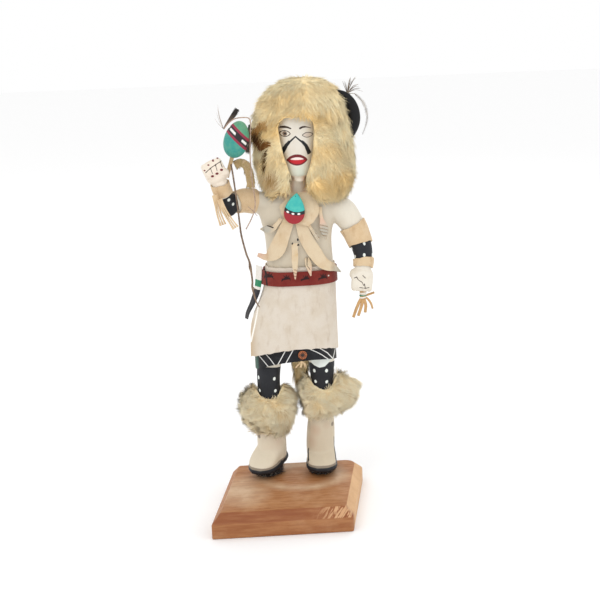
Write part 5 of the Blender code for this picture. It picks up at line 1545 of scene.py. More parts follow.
def make_anklet(node, middle, axis, seed):
    def outside(points, normals):
        away = points - axis
        away[:, 2] *= 0.4
        return np.clip(np.einsum("ij,ij->i", unit(away), normals) * 3.0 - 0.2, 0.0, 1.0)

    def comb(points, normals):
        return unit(points - middle) + np.array((0.0, 0.0, -0.20)) + drift(points, 0.009, seed) * 0.6

    collar = axis + np.array((0.0, -0.017, 0.012))

    def length(points):
        return 0.0080 * (1 - 0.60 * near(points, collar, 0.012))

    base = undercoat(node + "_undercoat", node, 0.0032, outside)
    plain_hair(base, anklet_colours, seed)
    hair = comb_fur(
        node + "_hair", base, 10000, seed, outside, comb, length,
        0.00028, 0.30, 0.40, anklet_colours, 2, 24,
    )
    for name, mesh in ((node + "_undercoat", base), (node + "_hair", hair)):
        piece = add_piece(name, mesh, fur_material)
        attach(piece, "root")
        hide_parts(node)
        print(name, triangles_in(mesh), "triangles")


for number, (node, (middle, axis)) in enumerate(ANKLETS.items()):
    make_anklet(node, middle, axis, 31 + number)

# %% [markdown]
# ## The pelt behind
# A small fox or rabbit pelt hangs from the belt behind, and shows between the legs from the front. Its hair
# lies downwards and is longest at its lower end.

# %% Pelt
def pelt_colours(roots, chance):
    count = len(roots)
    low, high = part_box("pelt")
    share = np.clip((roots[:, 2:] - low.z) / (high.z - low.z), 0.0, 1.0)
    root = np.array(tone(246, 222, 172)) * share + np.array(tone(226, 192, 132)) * (1 - share)
    tip = np.array(tone(255, 246, 222)) * share + np.array(tone(255, 238, 196)) * (1 - share)
    return root, tip


def make_pelt():
    low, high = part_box("pelt")

    def everywhere(points, normals):
        return np.ones(len(points))

    def outside(points, normals):
        return np.clip(0.35 + normals[:, 1] + np.abs(normals[:, 0]) * 0.8, 0.05, 1.0)

    def comb(points, normals):
        return np.array((0.0, 0.0, -1.0)) + drift(points, 0.014, 41) * 0.35

    base = undercoat("pelt_undercoat", "pelt", 0.0012, everywhere, 0.0014, 0.0004)
    plain_hair(base, pelt_colours, 42)
    hair = comb_fur(
        "pelt_hair", base, 4700, 43, outside, comb, lambda points: np.full(len(points), 0.0095),
        0.00030, 0.22, 0.5, pelt_colours, 2, 20,
    )
    for name, mesh in (("pelt_undercoat", base), ("pelt_hair", hair)):
        piece = add_piece(name, mesh, fur_material)
        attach(piece, "root")
        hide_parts("pelt")
        print(name, triangles_in(mesh), "triangles")


make_pelt()

# %% [markdown]
# ## Dark fur under the boots
# Each boot stands on a pad of short dark fur, pressed flat, whose ends stick out over the plinth. A few of the
# hairs at the toe have white tips.

# %% Sole fur
def sole_colours(roots, chance):
    count = len(roots)
    root = np.tile(np.array(tone(30, 22, 18)), (count, 1))
    tip = np.tile(np.array(tone(46, 34, 28)), (count, 1))
    toe = np.clip((0.036 - roots[:, 1]) / 0.012, 0.0, 1.0) * (chance.random(count) < 0.14)
    return root, blend_colour(tip, tone(232, 224, 208), toe)


def make_sole_fur(node, seed):
    low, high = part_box(node)
    middle = (np.array(low) + np.array(high)) / 2

    def rim(points, normals):
        return np.clip(1.0 - np.abs(normals[:, 2]) * 1.4, 0.0, 1.0)

    def comb(points, normals):
        return np.array((0.0, 0.0, -0.75)) + drift(points, 0.006, seed) * 0.5

    base = undercoat(node + "_undercoat", node, 0.0024, rim, 0.0011, 0.0003)
    plain_hair(base, sole_colours, seed)
    chance = np.random.default_rng(seed)
    roots, normals = scattered(base, 1200, chance, rim)
    away = roots - middle
    away[:, 2] = 0.0
    aims = unit(normals + unit(away) * 0.7 + chance.normal(scale=0.25, size=roots.shape))
    clumps = np.clip(drift(roots, 0.004, seed + 2)[:, 0] + 0.5, 0.0, 1.0)
    lengths = chance.uniform(0.0016, 0.0038, len(roots)) + 0.0030 * clumps * chance.random(len(roots))
    aims[:, 2] = np.minimum(aims[:, 2], 0.10)
    drop = np.clip((roots[:, 2] - PLINTH_THICKNESS - 0.0007) / lengths, 0.0, 0.8)
    bends = np.zeros_like(roots)
    bends[:, 2] = -drop * 0.85 - aims[:, 2]
    mesh, share, each = strands(node + "_hair", roots, aims, bends, lengths, np.full(len(roots), 0.00030))
    root_colour, tip_colour = sole_colours(roots, chance)
    share = share[:, None]
    shades = np.repeat(root_colour, each, axis=0) * (1 - share) + np.repeat(tip_colour, each, axis=0) * share
    set_colour(mesh, "hair", shades)
    for name, made in ((node + "_undercoat", base), (node + "_hair", mesh)):
        piece = add_piece(name, made, dark_fur_material)
        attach(piece, "root")
        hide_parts(node)
        print(name, triangles_in(made), "triangles")


def dark_fur_finish():
    coat = Coat("dark_fur_finish", 0.7, Specular_IOR_Level=0.3, Sheen_Weight=0.2)
    fine = coat.noise(0.0010, 2.0, 0.6)
    coat.colour(coat.mix(coat.ramp(fine, 0.35, 0.65, 0.35, 0.0), coat.painted("hair"), tone(24, 18, 14)))
    coat.relief(fine, 0.0004, 0.6)
    return coat.material


dark_fur_material = dark_fur_finish()
make_sole_fur("sole_fur_still", 51)
make_sole_fur("sole_fur_stepping", 52)

# %% [markdown]
# ## Horn, ear tassel and plume
# The black horn curls up from the hood's right side. It is carved wood, painted dull black, and hair lies over
# its inner edge. A little bunch of feathers hangs at the other ear, and a plume of thin barbs and one long
# feather is tied behind the horn's tip.

# %% Horn
HORN_ROWS = (
    (9.6, 1.0, 86.8, 1.5),
    (13.0, 1.0, 87.0, 1.6),
    (16.2, 1.0, 88.8, 1.7),
    (17.8, 1.0, 91.4, 1.75),
    (18.1, 1.0, 94.0, 1.65),
    (17.5, 1.0, 96.6, 1.35),
    (16.0, 1.0, 98.7, 0.95),
    (13.7, 1.0, 100.0, 0.40),
)


def horn_finish():
    coat = Coat("horn_black_finish", 0.5, Specular_IOR_Level=0.25)
    grain = coat.noise(0.0022, 4.0, 0.6, coat.stretched(1.0, 1.0, 0.3))
    specks = coat.noise(0.0012, 2.0, 0.7)
    colour = coat.mix(coat.ramp(grain, 0.35, 0.70, 0.0, 0.5), tone(18, 18, 20), tone(34, 33, 35))
    colour = coat.mix(coat.ramp(specks, 0.74, 0.84, 0.0, 0.3), colour, tone(84, 78, 70))
    coat.colour(colour)
    coat.roughness(coat.ramp(grain, 0.3, 0.7, 0.5, 0.75))
    coat.relief(grain, 0.0004, 0.5)
    return coat.material


def make_horn():
    line, radii = limb_line(HORN_ROWS, 60)
    rings = stem_rings(line, radii, 28)
    mesh = closed_form("horn", rings)
    piece = add_piece("horn_carved", mesh, horn_finish())
    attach(piece, "root")
    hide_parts("horn")
    print("horn:", triangles_in(mesh), "triangles")


make_horn()

# %% Feather helpers
def feather_finish(name, dark, light, tip=None):
    coat = Coat(name, 0.65, Specular_IOR_Level=0.3, Sheen_Weight=0.15)
    barbs = coat.noise(0.0009, 3.0, 0.6)
    broad = coat.noise(0.006, 2.0)
    colour = coat.mix(coat.ramp(broad, 0.35, 0.65), dark, light)
    colour = coat.mix(coat.ramp(barbs, 0.35, 0.60, 0.35, 0.0), colour, tone(38, 30, 26))
    coat.colour(colour)
    coat.relief(barbs, 0.0003, 0.5)
    return coat.material


def feather(name, line, half_widths, facing, quill_radius, barb_width=0.00022, seed=1):
    """A flat feather: a tapering quill with closed barbs along both sides, each a thin blade."""
    chance = np.random.default_rng(seed)
    line = np.asarray(line, float)
    tangents = unit(np.gradient(line, axis=0))
    sides = unit(np.cross(tangents, np.asarray(facing, float)))
    radii = quill_radius * np.linspace(1.0, 0.35, len(line))
    meshes = [stem(name + "_quill", line, radii, 8)]
    roots, aims, lengths = [], [], []
    for i in range(1, len(line) - 1):
        for side in (-1.0, 1.0):
            roots.append(line[i])
            aims.append(sides[i] * side * 0.75 + tangents[i] * 0.65 + chance.normal(scale=0.05, size=3))
            lengths.append(half_widths[i] * chance.uniform(0.9, 1.15))
    roots, aims, lengths = np.array(roots), unit(np.array(aims)), np.array(lengths)
    bends = np.repeat(tangents[1:-1], 2, axis=0) * 0.25
    blades, _, _ = strands(name + "_barbs", roots, aims, bends, lengths, np.full(len(roots), barb_width), 3)
    meshes.append(blades)
    return joined(name, meshes)


def joined(name, meshes):
    shape = bmesh.new()
    for mesh in meshes:
        shape.from_mesh(mesh)
    made = bpy.data.meshes.new(name)
    shape.to_mesh(made)
    shape.free()
    made.shade_smooth()
    return made


print("feather helpers ready")

# %% Ear tassel
EAR_TASSEL_ROWS = (
    (-9.3, 0.5, 85.4, 0.45),
    (-9.0, 0.4, 87.0, 0.95),
    (-8.9, 0.3, 89.0, 0.95),
    (-8.7, 0.2, 91.0, 0.75),
    (-8.4, 0.2, 92.4, 0.30),
)


def make_ear_tassel():
    line, radii = limb_line(EAR_TASSEL_ROWS, 16)
    core = stem("ear_core", line, radii * 0.62, 14)
    chance = np.random.default_rng(61)
    count = 420
    picks = chance.integers(1, len(line), count)
    angles = chance.random(count) * 2 * math.pi
    out = np.stack([np.cos(angles), np.sin(angles), np.zeros(count)], axis=1)
    roots = line[picks] + out * (radii[picks] * 0.45)[:, None]
    aims = unit(out * 0.5 + np.array((0.0, 0.0, -0.9)) + chance.normal(scale=0.12, size=(count, 3)))
    lengths = chance.uniform(0.0030, 0.0052, count)
    bends = -out * 0.2
    hair, share, each = strands("ear_hair", roots, aims, bends, lengths, np.full(count, 0.00032))
    mesh = joined("ear_tassel", [core, hair])
    points = points_of(mesh)
    heights = (points[:, 2] - line[0][2]) / (line[-1][2] - line[0][2])
    shades = np.tile(np.array(tone(104, 92, 80)), (len(points), 1))
    shades = blend_colour(shades, tone(28, 66, 50), np.clip(heights * 4 - 2.2, 0, 1))
    shades = blend_colour(shades, tone(196, 168, 140), np.clip(1 - np.abs(heights - 0.78) * 9, 0, 1) * 0.6)
    shades = blend_colour(shades, tone(214, 112, 48), near(points, figure_point(-9.3, -0.8, 88.8), 0.0032) * 2)
    set_colour(mesh, "hair", shades)
    piece = add_piece("ear_tassel_feathers", mesh, dark_fur_material)
    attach(piece, "root")
    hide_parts("ear_tassel")
    print("ear tassel:", triangles_in(mesh), "triangles")


make_ear_tassel()

# %% Plume behind the horn
PLUME_TIPS = ((15.8, 102.1), (17.2, 102.9), (18.1, 102.5), (18.9, 102.8), (19.6, 100.9), (20.4, 99.8))
LONG_FEATHER_ROWS = (
    (18.5, 1.1, 99.0, 0.20),
    (19.8, 1.1, 97.8, 0.26),
    (20.8, 1.1, 96.4, 0.38),
    (21.4, 1.1, 94.6, 0.28),
    (21.6, 1.1, 92.8, 0.20),
    (21.2, 1.1, 90.9, 0.16),
    (20.3, 1.1, 88.5, 0.12),
)
PLUME_TIE = figure_point(16.6, 1.1, 99.2)


def make_plume():
    chance = np.random.default_rng(63)
    meshes = []
    for number, (x, z) in enumerate(PLUME_TIPS * 3):
        tip = figure_point(x, 1.3, z) + chance.normal(scale=0.0011, size=3)
        bend = PLUME_TIE * 0.45 + tip * 0.55 + np.array((0.0, 0.0, 0.5 * UNIT)) + chance.normal(scale=0.0005, size=3)
        line, radii = smooth_line((PLUME_TIE, bend, tip), (0.00030, 0.00024, 0.00008), 9)
        meshes.append(stem(f"barb_{number}", line, radii, 5))
    line, widths = limb_line(LONG_FEATHER_ROWS, 60)
    line = np.concatenate([np.linspace(PLUME_TIE, line[0], 8)[:-1], line])
    widths = np.concatenate([np.full(7, widths[0] * 0.4), widths])
    meshes.append(feather("long_feather", line, widths * 1.7 + 0.0004, (0.0, -1.0, 0.0), 0.00028, 0.00013, 64))
    knot = bmesh.new()
    bmesh.ops.create_uvsphere(
        knot, u_segments=20, v_segments=12, radius=0.0014, matrix=Matrix.Translation(PLUME_TIE)
    )
    knot_mesh = bpy.data.meshes.new("plume_knot")
    knot.to_mesh(knot_mesh)
    knot.free()
    meshes.append(knot_mesh)
    mesh = joined("horn_plume", meshes)
    piece = add_piece("horn_plume_feathers", mesh, feather_finish("plume_finish", tone(96, 78, 62), tone(176, 160, 140)))
    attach(piece, "root")
    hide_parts("horn_plume")
    print("plume:", triangles_in(mesh), "triangles")


make_plume()

# %% [markdown]
# ## Hide
# Kilt, belt, bands, bib and fringes are cut from soft white and tan hide. Suede is matt and mottled, its edges
# are paler where the knife went, and handling leaves soft grey stains. One recipe with a few colours does for
# all, and each garment adds its own painted marks.

# %% Finish of the hide
def hide_coat(name, base, stain, warm, roughness=0.85):
    """Soft hide: mottled colour, a fine nap and a few stains. Returns the coat and its colour so far."""
    coat = Coat(name, roughness, Specular_IOR_Level=0.2, Sheen_Weight=0.20, Sheen_Roughness=0.5)
    coat.shader.inputs["Sheen Tint"].default_value = (*tone(255, 248, 236), 1.0)
    cloud = coat.noise(0.014, 4.0, 0.6)
    streak = coat.noise(0.007, 3.0, 0.6, coat.stretched(1.0, 1.0, 0.35))
    nap = coat.noise(0.0007, 3.0, 0.65)
    colour = coat.mix(coat.ramp(cloud, 0.40, 0.68, 0.0, 0.55), base, warm)
    colour = coat.mix(coat.ramp(streak, 0.52, 0.76, 0.0, 0.45), colour, stain)
    colour = coat.mix(coat.ramp(nap, 0.30, 0.55, 0.18, 0.0), colour, stain)
    coat.relief(coat.sum(nap, streak, 0.8), 0.00045, 0.6)
    return coat, colour


def white_hide_finish():
    coat, colour = hide_coat("white_hide_finish", tone(222, 208, 186), tone(184, 158, 128), tone(212, 190, 160))
    coat.colour(colour)
    return coat.material


def tan_hide_finish():
    coat, colour = hide_coat("tan_hide_finish", tone(219, 194, 158), tone(170, 130, 88), tone(203, 170, 128))
    coat.colour(colour)
    return coat.material


white_hide_material = white_hide_finish()
tan_hide_material = tan_hide_finish()
print("hide finishes ready")


# %% Helper that puts a sheet of hide in place
def flat_size(grid, closed=False):
    """The width and the length that a sheet of hide was cut to, measured along its middle lines."""
    grid = np.asarray(grid, float)
    if closed:
        grid = np.concatenate([grid, grid[:, :1]], axis=1)
    width = np.linalg.norm(np.diff(grid, axis=1), axis=2).sum(axis=1).max()
    length = np.linalg.norm(np.diff(grid, axis=0), axis=2).sum(axis=0).max()
    return float(width), float(length)


SMALLEST_CUT = 0.010


def wear_hide(name, node, grid, mesh, material, closed=False):
    piece = add_piece(name, mesh, material)
    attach(piece, "root")
    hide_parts(node)
    width, length = flat_size(grid, closed)
    width, length = max(width, SMALLEST_CUT), max(length, SMALLEST_CUT)
    return piece


# %% [markdown]
# ## Kilt and border
# The kilt is one piece of white hide wrapped round the hips, its free edge turned over at the doll's right
# side. Below it hangs the hem border, painted dark with pairs of slanting white lines.

# %% Shape of the hips and the kilt
HIP_ROWS = (
    (27.0, 1.1, 10.9, 6.9),
    (31.0, 1.1, 10.9, 6.8),
    (37.0, 1.1, 10.8, 6.6),
    (42.4, 1.35, 10.6, 6.2),
    (46.0, 2.1, 9.8, 5.8),
    (50.0, 2.8, 9.15, 5.3),
    (54.0, 3.0, 8.85, 5.1),
    (57.0, 3.1, 8.75, 4.95),
)
HIP_POWER = 2.4
BELT_TOP = 54.9
BELT_WIDTH = 0.0148
KILT_LENGTH = 0.1006
KILT_ABOVE_BELT = 0.0040
KILT_LAP = math.radians(36.0)
KILT_EDGE_ANGLE = math.radians(204.0)
FLAP_LIFT = 0.0045
HEM_RISE_PER_WIDTH = 0.046
HEM_FRONT_RISE_PER_WIDTH = 0.287
BORDER_NARROWING = 0.09
HIDE_THICKNESS = 0.0012
BELT_THICKNESS = 0.0014
STRIP_THICKNESS = 0.0011
SUEDE_THICKNESS = 0.0016
BORDER_WIDTH = 0.0173
BORDER_TUCK = 0.0040
BELT_TOP_Z = SOLE_Z + BELT_TOP * UNIT
KILT_TOP_Z = BELT_TOP_Z + KILT_ABOVE_BELT


def hip_point(angle, z, grow):
    """A point on the hips at an angle round them, grown outwards. z is in metres."""
    centre, half_width, half_depth = spline_row(HIP_ROWS, (z - SOLE_Z) / UNIT)
    x, y = rounded(angle, HIP_POWER)
    middle = figure_point(centre, 0.0, 0.0)
    return np.array((middle[0] + (half_width * UNIT + grow) * x, middle[1] + (half_depth * UNIT + grow) * y, z))


def hem_rise(angle):
    frontward = ((1 - np.sin(angle)) / 2) ** 2
    rise = HEM_RISE_PER_WIDTH * (1 + np.cos(angle)) + HEM_FRONT_RISE_PER_WIDTH * frontward
    return rise * HIP_ROWS[1][2] * UNIT


def lap_grow(angle, below_belt):
    """How far the lapped edge of the kilt stands off the layer under it."""
    lap = max(0.0, 1 - (angle - KILT_EDGE_ANGLE) / (KILT_LAP * 1.8))
    layer = (HIDE_THICKNESS + 2 * FIT_GAP) * min(1.0, lap * 2.2)
    return layer + FLAP_LIFT * min(1.0, below_belt * 1.6) * lap**2


def kilt_wrinkle(angle, below):
    """Soft upright folds of the hide, which die away under the belt."""
    wave = 0.55 * math.sin(5 * angle + 1.2) + 0.35 * math.sin(11 * angle + 0.4 + 2.0 * below)
    cross = 0.25 * math.sin(9.0 * below + 3.0 * angle)
    return 0.0006 * max(0.0, wave + cross + 0.55) * min(1.0, below * 1.5)


def make_kilt():
    belt_low = BELT_TOP_Z - BELT_WIDTH
    angles = spread(KILT_EDGE_ANGLE, KILT_EDGE_ANGLE + 2 * math.pi + KILT_LAP, 200)
    grid = []
    for below in spread(1.0, 0.0, 34):
        row = []
        for angle in angles:
            low = KILT_TOP_Z - KILT_LENGTH + hem_rise(angle)
            grow = lap_grow(angle, below) + kilt_wrinkle(angle, below)
            ragged = 0.0005 * math.sin(23 * angle) * math.sin(7 * angle + 1.0) * max(0.0, below - 0.9) * 10
            row.append(hip_point(angle, belt_low + (low - belt_low) * below + ragged, grow))
        grid.append(row)
    for level in spread(0.2, 1.0, 5):
        z = belt_low + (KILT_TOP_Z - belt_low) * level
        grid.append([hip_point(angle, z, lap_grow(angle, 0.0)) for angle in angles])
    mesh = outward(hide_sheet("kilt", grid, HIDE_THICKNESS))
    points = points_of(mesh)
    spots = points[:, [0, 2]] / MM
    seam = stroke(spots, ((-20.5, 236.0), (-27.0, 208.0), (-34.5, 178.0)), 1.2, 1.6)
    set_paint(mesh, "edge_paint", only_where(seam, points[:, 1] < 0.0335))
    # A tan band along the free edge: the tan of the turned edge, and painted shade along the lifted flap.
    edge = np.clip(((-0.026 - points[:, 0]) / 0.010), 0.0, 1.0) * (points[:, 1] < 0.046)
    set_paint(mesh, "tan_and_shade_share", edge * np.clip((0.222 - points[:, 2]) / 0.04, 0.0, 1.0))
    coat, colour = hide_coat("kilt_finish", tone(217, 207, 193), tone(182, 162, 138), tone(207, 193, 173))
    # Tan edge and painted shade along the flap.
    colour = coat.mix(coat.mark("tan_and_shade_share"), colour, tone(192, 168, 136))
    colour = coat.mix(coat.brushed("edge_paint", 0.4, 0.5), colour, tone(248, 244, 236))
    coat.colour(colour)
    wear_hide("kilt_hide", "kilt", grid, mesh, coat.material)


make_kilt()

# %% Hem border with its slanting lines
# The pairs of lines seen from the front, across and up in mm, then how they go on round the back
BORDER_LINES = (
    ((-28.4, 163.5), (-22.4, 156.9), (-16.4, 149.8)),
    ((-21.4, 166.5), (-15.6, 160.0), (-10.4, 152.2)),
    ((0.9, 169.6), (-8.6, 152.6)),
    ((8.8, 169.8), (-0.1, 154.6)),
    ((26.8, 169.0), (33.0, 165.6), (38.6, 161.8), (46.4, 154.8)),
    ((37.0, 169.0), (44.8, 162.7), (51.4, 153.6)),
    ((55.0, 166.0), (50.4, 153.6)),
)
BORDER_LINE_WIDTH = 0.85
BACK_PAIRS = 5


def border_marks(points):
    spots = points[:, [0, 2]] / MM
    front = points[:, 1] < STAND_Y - 0.002
    lines = both(*[stroke(spots, line, BORDER_LINE_WIDTH) for line in BORDER_LINES])
    centre = figure_point(HIP_ROWS[1][1], 0.0, 0.0)
    angle = np.arctan2((points[:, 1] - centre[1]) * 1.5, points[:, 0] - centre[0])
    top = (KILT_TOP_Z - KILT_LENGTH + hem_rise(angle)) / MM
    step = math.pi / BACK_PAIRS
    number = np.floor(angle / step)
    along = (angle / step - number) * step * 42.0
    slant = np.where(number % 2 == 0, 1.0, -1.0)
    depth = top + 2.0 - points[:, 2] / MM
    lean = (along - step * 21.0) - slant * (depth - 7.5) * 0.75
    pair = np.minimum(np.abs(lean - 3.4), np.abs(lean + 3.4)) * 0.8 - BORDER_LINE_WIDTH / 2
    return np.where(front, lines, pair)


def make_border():
    angles = np.arange(400) * 2 * math.pi / 400
    grid = []
    for level in spread(0.0, 1.0, 30):
        row = []
        for angle in angles:
            high = KILT_TOP_Z - KILT_LENGTH + hem_rise(angle) + BORDER_TUCK
            ripple = 0.0003 * math.sin(7 * angle + 0.8) * (1 - level)
            width = BORDER_WIDTH * (1 - BORDER_NARROWING * math.cos(angle))
            row.append(hip_point(angle, high - width * (1 - level), ripple - HIDE_THICKNESS - FIT_GAP))
        grid.append(row)
    mesh = outward(hide_sheet("kilt_border", grid, HIDE_THICKNESS, closed=True))
    points = points_of(mesh)
    set_paint(mesh, "line_paint", border_marks(points))
    edge = points[:, 2] / MM - (KILT_TOP_Z - KILT_LENGTH + BORDER_TUCK + hem_rise(math.pi * 1.2)) / MM
    pale_edge = np.abs(edge + BORDER_WIDTH / MM) - 0.7
    set_paint(mesh, "edge_paint", only_where(pale_edge, (points[:, 1] < 0.030) & (points[:, 0] < -0.008)))
    side = np.clip((-0.0268 - points[:, 0]) / 0.0015, 0.0, 1.0) * (points[:, 1] < STAND_Y)
    set_paint(mesh, "green_share", side)
    coat, _ = hide_coat("border_finish", tone(30, 32, 42), tone(20, 20, 26), tone(40, 44, 56), 0.7)
    fade = coat.noise(0.006, 4.0, 0.6)
    colour = coat.mix(coat.ramp(fade, 0.40, 0.70, 0.0, 0.6), tone(24, 25, 29), tone(42, 44, 50))
    colour = coat.mix(coat.mark("green_share"), colour, tone(46, 84, 74))
    colour = coat.mix(coat.brushed("line_paint", 0.12, 0.22), colour, tone(232, 232, 228))
    coat.colour(colour)
    wear_hide(
        "kilt_border_hide", "kilt_border", grid, mesh, coat.material,
        closed=True,
    )


make_border()

# %% [markdown]
# ## Belt and sash
# A red belt with dark bird-track marks holds the kilt, and the end of a white and green sash hangs at the
# doll's right side.

# %% Belt
BELT_EASE = math.radians(15.0)
BELT_MARKS = ((-13.2, 248.3), (4.2, 246.6), (23.7, 245.6), (42.2, 245.2))


def belt_grow(angle):
    turned = max(angle % (2 * math.pi), KILT_EDGE_ANGLE)
    lapped = angle % (2 * math.pi) > KILT_EDGE_ANGLE - BELT_EASE
    return HIDE_THICKNESS + 2 * FIT_GAP + (lap_grow(turned, 0.0) if lapped else 0.0)


def bird_track(spots, middle):
    """Three short toes and a heel: a common old pattern on belts."""
    x, z = middle
    return both(
        stroke(spots, ((x - 3.8, z - 1.6), (x + 3.8, z - 0.6)), 1.8),
        stroke(spots, ((x, z - 1.0), (x - 2.6, z + 2.8)), 1.6, 1.0),
        stroke(spots, ((x, z - 1.0), (x + 0.6, z + 3.4)), 1.6, 1.0),
        stroke(spots, ((x + 0.4, z - 1.0), (x + 3.4, z + 2.4)), 1.6, 1.0),
        stroke(spots, ((x - 3.4, z - 1.4), (x - 4.8, z - 3.6)), 1.4, 0.9),
        stroke(spots, ((x + 3.2, z - 0.8), (x + 4.8, z - 3.0)), 1.4, 0.9),
    )


def make_belt():
    angles = np.arange(240) * 2 * math.pi / 240
    growths = [belt_grow(angle) for angle in angles]
    growths = np.convolve(np.concatenate([growths[-6:], growths, growths[:6]]), np.ones(13) / 13, "valid")
    growths = np.maximum(growths, [belt_grow(angle) for angle in angles])
    grid = []
    for level in spread(0.0, 1.0, 12):
        z = BELT_TOP_Z - BELT_WIDTH * (1 - level)
        grid.append([hip_point(angle, z, grow) for angle, grow in zip(angles, growths)])
    mesh = outward(hide_sheet("belt", grid, BELT_THICKNESS, closed=True))
    points = points_of(mesh)
    spots = points[:, [0, 2]] / MM
    front = points[:, 1] < STAND_Y
    marks = both(*[bird_track(spots, middle) for middle in BELT_MARKS])
    back = both(*[bird_track(spots, (x, z)) for x, z in ((-8.0, 246.0), (11.0, 246.0), (30.0, 246.0), (48.0, 246.0))])
    edge = stroke(spots, ((-16.4, 254.0), (-15.4, 238.0)), 1.7)
    dark = np.where(front, both(marks, edge), back)
    set_paint(mesh, "track_paint", dark)
    set_paint(mesh, "dot_paint", only_where(dab(spots, (48.4, 245.4), 0.9, 0.9), front))
    coat, _ = hide_coat("belt_finish", tone(150, 40, 38), tone(90, 24, 26), tone(170, 60, 52), 0.75)
    cloud = coat.noise(0.008, 4.0, 0.6)
    nap = coat.noise(0.0006, 3.0, 0.7)
    colour = coat.mix(coat.ramp(cloud, 0.35, 0.70, 0.0, 0.7), tone(116, 34, 28), tone(132, 52, 42))
    colour = coat.mix(coat.ramp(nap, 0.32, 0.55, 0.3, 0.0), colour, tone(84, 20, 22))
    colour = coat.mix(coat.brushed("track_paint", 0.25, 0.4), colour, tone(40, 18, 20))
    colour = coat.mix(coat.brushed("dot_paint", 0.2, 0.3), colour, tone(226, 218, 206))
    coat.colour(colour)
    wear_hide(
        "belt_hide", "belt", grid, mesh, coat.material, closed=True
    )


make_belt()

# %% Sash
SASH_START_ANGLE = math.radians(162.0)
SASH_END_ANGLE = math.radians(196.0)
SASH_LENGTH = 0.0580
SASH_TURN = 0.6
SASH_FLARE = 0.0090


def make_sash():
    grid = []
    for level in spread(0.0, 1.0, 30):
        z = KILT_TOP_Z - SASH_LENGTH * (1 - level)
        width = 1.0 if level > 0.5 else 0.55 + 0.9 * level
        row = []
        for share in spread(0.0, 1.0, 14):
            angle = SASH_START_ANGLE + (SASH_END_ANGLE - SASH_START_ANGLE) * width * share
            fold = 0.0004 * (1 + math.sin(9 * share + 3 * level)) * (1 - level)
            row.append(hip_point(angle, z, 2 * HIDE_THICKNESS + BELT_THICKNESS + 5 * FIT_GAP + fold))
        for number, share in enumerate(spread(1.0, 0.0, 14)):
            flared = row[-1] + np.array((-SASH_FLARE * width * share, 0.0, 0.0))
            row[number] = row[number] * (1 - SASH_TURN) + flared * SASH_TURN
        grid.append(row)
    mesh = outward(hide_sheet("side_sash", grid, STRIP_THICKNESS))
    heights = points_of(mesh)[:, 2] / MM
    set_paint(mesh, "green_paint", np.abs(heights - 238.0) - 3.6)
    set_paint(mesh, "dark_paint", heights - 231.5)
    coat, colour = hide_coat("sash_finish", tone(232, 228, 220), tone(190, 182, 172), tone(222, 214, 202))
    colour = coat.mix(coat.brushed("dark_paint", 0.2, 0.5), colour, tone(44, 44, 50))
    colour = coat.mix(coat.brushed("green_paint", 0.2, 0.5), colour, tone(40, 130, 92))
    coat.colour(colour)
    wear_hide("side_sash_hide", "side_sash", grid, mesh, coat.material)


make_sash()

# %% Rosette and its tassel
ROSETTE_RADIUS = 0.0048
ROSETTE_THICKNESS = 0.0014
ROSETTE_PETALS = 12
ROSETTE_X = 2.55
TASSEL_LENGTH = 0.0090
TASSEL_RADIUS = 0.0014
TASSEL_ENDS = (-1.4, -0.1, 1.2)


def kilt_front(x, z):
    """The front of the hips under the kilt: its y at a place seen from the front."""
    centre, half_width, half_depth = spline_row(HIP_ROWS, (z - SOLE_Z) / UNIT)
    across = min(abs(x - STAND_X - centre * UNIT) / (half_width * UNIT), 0.97)
    return STAND_Y - half_depth * UNIT * (1 - across**HIP_POWER) ** (1 / HIP_POWER)


ROSETTE_PLACE_X = float(figure_point(ROSETTE_X, 0.0, 0.0)[0])
ROSETTE_Z = KILT_TOP_Z - KILT_LENGTH + hem_rise(-math.pi / 2) - ROSETTE_RADIUS - HIDE_THICKNESS
ROSETTE_Y = kilt_front(ROSETTE_PLACE_X, ROSETTE_Z) - FIT_GAP - ROSETTE_THICKNESS / 2


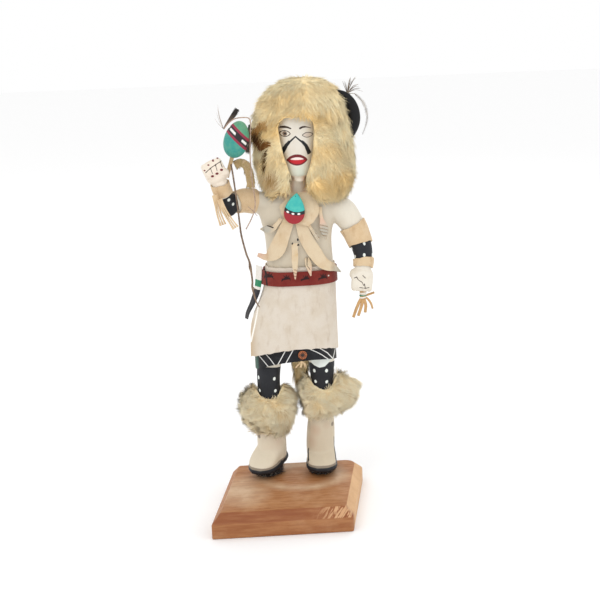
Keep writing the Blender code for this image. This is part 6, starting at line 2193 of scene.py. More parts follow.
def make_rosette():
    """A small turned button with a ring of petals round a sunk middle."""
    count = ROSETTE_PETALS * 10
    angles = np.arange(count) * 2 * math.pi / count
    petal = np.abs(np.cos(angles * ROSETTE_PETALS / 2))
    half = ROSETTE_THICKNESS / 2
    levels = ((0.90, half, 0), (0.98, half * 0.4, 1), (0.97, -half * 0.5, 1), (0.80, -half, 1), (0.55, -half * 0.75, 1),
              (0.40, -half * 0.15, 1), (0.34, -half * 0.1, 0), (0.28, -half * 0.6, 0), (0.08, -half * 0.85, 0))
    rings = []
    for share, depth, cut in levels:
        radius = ROSETTE_RADIUS * share * (1 - 0.10 * cut * (1 - petal))
        lift = half * 0.22 * cut * petal
        ring = [ROSETTE_PLACE_X + radius * np.cos(angles), ROSETTE_Y + depth - lift * (share < 0.9), ROSETTE_Z + radius * np.sin(angles)]
        rings.append(np.stack(np.broadcast_arrays(*ring), axis=1))
    mesh = closed_form("kilt_rosette", rings)
    points = points_of(mesh)
    across, up = points[:, 0] - ROSETTE_PLACE_X, points[:, 2] - ROSETTE_Z
    away, turn = np.hypot(across, up) / MM, np.arctan2(up, across)
    step = 2 * math.pi / ROSETTE_PETALS
    groove = np.abs((turn + step / 2) % step - step / 2) * away - 0.36
    groove = np.maximum(groove, np.abs(away - 2.7) - 1.7)
    set_paint(mesh, "groove_paint", both(groove, away - 1.0))
    coat = Coat("copper_finish", 0.5, Specular_IOR_Level=0.5, Coat_Weight=0.1)
    grain = coat.noise(0.0016, 3.0, 0.6)
    colour = coat.mix(coat.ramp(grain, 0.35, 0.70), tone(196, 112, 56), tone(150, 78, 40))
    coat.colour(coat.mix(coat.brushed("groove_paint", 0.12, 0.2), colour, tone(30, 14, 10)))
    coat.relief(grain, 0.0003, 0.4)
    piece = add_piece("kilt_rosette_carved", mesh, coat.material)
    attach(piece, "root")
    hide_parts("kilt_rosette")
    chance = np.random.default_rng(71)
    start = ROSETTE_Z - ROSETTE_RADIUS - FIT_GAP - TASSEL_RADIUS
    meshes = []
    for number in range(15):
        side = TASSEL_ENDS[number % 3] + chance.normal(scale=0.16)
        length = TASSEL_LENGTH * chance.uniform(0.62, 0.82)
        line = (
            (ROSETTE_PLACE_X - 0.3 * UNIT, ROSETTE_Y, start),
            (ROSETTE_PLACE_X + (side - 0.5) * UNIT * 0.6, ROSETTE_Y - 0.0004, start - length * 0.45),
            (ROSETTE_PLACE_X + (side - 0.6) * UNIT, ROSETTE_Y + chance.normal(scale=0.0004), start - length),
        )
        line, radii = smooth_line(line, [TASSEL_RADIUS * share for share in (0.55, 0.42, 0.28)], 8)
        meshes.append(stem(f"end_{number}", line, radii, 8, 0.6))
    mesh = joined("rosette_tassel", meshes)
    piece = add_piece("rosette_tassel_ends", mesh, tan_hide_material)
    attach(piece, "root")
    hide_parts("rosette_tassel")
    print("rosette and tassel ready")


make_rosette()

# %% [markdown]
# ## Arm bands and cuffs
# A band of tan suede goes round each upper arm and each wrist. They are cut, wrapped and glued, so their edges
# are a little uneven and their nap is soft.

# %% Bands
BAND_GAP = 0.0006
BAND_THICKNESS = 0.0012
BANDS = {
    "armband_raised": (RAISED_UPPER_ARM_ROWS, 0.42, 0.74),
    "armband_lowered": (LOWERED_ARM_ROWS, 0.36, 0.60),
    "wristband_raised": (RAISED_FOREARM_ROWS, 0.70, 0.95),
    "wristband_lowered": (LOWERED_ARM_ROWS, 0.82, 0.97),
}
BAND_LEVELS = 8


def make_band(node, rows, start, end):
    line, radii = limb_line(rows, BAND_LEVELS)
    levels = np.arange(BAND_LEVELS)
    at = np.linspace(start, end, 16) * (BAND_LEVELS - 1)
    middle = np.stack([np.interp(at, levels, line[:, axis]) for axis in range(3)], axis=1)
    middle[1:-1] = (middle[:-2] + middle[1:-1] * 2 + middle[2:]) / 4
    radius = np.interp(at, levels, radii) + BAND_GAP
    rings = stem_rings(middle, radius, 56)
    angles = np.arange(56) * 2 * math.pi / 56
    tangents = unit(np.gradient(middle, axis=0))
    for row, place in ((0, -1.0), (-1, 1.0)):
        uneven = 0.00035 * (np.sin(3 * angles + start * 9) + 0.6 * np.sin(7 * angles))
        rings[row] += tangents[row] * uneven[:, None]
    mesh = outward(hide_sheet(node, rings, BAND_THICKNESS, closed=True))
    wear_hide(node + "_hide", node, rings, mesh, tan_hide_material, True)


for node, (rows, start, end) in BANDS.items():
    make_band(node, rows, start, end)

# %% [markdown]
# ## Bib and pendant
# A bib of soft cream hide is cut into long feather-shaped ends which overlap down the chest. Their tips are
# painted grey, pink or striped like feathers. A turquoise teardrop with a red foot hangs over it.

# %% Strips of the bib
YOKE_ROWS = ((3.2, 75.2, 2.0, 0.0), (3.2, 72.0, 4.9, 0.0), (2.7, 69.4, 4.4, 0.0), (2.2, 67.6, 2.9, 0.0))
# Layer, then the rows of each end: across, up, half width, lift
BIB_STRIPS = {
    "bib_tip": (0, ((4.6, 58.2, 0.6, 0.1), (5.0, 56.4, 0.8, 0.9), (5.4, 53.9, 0.15, 1.7))),
    "bib_strip_left": (
        1,
        (
            (0.3, 68.4, 1.4, 0.0),
            (-1.4, 64.2, 1.8, 0.0),
            (-3.1, 60.4, 1.9, 0.3),
            (-5.4, 58.6, 1.0, 0.8),
            (-7.9, 59.4, 0.5, 1.2),
        ),
    ),
    "bib_strip_right": (
        1,
        (
            (3.2, 68.4, 1.3, 0.0),
            (4.4, 64.0, 1.7, 0.0),
            (6.4, 60.1, 1.8, 0.2),
            (8.6, 57.0, 1.5, 1.0),
            (11.2, 55.4, 1.0, 1.6),
            (13.4, 53.9, 0.15, 1.6),
        ),
    ),
    "bib_strip_centre": (2, ((1.6, 62.4, 0.8, 0.2), (1.45, 57.6, 0.8, 1.0), (1.35, 53.3, 0.15, 1.2))),
    "bib_strip_narrow": (2, ((4.1, 69.0, 0.35, 0.0), (5.8, 66.3, 0.4, 0.0), (7.7, 63.1, 0.5, 0.3))),
    "bib_feather_right": (
        2,
        ((8.3, 71.4, 0.5, 0.0), (8.7, 68.4, 0.5, 0.0), (9.2, 65.8, 1.1, 0.1), (9.8, 62.7, 0.15, 0.4)),
    ),
    "bib_feather_left": (
        2,
        ((-1.6, 68.9, 0.4, 0.0), (-3.6, 66.6, 0.7, 0.3), (-5.2, 66.1, 1.1, 0.8), (-7.0, 66.2, 0.15, 1.3)),
    ),
    "bib_yoke": (3, YOKE_ROWS),
}
BIB_LAYERS = 4
STRIP_CURL = 0.0006


def layer_clearance(layer):
    return FIT_GAP + layer * (STRIP_THICKNESS + FIT_GAP)


def strip_grid(rows, clearance):
    """The inner face of an end of the bib: it follows the chest, then lifts off it and curls at its edges."""
    line = np.array(along_rows(rows, 36))
    middle = np.array([figure_point(row[0], 0.0, row[1]) for row in line])
    along = unit(np.gradient(middle, axis=0))
    grid = []
    for number, (point, way, row) in enumerate(zip(middle, along, line)):
        cells = []
        for share in spread(-1.0, 1.0, 11):
            reach = row[2] * UNIT * share
            x, z = point[0] - way[2] * reach, point[2] + way[0] * reach
            curl = STRIP_CURL * share**2 * (0.4 + number / len(line))
            wave = 0.0002 * math.sin(number * 0.5 + share * 2.0)
            cells.append((x, torso_face(x, z) - clearance - row[3] * UNIT - curl - wave, z))
        grid.append(cells)
    return np.array(grid[::-1])


def bib_marks_and_gap_shade(spots):
    dark = both(
        stroke(spots, ((-14.6, 302.4), (-6.9, 299.2)), 1.3),
        # The next three dabs are painted shade, the dark that shows in the gaps between the ends; the other marks are
        # paint.
        dab(spots, (11.9, 282.4), 1.0, 1.3),
        dab(spots, (17.3, 286.4), 0.7, 1.5),
        dab(spots, (17.9, 280.5), 1.4, 1.0),
        stroke(spots, ((27.0, 268.6), (26.2, 258.6), (28.9, 254.6)), 0.9, 0.6),
        stroke(spots, ((21.5, 279.0), (27.0, 268.5), (36.6, 259.5)), 0.7, 0.4),
        dab(spots, (36.2, 283.6), 0.9, 0.6),
        dab(spots, (44.2, 284.2), 0.8, 0.8),
    )
    return dark


def bib_finish():
    coat, colour = hide_coat("bib_finish", tone(219, 200, 170), tone(176, 144, 104), tone(206, 178, 140))
    broad = coat.noise(0.011, 3.0, 0.6)
    colour = coat.mix(coat.ramp(broad, 0.56, 0.78, 0.0, 0.55), colour, tone(206, 176, 124))
    colour = coat.mix(coat.mark("grey_share"), colour, tone(186, 180, 166))
    colour = coat.mix(coat.mark("pink_share"), colour, tone(222, 186, 164))
    colour = coat.mix(coat.brushed("stripe_paint", 0.25, 0.3), colour, tone(150, 128, 104))
    # dark_paint here holds the painted marks and the painted shade between the ends.
    colour = coat.mix(coat.brushed("dark_paint", 0.22, 0.35), colour, tone(34, 26, 24))
    coat.colour(colour)
    return coat.material


bib_material = bib_finish()


def make_strip(name, layer, rows):
    grid = strip_grid(rows, layer_clearance(layer))
    mesh = outward(hide_sheet(name, grid, STRIP_THICKNESS))
    points = points_of(mesh)
    spots = points[:, [0, 2]] / MM
    # The dark marks include painted shade at the gaps between the ends.
    set_paint(mesh, "dark_paint", bib_marks_and_gap_shade(spots))
    grey = np.zeros(len(points))
    pink = np.zeros(len(points))
    for middle, radius in (((61.4, 250.0), 9.0), ((-14.0, 297.5), 7.0), ((43.8, 293.0), 10.0)):
        grey = np.maximum(grey, np.clip(1.4 - np.hypot(*(spots - middle).T) / radius, 0.0, 1.0))
    for middle, radius in (((31.8, 252.0), 6.0), ((-22.0, 270.5), 8.0), ((13.9, 249.0), 6.0), ((43.0, 304.0), 6.0)):
        pink = np.maximum(pink, np.clip(1.3 - np.hypot(*(spots - middle).T) / radius, 0.0, 1.0))
    set_paint(mesh, "grey_share", grey)
    set_paint(mesh, "pink_share", pink * 0.8)
    slanting = spots[:, 1] * 0.94 + spots[:, 0] * 0.34
    stripes = np.abs(slanting % 3.2 - 1.6) - 0.55
    striped = np.minimum(np.hypot(*(spots - (43.8, 293.0)).T) - 8.0, np.hypot(*(spots - (13.9, 250.0)).T) - 6.0)
    set_paint(mesh, "stripe_paint", np.maximum(stripes, striped))
    wear_hide(name + "_hide", name, grid, mesh, bib_material)


for name, (layer, rows) in BIB_STRIPS.items():
    make_strip(name, layer, rows)

# %% Pendant
PENDANT_WIDTH = 0.0245
PENDANT_LENGTH = 0.0320
PENDANT_THICKNESS = 0.0030
PENDANT_TILT = math.radians(9.0)
PENDANT_MIDDLE = (1.9, 71.7)


def make_pendant():
    place = figure_point(PENDANT_MIDDLE[0], 0.0, PENDANT_MIDDLE[1])
    heights = [place[2] + share * PENDANT_LENGTH / 2 for share in (-1.0, -0.5, 0.0)]
    chest = min(torso_face(place[0], height) for height in heights)
    place[1] = chest - layer_clearance(BIB_LAYERS) - FIT_GAP - PENDANT_THICKNESS / 2
    count = 144
    angle = np.arange(count) * 2 * math.pi / count
    half = PENDANT_THICKNESS / 2
    levels = [(0.93, half), (0.98, half * 0.8), (1.0, half * 0.3), (1.0, -half * 0.35), (0.975, -half * 0.72)]
    levels += [(0.93, -half * 0.93), (0.86, -half)] + [(share, -half) for share in spread(0.80, 0.04, 34)]
    x = PENDANT_WIDTH / 2 * 1.06 * np.sin(angle) * np.abs(np.sin(angle / 2)) ** 0.75
    z = PENDANT_LENGTH / 2 * np.cos(angle)
    heart = -0.12 * PENDANT_LENGTH
    rings = [np.stack([x * share, np.full(count, y), heart + (z - heart) * share], axis=1) for share, y in levels]
    mesh = closed_form("pendant", rings)
    matrix = Matrix.Translation(Vector(place)) @ Matrix.Rotation(PENDANT_TILT, 4, "Y")
    move_points(mesh, placed(points_of(mesh), matrix))
    spots = points_of(mesh)[:, [0, 2]] / MM
    arc = ((1.0, 324.6), (3.4, 321.4), (8.0, 317.0), (13.8, 314.5), (19.0, 313.8), (24.3, 315.0), (28.0, 316.6))
    set_paint(mesh, "black_paint", stroke(spots, arc, 3.4))
    ovals = ((4.2, 320.5, 0.8, 1.5, -35), (8.2, 316.4, 1.5, 0.95, -32), (13.4, 314.2, 1.5, 0.95, -10), (19.4, 313.7, 1.5, 0.95, 6))
    white = both(*[dab(spots, (a, b), wide, high, math.radians(turn)) for a, b, wide, high, turn in ovals])
    set_paint(mesh, "white_paint", white)
    low = patch(spots, ((-3.0, 325.0), *arc, (31.0, 300.0), (-3.0, 300.0)))
    set_paint(mesh, "red_paint", low)
    # A dark dot near the top is painted shade in place of a small hole, which is not cut.
    set_paint(mesh, "hole_shade_paint", dab(spots, (16.6, 332.2), 0.7, 0.7))
    coat = Coat("pendant_finish", 0.42, Specular_IOR_Level=0.45, Coat_Weight=0.05)
    cloud = coat.noise(0.006, 3.0)
    grain = coat.noise(0.0012, 3.0, 0.6)
    colour = coat.mix(coat.ramp(cloud, 0.35, 0.70), tone(50, 176, 170), tone(76, 190, 176))
    colour = coat.mix(coat.brushed("red_paint", 0.1, 0.3), colour, tone(158, 26, 38))
    colour = coat.mix(coat.brushed("black_paint", 0.1, 0.3), colour, tone(22, 22, 26))
    colour = coat.mix(coat.brushed("white_paint", 0.12, 0.3), colour, tone(246, 244, 240))
    # Painted shade in place of the hole.
    colour = coat.mix(coat.brushed("hole_shade_paint", 0.15, 0.2), colour, tone(20, 40, 40))
    coat.colour(colour)
    coat.relief(grain, 0.0003, 0.35)
    piece = add_piece("pendant_painted", mesh, coat.material)
    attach(piece, "root")
    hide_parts("pendant")
    print("pendant:", triangles_in(mesh), "triangles")


make_pendant()

# %% [markdown]
# ## Rattle
# The raised hand holds a gourd-shaped rattle turned from wood. Its lower dome is turquoise and its top greener,
# and between them runs a black belt with white dashes between two maroon lines, all on a slant.

# %% Rattle
RATTLE_RADIUS = 0.0124
RATTLE_LENGTH = 0.0375
RATTLE_HANDLE_RADIUS = 0.0020
RATTLE_LOW = figure_point(-13.35, -7.0, 85.4)
RATTLE_UP = unit(figure_point(-10.7, -7.0, 94.3) - RATTLE_LOW)
RATTLE_SIDE = unit(np.cross((0.0, 1.0, 0.0), RATTLE_UP))


def make_rattle():
    up, side, forward = RATTLE_UP, RATTLE_SIDE, np.cross(RATTLE_UP, RATTLE_SIDE)
    turns = np.arange(72) * 2 * math.pi / 72
    rings = []
    for angle in spread(math.pi * 0.995, math.pi * 0.005, 64):
        height = RATTLE_LENGTH / 2 * (1 + math.cos(angle))
        radius = RATTLE_RADIUS * math.sin(angle) * (1 - 0.10 * math.cos(angle))
        ring = np.cos(turns)[:, None] * side + np.sin(turns)[:, None] * forward
        rings.append(RATTLE_LOW + up * height + ring * radius)
    egg = closed_form("egg", rings)
    handle_line = [RATTLE_LOW + up * (RATTLE_RADIUS * 0.5 - share * (RATTLE_RADIUS * 0.5 + 0.0205)) for share in spread(0, 1, 12)]
    handle = stem("handle", handle_line, [RATTLE_HANDLE_RADIUS] * 12, 20)
    mesh = joined("rattle", [egg, handle])
    points = points_of(mesh) - RATTLE_LOW
    along, across, front = points @ up / MM, points @ side / MM, points @ forward / MM
    level = (along - 23.3 + 0.58 * across) * 0.865
    set_paint(mesh, "maroon_paint", np.abs(level) - 5.3)
    set_paint(mesh, "black_paint", np.abs(level) - 2.9)
    turn = np.arctan2(points @ RATTLE_SIDE, -points[:, 1]) / math.pi * 180
    dashes = []
    for place in (-38.0, 38.0, 100.0, 152.0, -100.0, -152.0):
        half = 24.0 if place != 38.0 else 17.0
        away = (np.abs(turn - place) - half) * 0.19
        dashes.append(np.maximum(away, np.abs(level) - 1.15))
    set_paint(mesh, "white_paint", both(*dashes))
    set_paint(mesh, "green_paint", -level)
    set_paint(mesh, "handle_paint", along - 0.2)
    coat = Coat("rattle_finish", 0.5, Specular_IOR_Level=0.4)
    cloud = coat.noise(0.006, 3.0, 0.6)
    grain = coat.noise(0.0015, 3.0, 0.65)
    colour = coat.mix(coat.ramp(cloud, 0.32, 0.68), tone(42, 142, 136), tone(78, 156, 138))
    top = coat.mix(coat.ramp(cloud, 0.35, 0.70), tone(78, 152, 118), tone(106, 160, 126))
    colour = coat.mix(coat.brushed("green_paint", 0.3, 0.3), colour, top)
    colour = coat.mix(coat.brushed("maroon_paint", 0.2, 0.45), colour, tone(146, 44, 66))
    colour = coat.mix(coat.brushed("black_paint", 0.2, 0.4), colour, tone(38, 32, 34))
    colour = coat.mix(coat.brushed("white_paint", 0.15, 0.3), colour, tone(232, 232, 226))
    colour = coat.mix(coat.brushed("handle_paint", 0.3, 0.4), colour, tone(186, 158, 118))
    coat.colour(colour)
    coat.relief(grain, 0.0003, 0.4)
    piece = add_piece("rattle_painted", mesh, coat.material)
    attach(piece, "root")
    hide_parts("rattle")
    print("rattle:", triangles_in(mesh), "triangles; front is", round(float(front.min()), 1))


make_rattle()

# %% Feather of the rattle
FEATHER_ROWS = (
    (-15.1, -5.6, 92.4, 0.25),
    (-14.0, -5.6, 94.0, 0.45),
    (-12.6, -5.6, 95.6, 0.85),
    (-11.9, -5.6, 96.6, 0.75),
    (-11.5, -5.6, 97.2, 0.15),
)


def make_rattle_feather():
    line, half_widths = limb_line(FEATHER_ROWS, 44)
    vane = feather("rattle_vane", line, half_widths * 1.15, (0.0, -1.0, 0.0), 0.00045, 0.00024, 81)
    rings = stem_rings(line, half_widths * 0.72, 16, 1.0)
    first = np.array(line)
    rings = first[:, None] + (rings - first[:, None]) * np.array((1.0, 0.22, 1.0))
    web = closed_form("rattle_web", rings)
    chance = np.random.default_rng(82)
    wisps = []
    start = figure_point(-15.1, -5.6, 92.4)
    for number, (x, z) in enumerate(((-16.9, 96.4), (-16.2, 98.0), (-16.0, 98.4), (-17.2, 95.4), (-16.6, 97.2))):
        end = figure_point(x, -5.6, z) + chance.normal(scale=0.0006, size=3)
        middle = start * 0.5 + end * 0.5 + np.array((-0.0009, 0.0, 0.0))
        wisp, radii = smooth_line((start, middle, end), (0.00022, 0.00018, 0.00007), 8)
        wisps.append(stem(f"wisp_{number}", wisp, radii, 5))
    mesh = joined("rattle_feather", [vane, web, *wisps])
    heights = (points_of(mesh)[:, 2] - line[0][2]) / (line[-1][2] - line[0][2])
    shades = np.tile(np.array(tone(112, 96, 84)), (len(heights), 1))
    shades = blend_colour(shades, tone(36, 30, 28), np.clip(heights * 3.0 - 1.3, 0.0, 1.0))
    loose = points_of(mesh)[:, 0] < start[0] - 0.0004
    shades = blend_colour(shades, tone(206, 190, 176), loose.astype(float))
    set_colour(mesh, "hair", shades)
    piece = add_piece("rattle_feather_barbs", mesh, dark_fur_material)
    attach(piece, "root")
    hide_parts("rattle_feather")
    print("rattle feather:", triangles_in(mesh), "triangles")


make_rattle_feather()

# %% [markdown]
# ## Twig and straw
# A long thin twig hangs from the raised hand, with a knot half way down and a stub of a side shoot. A dry
# grass stalk loops over the rattle and falls beside the arm, crossed by a short broken bit.

# %% Twig and straw
TWIG_RADIUS = 0.0009
STRAW_RADIUS = 0.0005
TWIG_ROWS = (
    (-13.7, -8.6, 84.0, 1.0),
    (-13.3, -9.0, 81.0, 0.95),
    (-12.9, -9.2, 77.0, 0.90),
    (-12.5, -9.3, 72.7, 0.90),
    (-12.2, -9.0, 68.8, 1.0),
    (-11.9, -8.4, 65.6, 1.05),
    (-10.9, -7.4, 60.8, 1.1),
    (-10.2, -6.9, 58.6, 1.15),
    (-10.0, -6.6, 56.9, 1.8),
    (-9.8, -6.5, 55.6, 1.2),
    (-9.6, -6.4, 53.2, 1.1),
    (-9.7, -6.4, 51.6, 1.25),
    (-9.3, -6.5, 49.6, 1.0),
    (-8.8, -6.6, 47.6, 0.8),
    (-8.1, -6.7, 46.3, 0.6),
)
STRAW_ROWS = (
    (-15.0, -8.6, 92.9, 1.0),
    (-13.9, -8.8, 94.2, 1.0),
    (-12.2, -8.9, 95.3, 1.0),
    (-10.2, -8.8, 95.5, 1.0),
    (-8.8, -8.4, 95.2, 1.0),
    (-8.4, -7.8, 93.9, 1.0),
    (-8.5, -7.2, 91.6, 1.0),
    (-8.8, -6.8, 86.0, 1.0),
    (-8.6, -6.8, 79.5, 1.1),
    (-8.1, -8.2, 75.0, 1.1),
    (-8.3, -8.6, 72.3, 1.0),
    (-9.3, -8.6, 69.8, 1.0),
    (-10.7, -9.0, 67.4, 1.0),
)
SIDE_SHOOT = ((-9.7, -6.4, 51.9, 0.8), (-9.2, -6.5, 51.3, 0.6), (-8.7, -6.6, 51.1, 0.4))
CROSS_TWIG = ((-9.9, -7.6, 72.9, 0.8), (-8.8, -8.2, 71.9, 1.0), (-7.7, -8.7, 70.6, 0.6))


def bark_finish(name, dark, light):
    coat = Coat(name, 0.7, Specular_IOR_Level=0.3)
    grain = coat.noise(0.0012, 4.0, 0.65, coat.stretched(1.0, 1.0, 0.25))
    broad = coat.noise(0.009, 2.0)
    colour = coat.mix(coat.ramp(grain, 0.35, 0.68), dark, light)
    colour = coat.mix(coat.ramp(broad, 0.42, 0.70, 0.0, 0.5), colour, light)
    coat.colour(colour)
    coat.relief(grain, 0.0005, 0.6)
    return coat.material


def shoot(name, rows, radius, count, sides):
    read = np.array(along_rows(rows, count))
    line = np.array([figure_point(*row[:3]) for row in read])
    bumps = 1 + 0.06 * np.sin(np.arange(count) * 2.3)
    return stem(name, line, read[:, 3] * radius * bumps, sides)


def make_twig_and_straw():
    twig = joined(
        "twig",
        [shoot("twig_stem", TWIG_ROWS, TWIG_RADIUS, 110, 12), shoot("side", SIDE_SHOOT, TWIG_RADIUS * 0.8, 10, 8)],
    )
    straw = joined(
        "straw",
        [
            shoot("straw_stem", STRAW_ROWS, STRAW_RADIUS * 1.15, 130, 10),
            shoot("cross", CROSS_TWIG, STRAW_RADIUS * 0.9, 10, 8),
        ],
    )
    for name, node, mesh, material in (
        ("twig_bark", "twig", twig, bark_finish("twig_finish", tone(88, 68, 54), tone(148, 126, 106))),
        ("straw_stalk", "straw", straw, bark_finish("straw_finish", tone(150, 122, 104), tone(196, 172, 154))),
    ):
        piece = add_piece(name, mesh, material)
        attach(piece, "root")
        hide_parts(node)
        print(name, triangles_in(mesh), "triangles")


make_twig_and_straw()

# %% [markdown]
# ## Strap, fringes and thongs
# A woolly strap of hide loops from the rattle's handle to the shoulder, two fringe ends hang from the raised
# wrist, and a bunch of thongs with a white and green knot hangs from the lowered hand.

# %% Strap and fringes
STRAP_ROWS = (
    (-12.6, -5.6, 83.3),
    (-11.4, -5.6, 83.9),
    (-10.0, -5.6, 83.2),
    (-9.3, -5.4, 81.2),
    (-9.0, -5.2, 79.2),
    (-9.0, -5.4, 77.6),
)
FRINGE_ROWS = {
    "wrist_fringe_left": ((-18.1, -9.6, 76.6), (-17.7, -9.8, 74.4), (-17.2, -9.8, 71.6), (-16.4, -9.6, 69.0)),
    "wrist_fringe_right": ((-17.0, -10.2, 75.6), (-16.0, -10.4, 73.0), (-14.6, -10.4, 70.4), (-13.3, -10.2, 68.2)),
}
STRAP_WIDTH = 0.0075
FRINGE_WIDTH = 0.0046
FORWARD = np.array((0.0, -1.0, 0.0))


def ribbon_grid(rows, width, taper, cup):
    """The back face of a strip of hide that lies square to its line and faces forwards, a little cupped."""
    line = np.array(along_rows(rows, 30))
    middle = np.array([figure_point(*row) for row in line])
    along = unit(np.gradient(middle, axis=0))
    sides = unit(np.cross(along, FORWARD))
    grid = []
    for number, (point, side) in enumerate(zip(middle, sides)):
        share = number / (len(middle) - 1)
        half = width / 2 * (1 - (1 - taper) * share)
        cells = []
        for across in spread(-1.0, 1.0, 9):
            cells.append(point + side * half * across + FORWARD * cup * (across**2) * (1 - 0.4 * share))
        grid.append(cells)
    return np.array(grid)


def make_ribbon(name, rows, width, taper, cup):
    grid = ribbon_grid(rows, width, taper, cup)
    u, v = grid[0, 1] - grid[0, 0], grid[1, 0] - grid[0, 0]
    if np.dot(np.cross(u, v), FORWARD) < 0:
        grid = grid[:, ::-1]
    mesh = outward(hide_sheet(name, grid, SUEDE_THICKNESS))
    wear_hide(name + "_hide", name, grid, mesh, tan_hide_material)
    return mesh


strap_mesh = make_ribbon("hide_strap", STRAP_ROWS, STRAP_WIDTH, 1.0, 0.0004)


def make_fringe(name, rows):
    """A strip of hide cut into three tongues, which part below and flare at their ends."""
    grid = ribbon_grid(rows, FRINGE_WIDTH, 0.9, -0.0005)
    u, v = grid[0, 1] - grid[0, 0], grid[1, 0] - grid[0, 0]
    if np.dot(np.cross(u, v), FORWARD) < 0:
        grid = grid[:, ::-1]
    meshes = []
    for number in (-1, 0, 1):
        tongue = []
        for share, row in zip(np.linspace(0.0, 1.0, len(grid)), grid):
            half = 0.38 - 0.09 * min(1.0, share * 2.5) + 0.16 * max(0.0, (share - 0.84) / 0.16)
            side = unit(row[-1] - row[0])
            shift = side * number * 0.0011 * share**2 + FORWARD * 0.0005 * math.sin(2.0 * number + 5 * share) * share
            cells = np.clip(0.60 * number + half * spread(-1.0, 1.0, 5), -1.0, 1.0)
            places = [np.interp(cells, np.linspace(-1.0, 1.0, len(row)), row[:, axis]) for axis in range(3)]
            tongue.append(np.stack(places, axis=1) + shift)
        meshes.append(hide_sheet(f"tongue_{number}", np.array(tongue), SUEDE_THICKNESS))
    mesh = outward(joined(name, meshes))
    wear_hide(name + "_hide", name, grid, mesh, tan_hide_material)


for name, rows in FRINGE_ROWS.items():
    make_fringe(name, rows)

# %% Wool on the strap
def strap_wool_colours(roots, chance):
    count = len(roots)
    return np.tile(np.array(tone(190, 158, 104)), (count, 1)), np.tile(np.array(tone(222, 200, 156)), (count, 1))


def make_strap_wool():
    def all_over(points, normals):
        return np.ones(len(points))

    def comb(points, normals):
        return np.array((0.2, 0.0, -1.0)) + drift(points, 0.005, 91) * 0.5

    hair = comb_fur(
        "hide_strap_wool", strap_mesh, 1300, 92, all_over, comb, lambda points: np.full(len(points), 0.0027),
        0.00020, 0.30, 0.4, strap_wool_colours, 2, 14,
    )
    piece = add_piece("hide_strap_wool", hair, fur_material)
    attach(piece, "root")
    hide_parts("hide_strap")
    print("strap wool:", triangles_in(hair), "triangles")


make_strap_wool()

# %% Thongs of the lowered hand
THONG_RADIUS = 0.0012
THONG_KNOT = (18.8, -5.6, 47.6)
THONG_KNOT_RADIUS = 0.85
THONG_ENDS = (
    ((18.0, -5.9, 46.6), (17.0, -6.2, 44.6), (16.1, -6.2, 42.2)),
    ((18.6, -6.0, 46.2), (18.0, -6.4, 44.4), (17.4, -6.3, 42.6)),
    ((19.2, -5.9, 46.3), (19.4, -6.3, 45.2), (19.2, -6.3, 43.4)),
    ((19.9, -5.6, 46.9), (20.8, -5.8, 45.6), (21.2, -5.8, 44.2)),
    ((19.9, -5.4, 47.8), (20.9, -5.4, 48.1), (21.8, -5.4, 48.4)),
)


def make_thongs():
    knot = figure_point(*THONG_KNOT)
    turns = np.arange(90) * 2 * math.pi * 3.5 / 90
    wrap = np.stack([np.cos(turns) * 0.86, np.sin(turns) * 0.80, np.linspace(-0.75, 1.5, 90)], axis=1)
    wrapping = stem("wrapping", knot + wrap * THONG_KNOT_RADIUS * UNIT, [0.0010] * 90, 10)
    ball = stem("ball", [knot + np.array((0, 0, h)) * UNIT for h in (-0.8, -0.5, 0.0, 0.5, 0.8)],
                [share * UNIT for share in (0.35, 0.75, 0.85, 0.75, 0.35)], 18)
    stub = stem("stub", [knot + np.array((0.0, 0.0, h)) * UNIT for h in (0.3, 0.9, 1.6)], [0.75 * UNIT] * 3, 14)
    meshes = [wrapping, ball, stub]
    for number, ends in enumerate(THONG_ENDS):
        line = [knot] + [figure_point(*end) for end in ends]
        line, radii = smooth_line(line, [THONG_RADIUS * share for share in (1.0, 1.35, 1.35, 1.25)], 16)
        meshes.append(stem(f"thong_{number}", line, radii, 12, 0.7))
    mesh = joined("hand_thongs", meshes)
    points = points_of(mesh)
    wrap_share = np.zeros(len(points))
    wrap_share[: 90 * 10 + 2] = 1.0
    set_paint(mesh, "wrap_share", wrap_share)
    green = np.abs(points[:, 2] - knot[2] - 0.0010) / MM - 0.8
    set_paint(mesh, "green_paint", np.where(wrap_share > 0, green, FAR))
    coat, colour = hide_coat("thong_finish", tone(206, 168, 118), tone(150, 104, 62), tone(188, 142, 92))
    colour = coat.mix(coat.mark("wrap_share"), colour, tone(236, 232, 224))
    colour = coat.mix(coat.brushed("green_paint", 0.2, 0.3), colour, tone(56, 128, 96))
    coat.colour(colour)
    piece = add_piece("hand_thongs_tied", mesh, coat.material)
    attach(piece, "root")
    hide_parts("hand_thongs")
    print("thongs:", triangles_in(mesh), "triangles")


make_thongs()

# %% [markdown]
# ## Plinth
# The doll stands on a sawn block of cottonwood or pine whose corners were never quite square. Its upper edges
# are cut at a slant and saw marks cross the front slope. The top has pale patches, which are painted highlights.

# %% Plinth
PLINTH_WIDTH = 0.144
PLINTH_DEPTH = 0.141
PLINTH_SKEW = math.radians(10.0)
CHAMFER_WIDTH = 0.0084
CHAMFER_HEIGHT = 0.0099
CORNER_RADIUS = 0.0020
WORN_CORNER_RADIUS = 0.0120


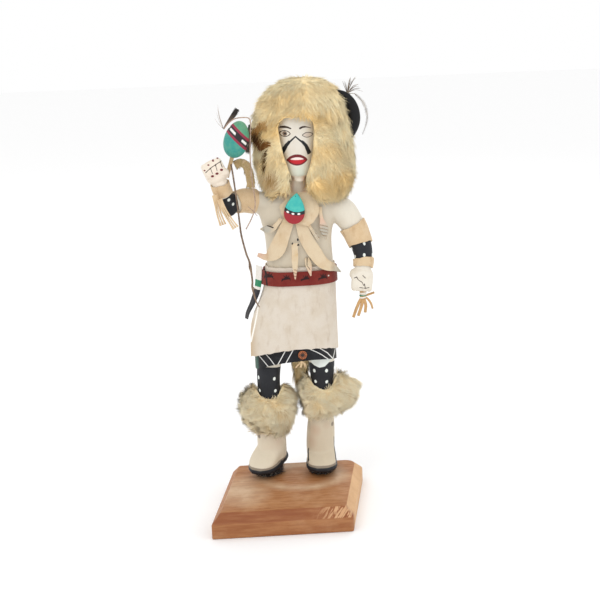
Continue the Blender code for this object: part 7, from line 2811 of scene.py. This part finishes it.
def plinth_ring(inset, z):
    half_width, half_depth = PLINTH_WIDTH / 2 - inset, PLINTH_DEPTH / 2 - inset
    corners = ((1, 1, WORN_CORNER_RADIUS), (-1, 1, CORNER_RADIUS), (-1, -1, CORNER_RADIUS), (1, -1, CORNER_RADIUS))
    ring = []
    for quarter, (side, end, radius) in enumerate(corners):
        middle_x, middle_y = side * (half_width - radius), end * (half_depth - radius)
        for turn in spread(0.0, math.pi / 2, 9):
            angle = quarter * math.pi / 2 + turn
            x, y = middle_x + radius * math.cos(angle), middle_y + radius * math.sin(angle)
            ring.append((x + math.tan(PLINTH_SKEW) * y, y, z))
    full = []
    for number, point in enumerate(ring):
        after = ring[(number + 1) % len(ring)]
        parts = 24 if (number + 1) % 9 == 0 else 1
        full += [np.array(point) * (1 - k / parts) + np.array(after) * (k / parts) for k in range(parts)]
    return np.array(full)


def make_plinth():
    wall_top = PLINTH_THICKNESS - CHAMFER_HEIGHT
    soft = 0.0007
    levels = [(0.0009, 0.0), (0.0002, 0.0003), (0.0, 0.0010)]
    levels += [(0.0, z) for z in spread(0.0030, wall_top - soft, 5)]
    levels += [(0.00018, wall_top + 0.0001)]
    levels += [(CHAMFER_WIDTH * share, wall_top + CHAMFER_HEIGHT * share) for share in spread(0.09, 0.92, 8)]
    levels += [(CHAMFER_WIDTH - 0.0002, PLINTH_THICKNESS - 0.00025), (CHAMFER_WIDTH + 0.0006, PLINTH_THICKNESS)]
    rings = [plinth_ring(inset, z) for inset, z in levels]
    top = rings[-1]
    middle = top.mean(axis=0)
    rings += [middle + (top - middle) * share for share in spread(0.9, 0.06, 26)]
    mesh = closed_form("plinth", rings)
    mesh.set_sharp_from_angle(angle=math.radians(24.0))
    points = points_of(mesh)
    spots = points[:, :2] / MM
    # Pale patches on the top are painted highlights: a ring round the feet and a patch at the left.
    ring = np.abs(np.hypot((spots[:, 0] - 12.0) / 1.25, spots[:, 1] - 24.0) - 33.0)
    highlight_ring = np.clip(1.0 - ring / 12.0, 0.0, 1.0)
    left_highlight = np.clip(1.4 - np.hypot((spots[:, 0] + 52.0) / 0.8, spots[:, 1] + 8.0) / 34.0, 0.0, 1.0)
    set_paint(mesh, "highlight_share", np.maximum(highlight_ring, left_highlight) * (points[:, 2] > PLINTH_THICKNESS - 0.001))
    # The front slope, and the front wall at half strength, are darker: end grain, and in part painted shade.
    front = np.clip((-points[:, 1] - 0.0600) / 0.002, 0.0, 1.0)
    slope = front * (points[:, 2] > wall_top + 0.0004) * (points[:, 2] < PLINTH_THICKNESS - 0.0002)
    wall = (points[:, 1] < -0.0695) & (points[:, 2] <= wall_top + 0.0004)
    set_paint(mesh, "end_grain_and_shade_share", slope + wall * 0.5)
    set_paint(mesh, "saw_share", slope * np.clip((points[:, 0] - 0.020) / 0.02, 0.0, 1.0))
    # The right side is made paler: painted light from the lamp behind and the white surround.
    right = np.clip((points[:, 0] - math.tan(PLINTH_SKEW) * points[:, 1] - 0.0620) / 0.002, 0.0, 1.0)
    set_paint(mesh, "painted_light_side_share", right * (points[:, 2] < PLINTH_THICKNESS - 0.0004) * (1 - front))
    mark = stroke(spots, ((55.0, -7.6), (61.0, -6.6)), 1.0)
    set_paint(mesh, "dash_paint", only_where(mark, points[:, 2] > PLINTH_THICKNESS - 0.001))
    piece = add_piece("plinth_wood", mesh, plinth_finish())
    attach(piece, "root")
    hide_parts("plinth")
    print("plinth:", triangles_in(mesh), "triangles")


def plinth_finish():
    coat = Coat("plinth_wood_finish", 0.55, Specular_IOR_Level=0.35)
    grain = coat.noise(0.004, 5.0, 0.6, coat.stretched(0.12, 1.0, 1.0))
    fine = coat.noise(0.0011, 4.0, 0.6, coat.stretched(0.10, 1.0, 1.0))
    cloud = coat.noise(0.030, 4.0, 0.6)
    saw = coat.noise(0.0016, 2.0, 0.5, coat.stretched(1.0, 0.12, 0.12, 0.7))
    colour = coat.mix(coat.ramp(grain, 0.36, 0.66), tone(178, 124, 78), tone(160, 104, 60))
    colour = coat.mix(coat.ramp(fine, 0.42, 0.70, 0.0, 0.35), colour, tone(132, 82, 48))
    colour = coat.mix(coat.ramp(cloud, 0.45, 0.75, 0.0, 0.5), colour, tone(198, 154, 112))
    # Painted highlights on the top.
    colour = coat.mix(coat.times(coat.mark("highlight_share"), coat.ramp(cloud, 0.30, 0.70, 0.35, 0.8)), colour, tone(214, 186, 154))
    # The darker front: end grain, and in part painted shade.
    colour = coat.mix(coat.times(coat.mark("end_grain_and_shade_share"), coat.ramp(grain, 0.3, 0.7, 0.55, 0.95)), colour, tone(136, 76, 42))
    colour = coat.mix(coat.times(coat.mark("saw_share"), coat.ramp(saw, 0.46, 0.58)), colour, tone(204, 158, 116))
    # Painted light on the right side.
    colour = coat.mix(coat.times(coat.mark("painted_light_side_share"), coat.ramp(cloud, 0.2, 0.8, 0.55, 0.95)), colour, tone(220, 178, 130))
    colour = coat.mix(coat.brushed("dash_paint", 0.3, 0.3), colour, tone(118, 82, 54))
    coat.colour(colour)
    coat.roughness(coat.ramp(fine, 0.3, 0.7, 0.45, 0.70))
    coat.relief(coat.sum(fine, coat.times(coat.mark("saw_share"), saw), 1.5), 0.0005, 0.4)
    return coat.material


make_plinth()
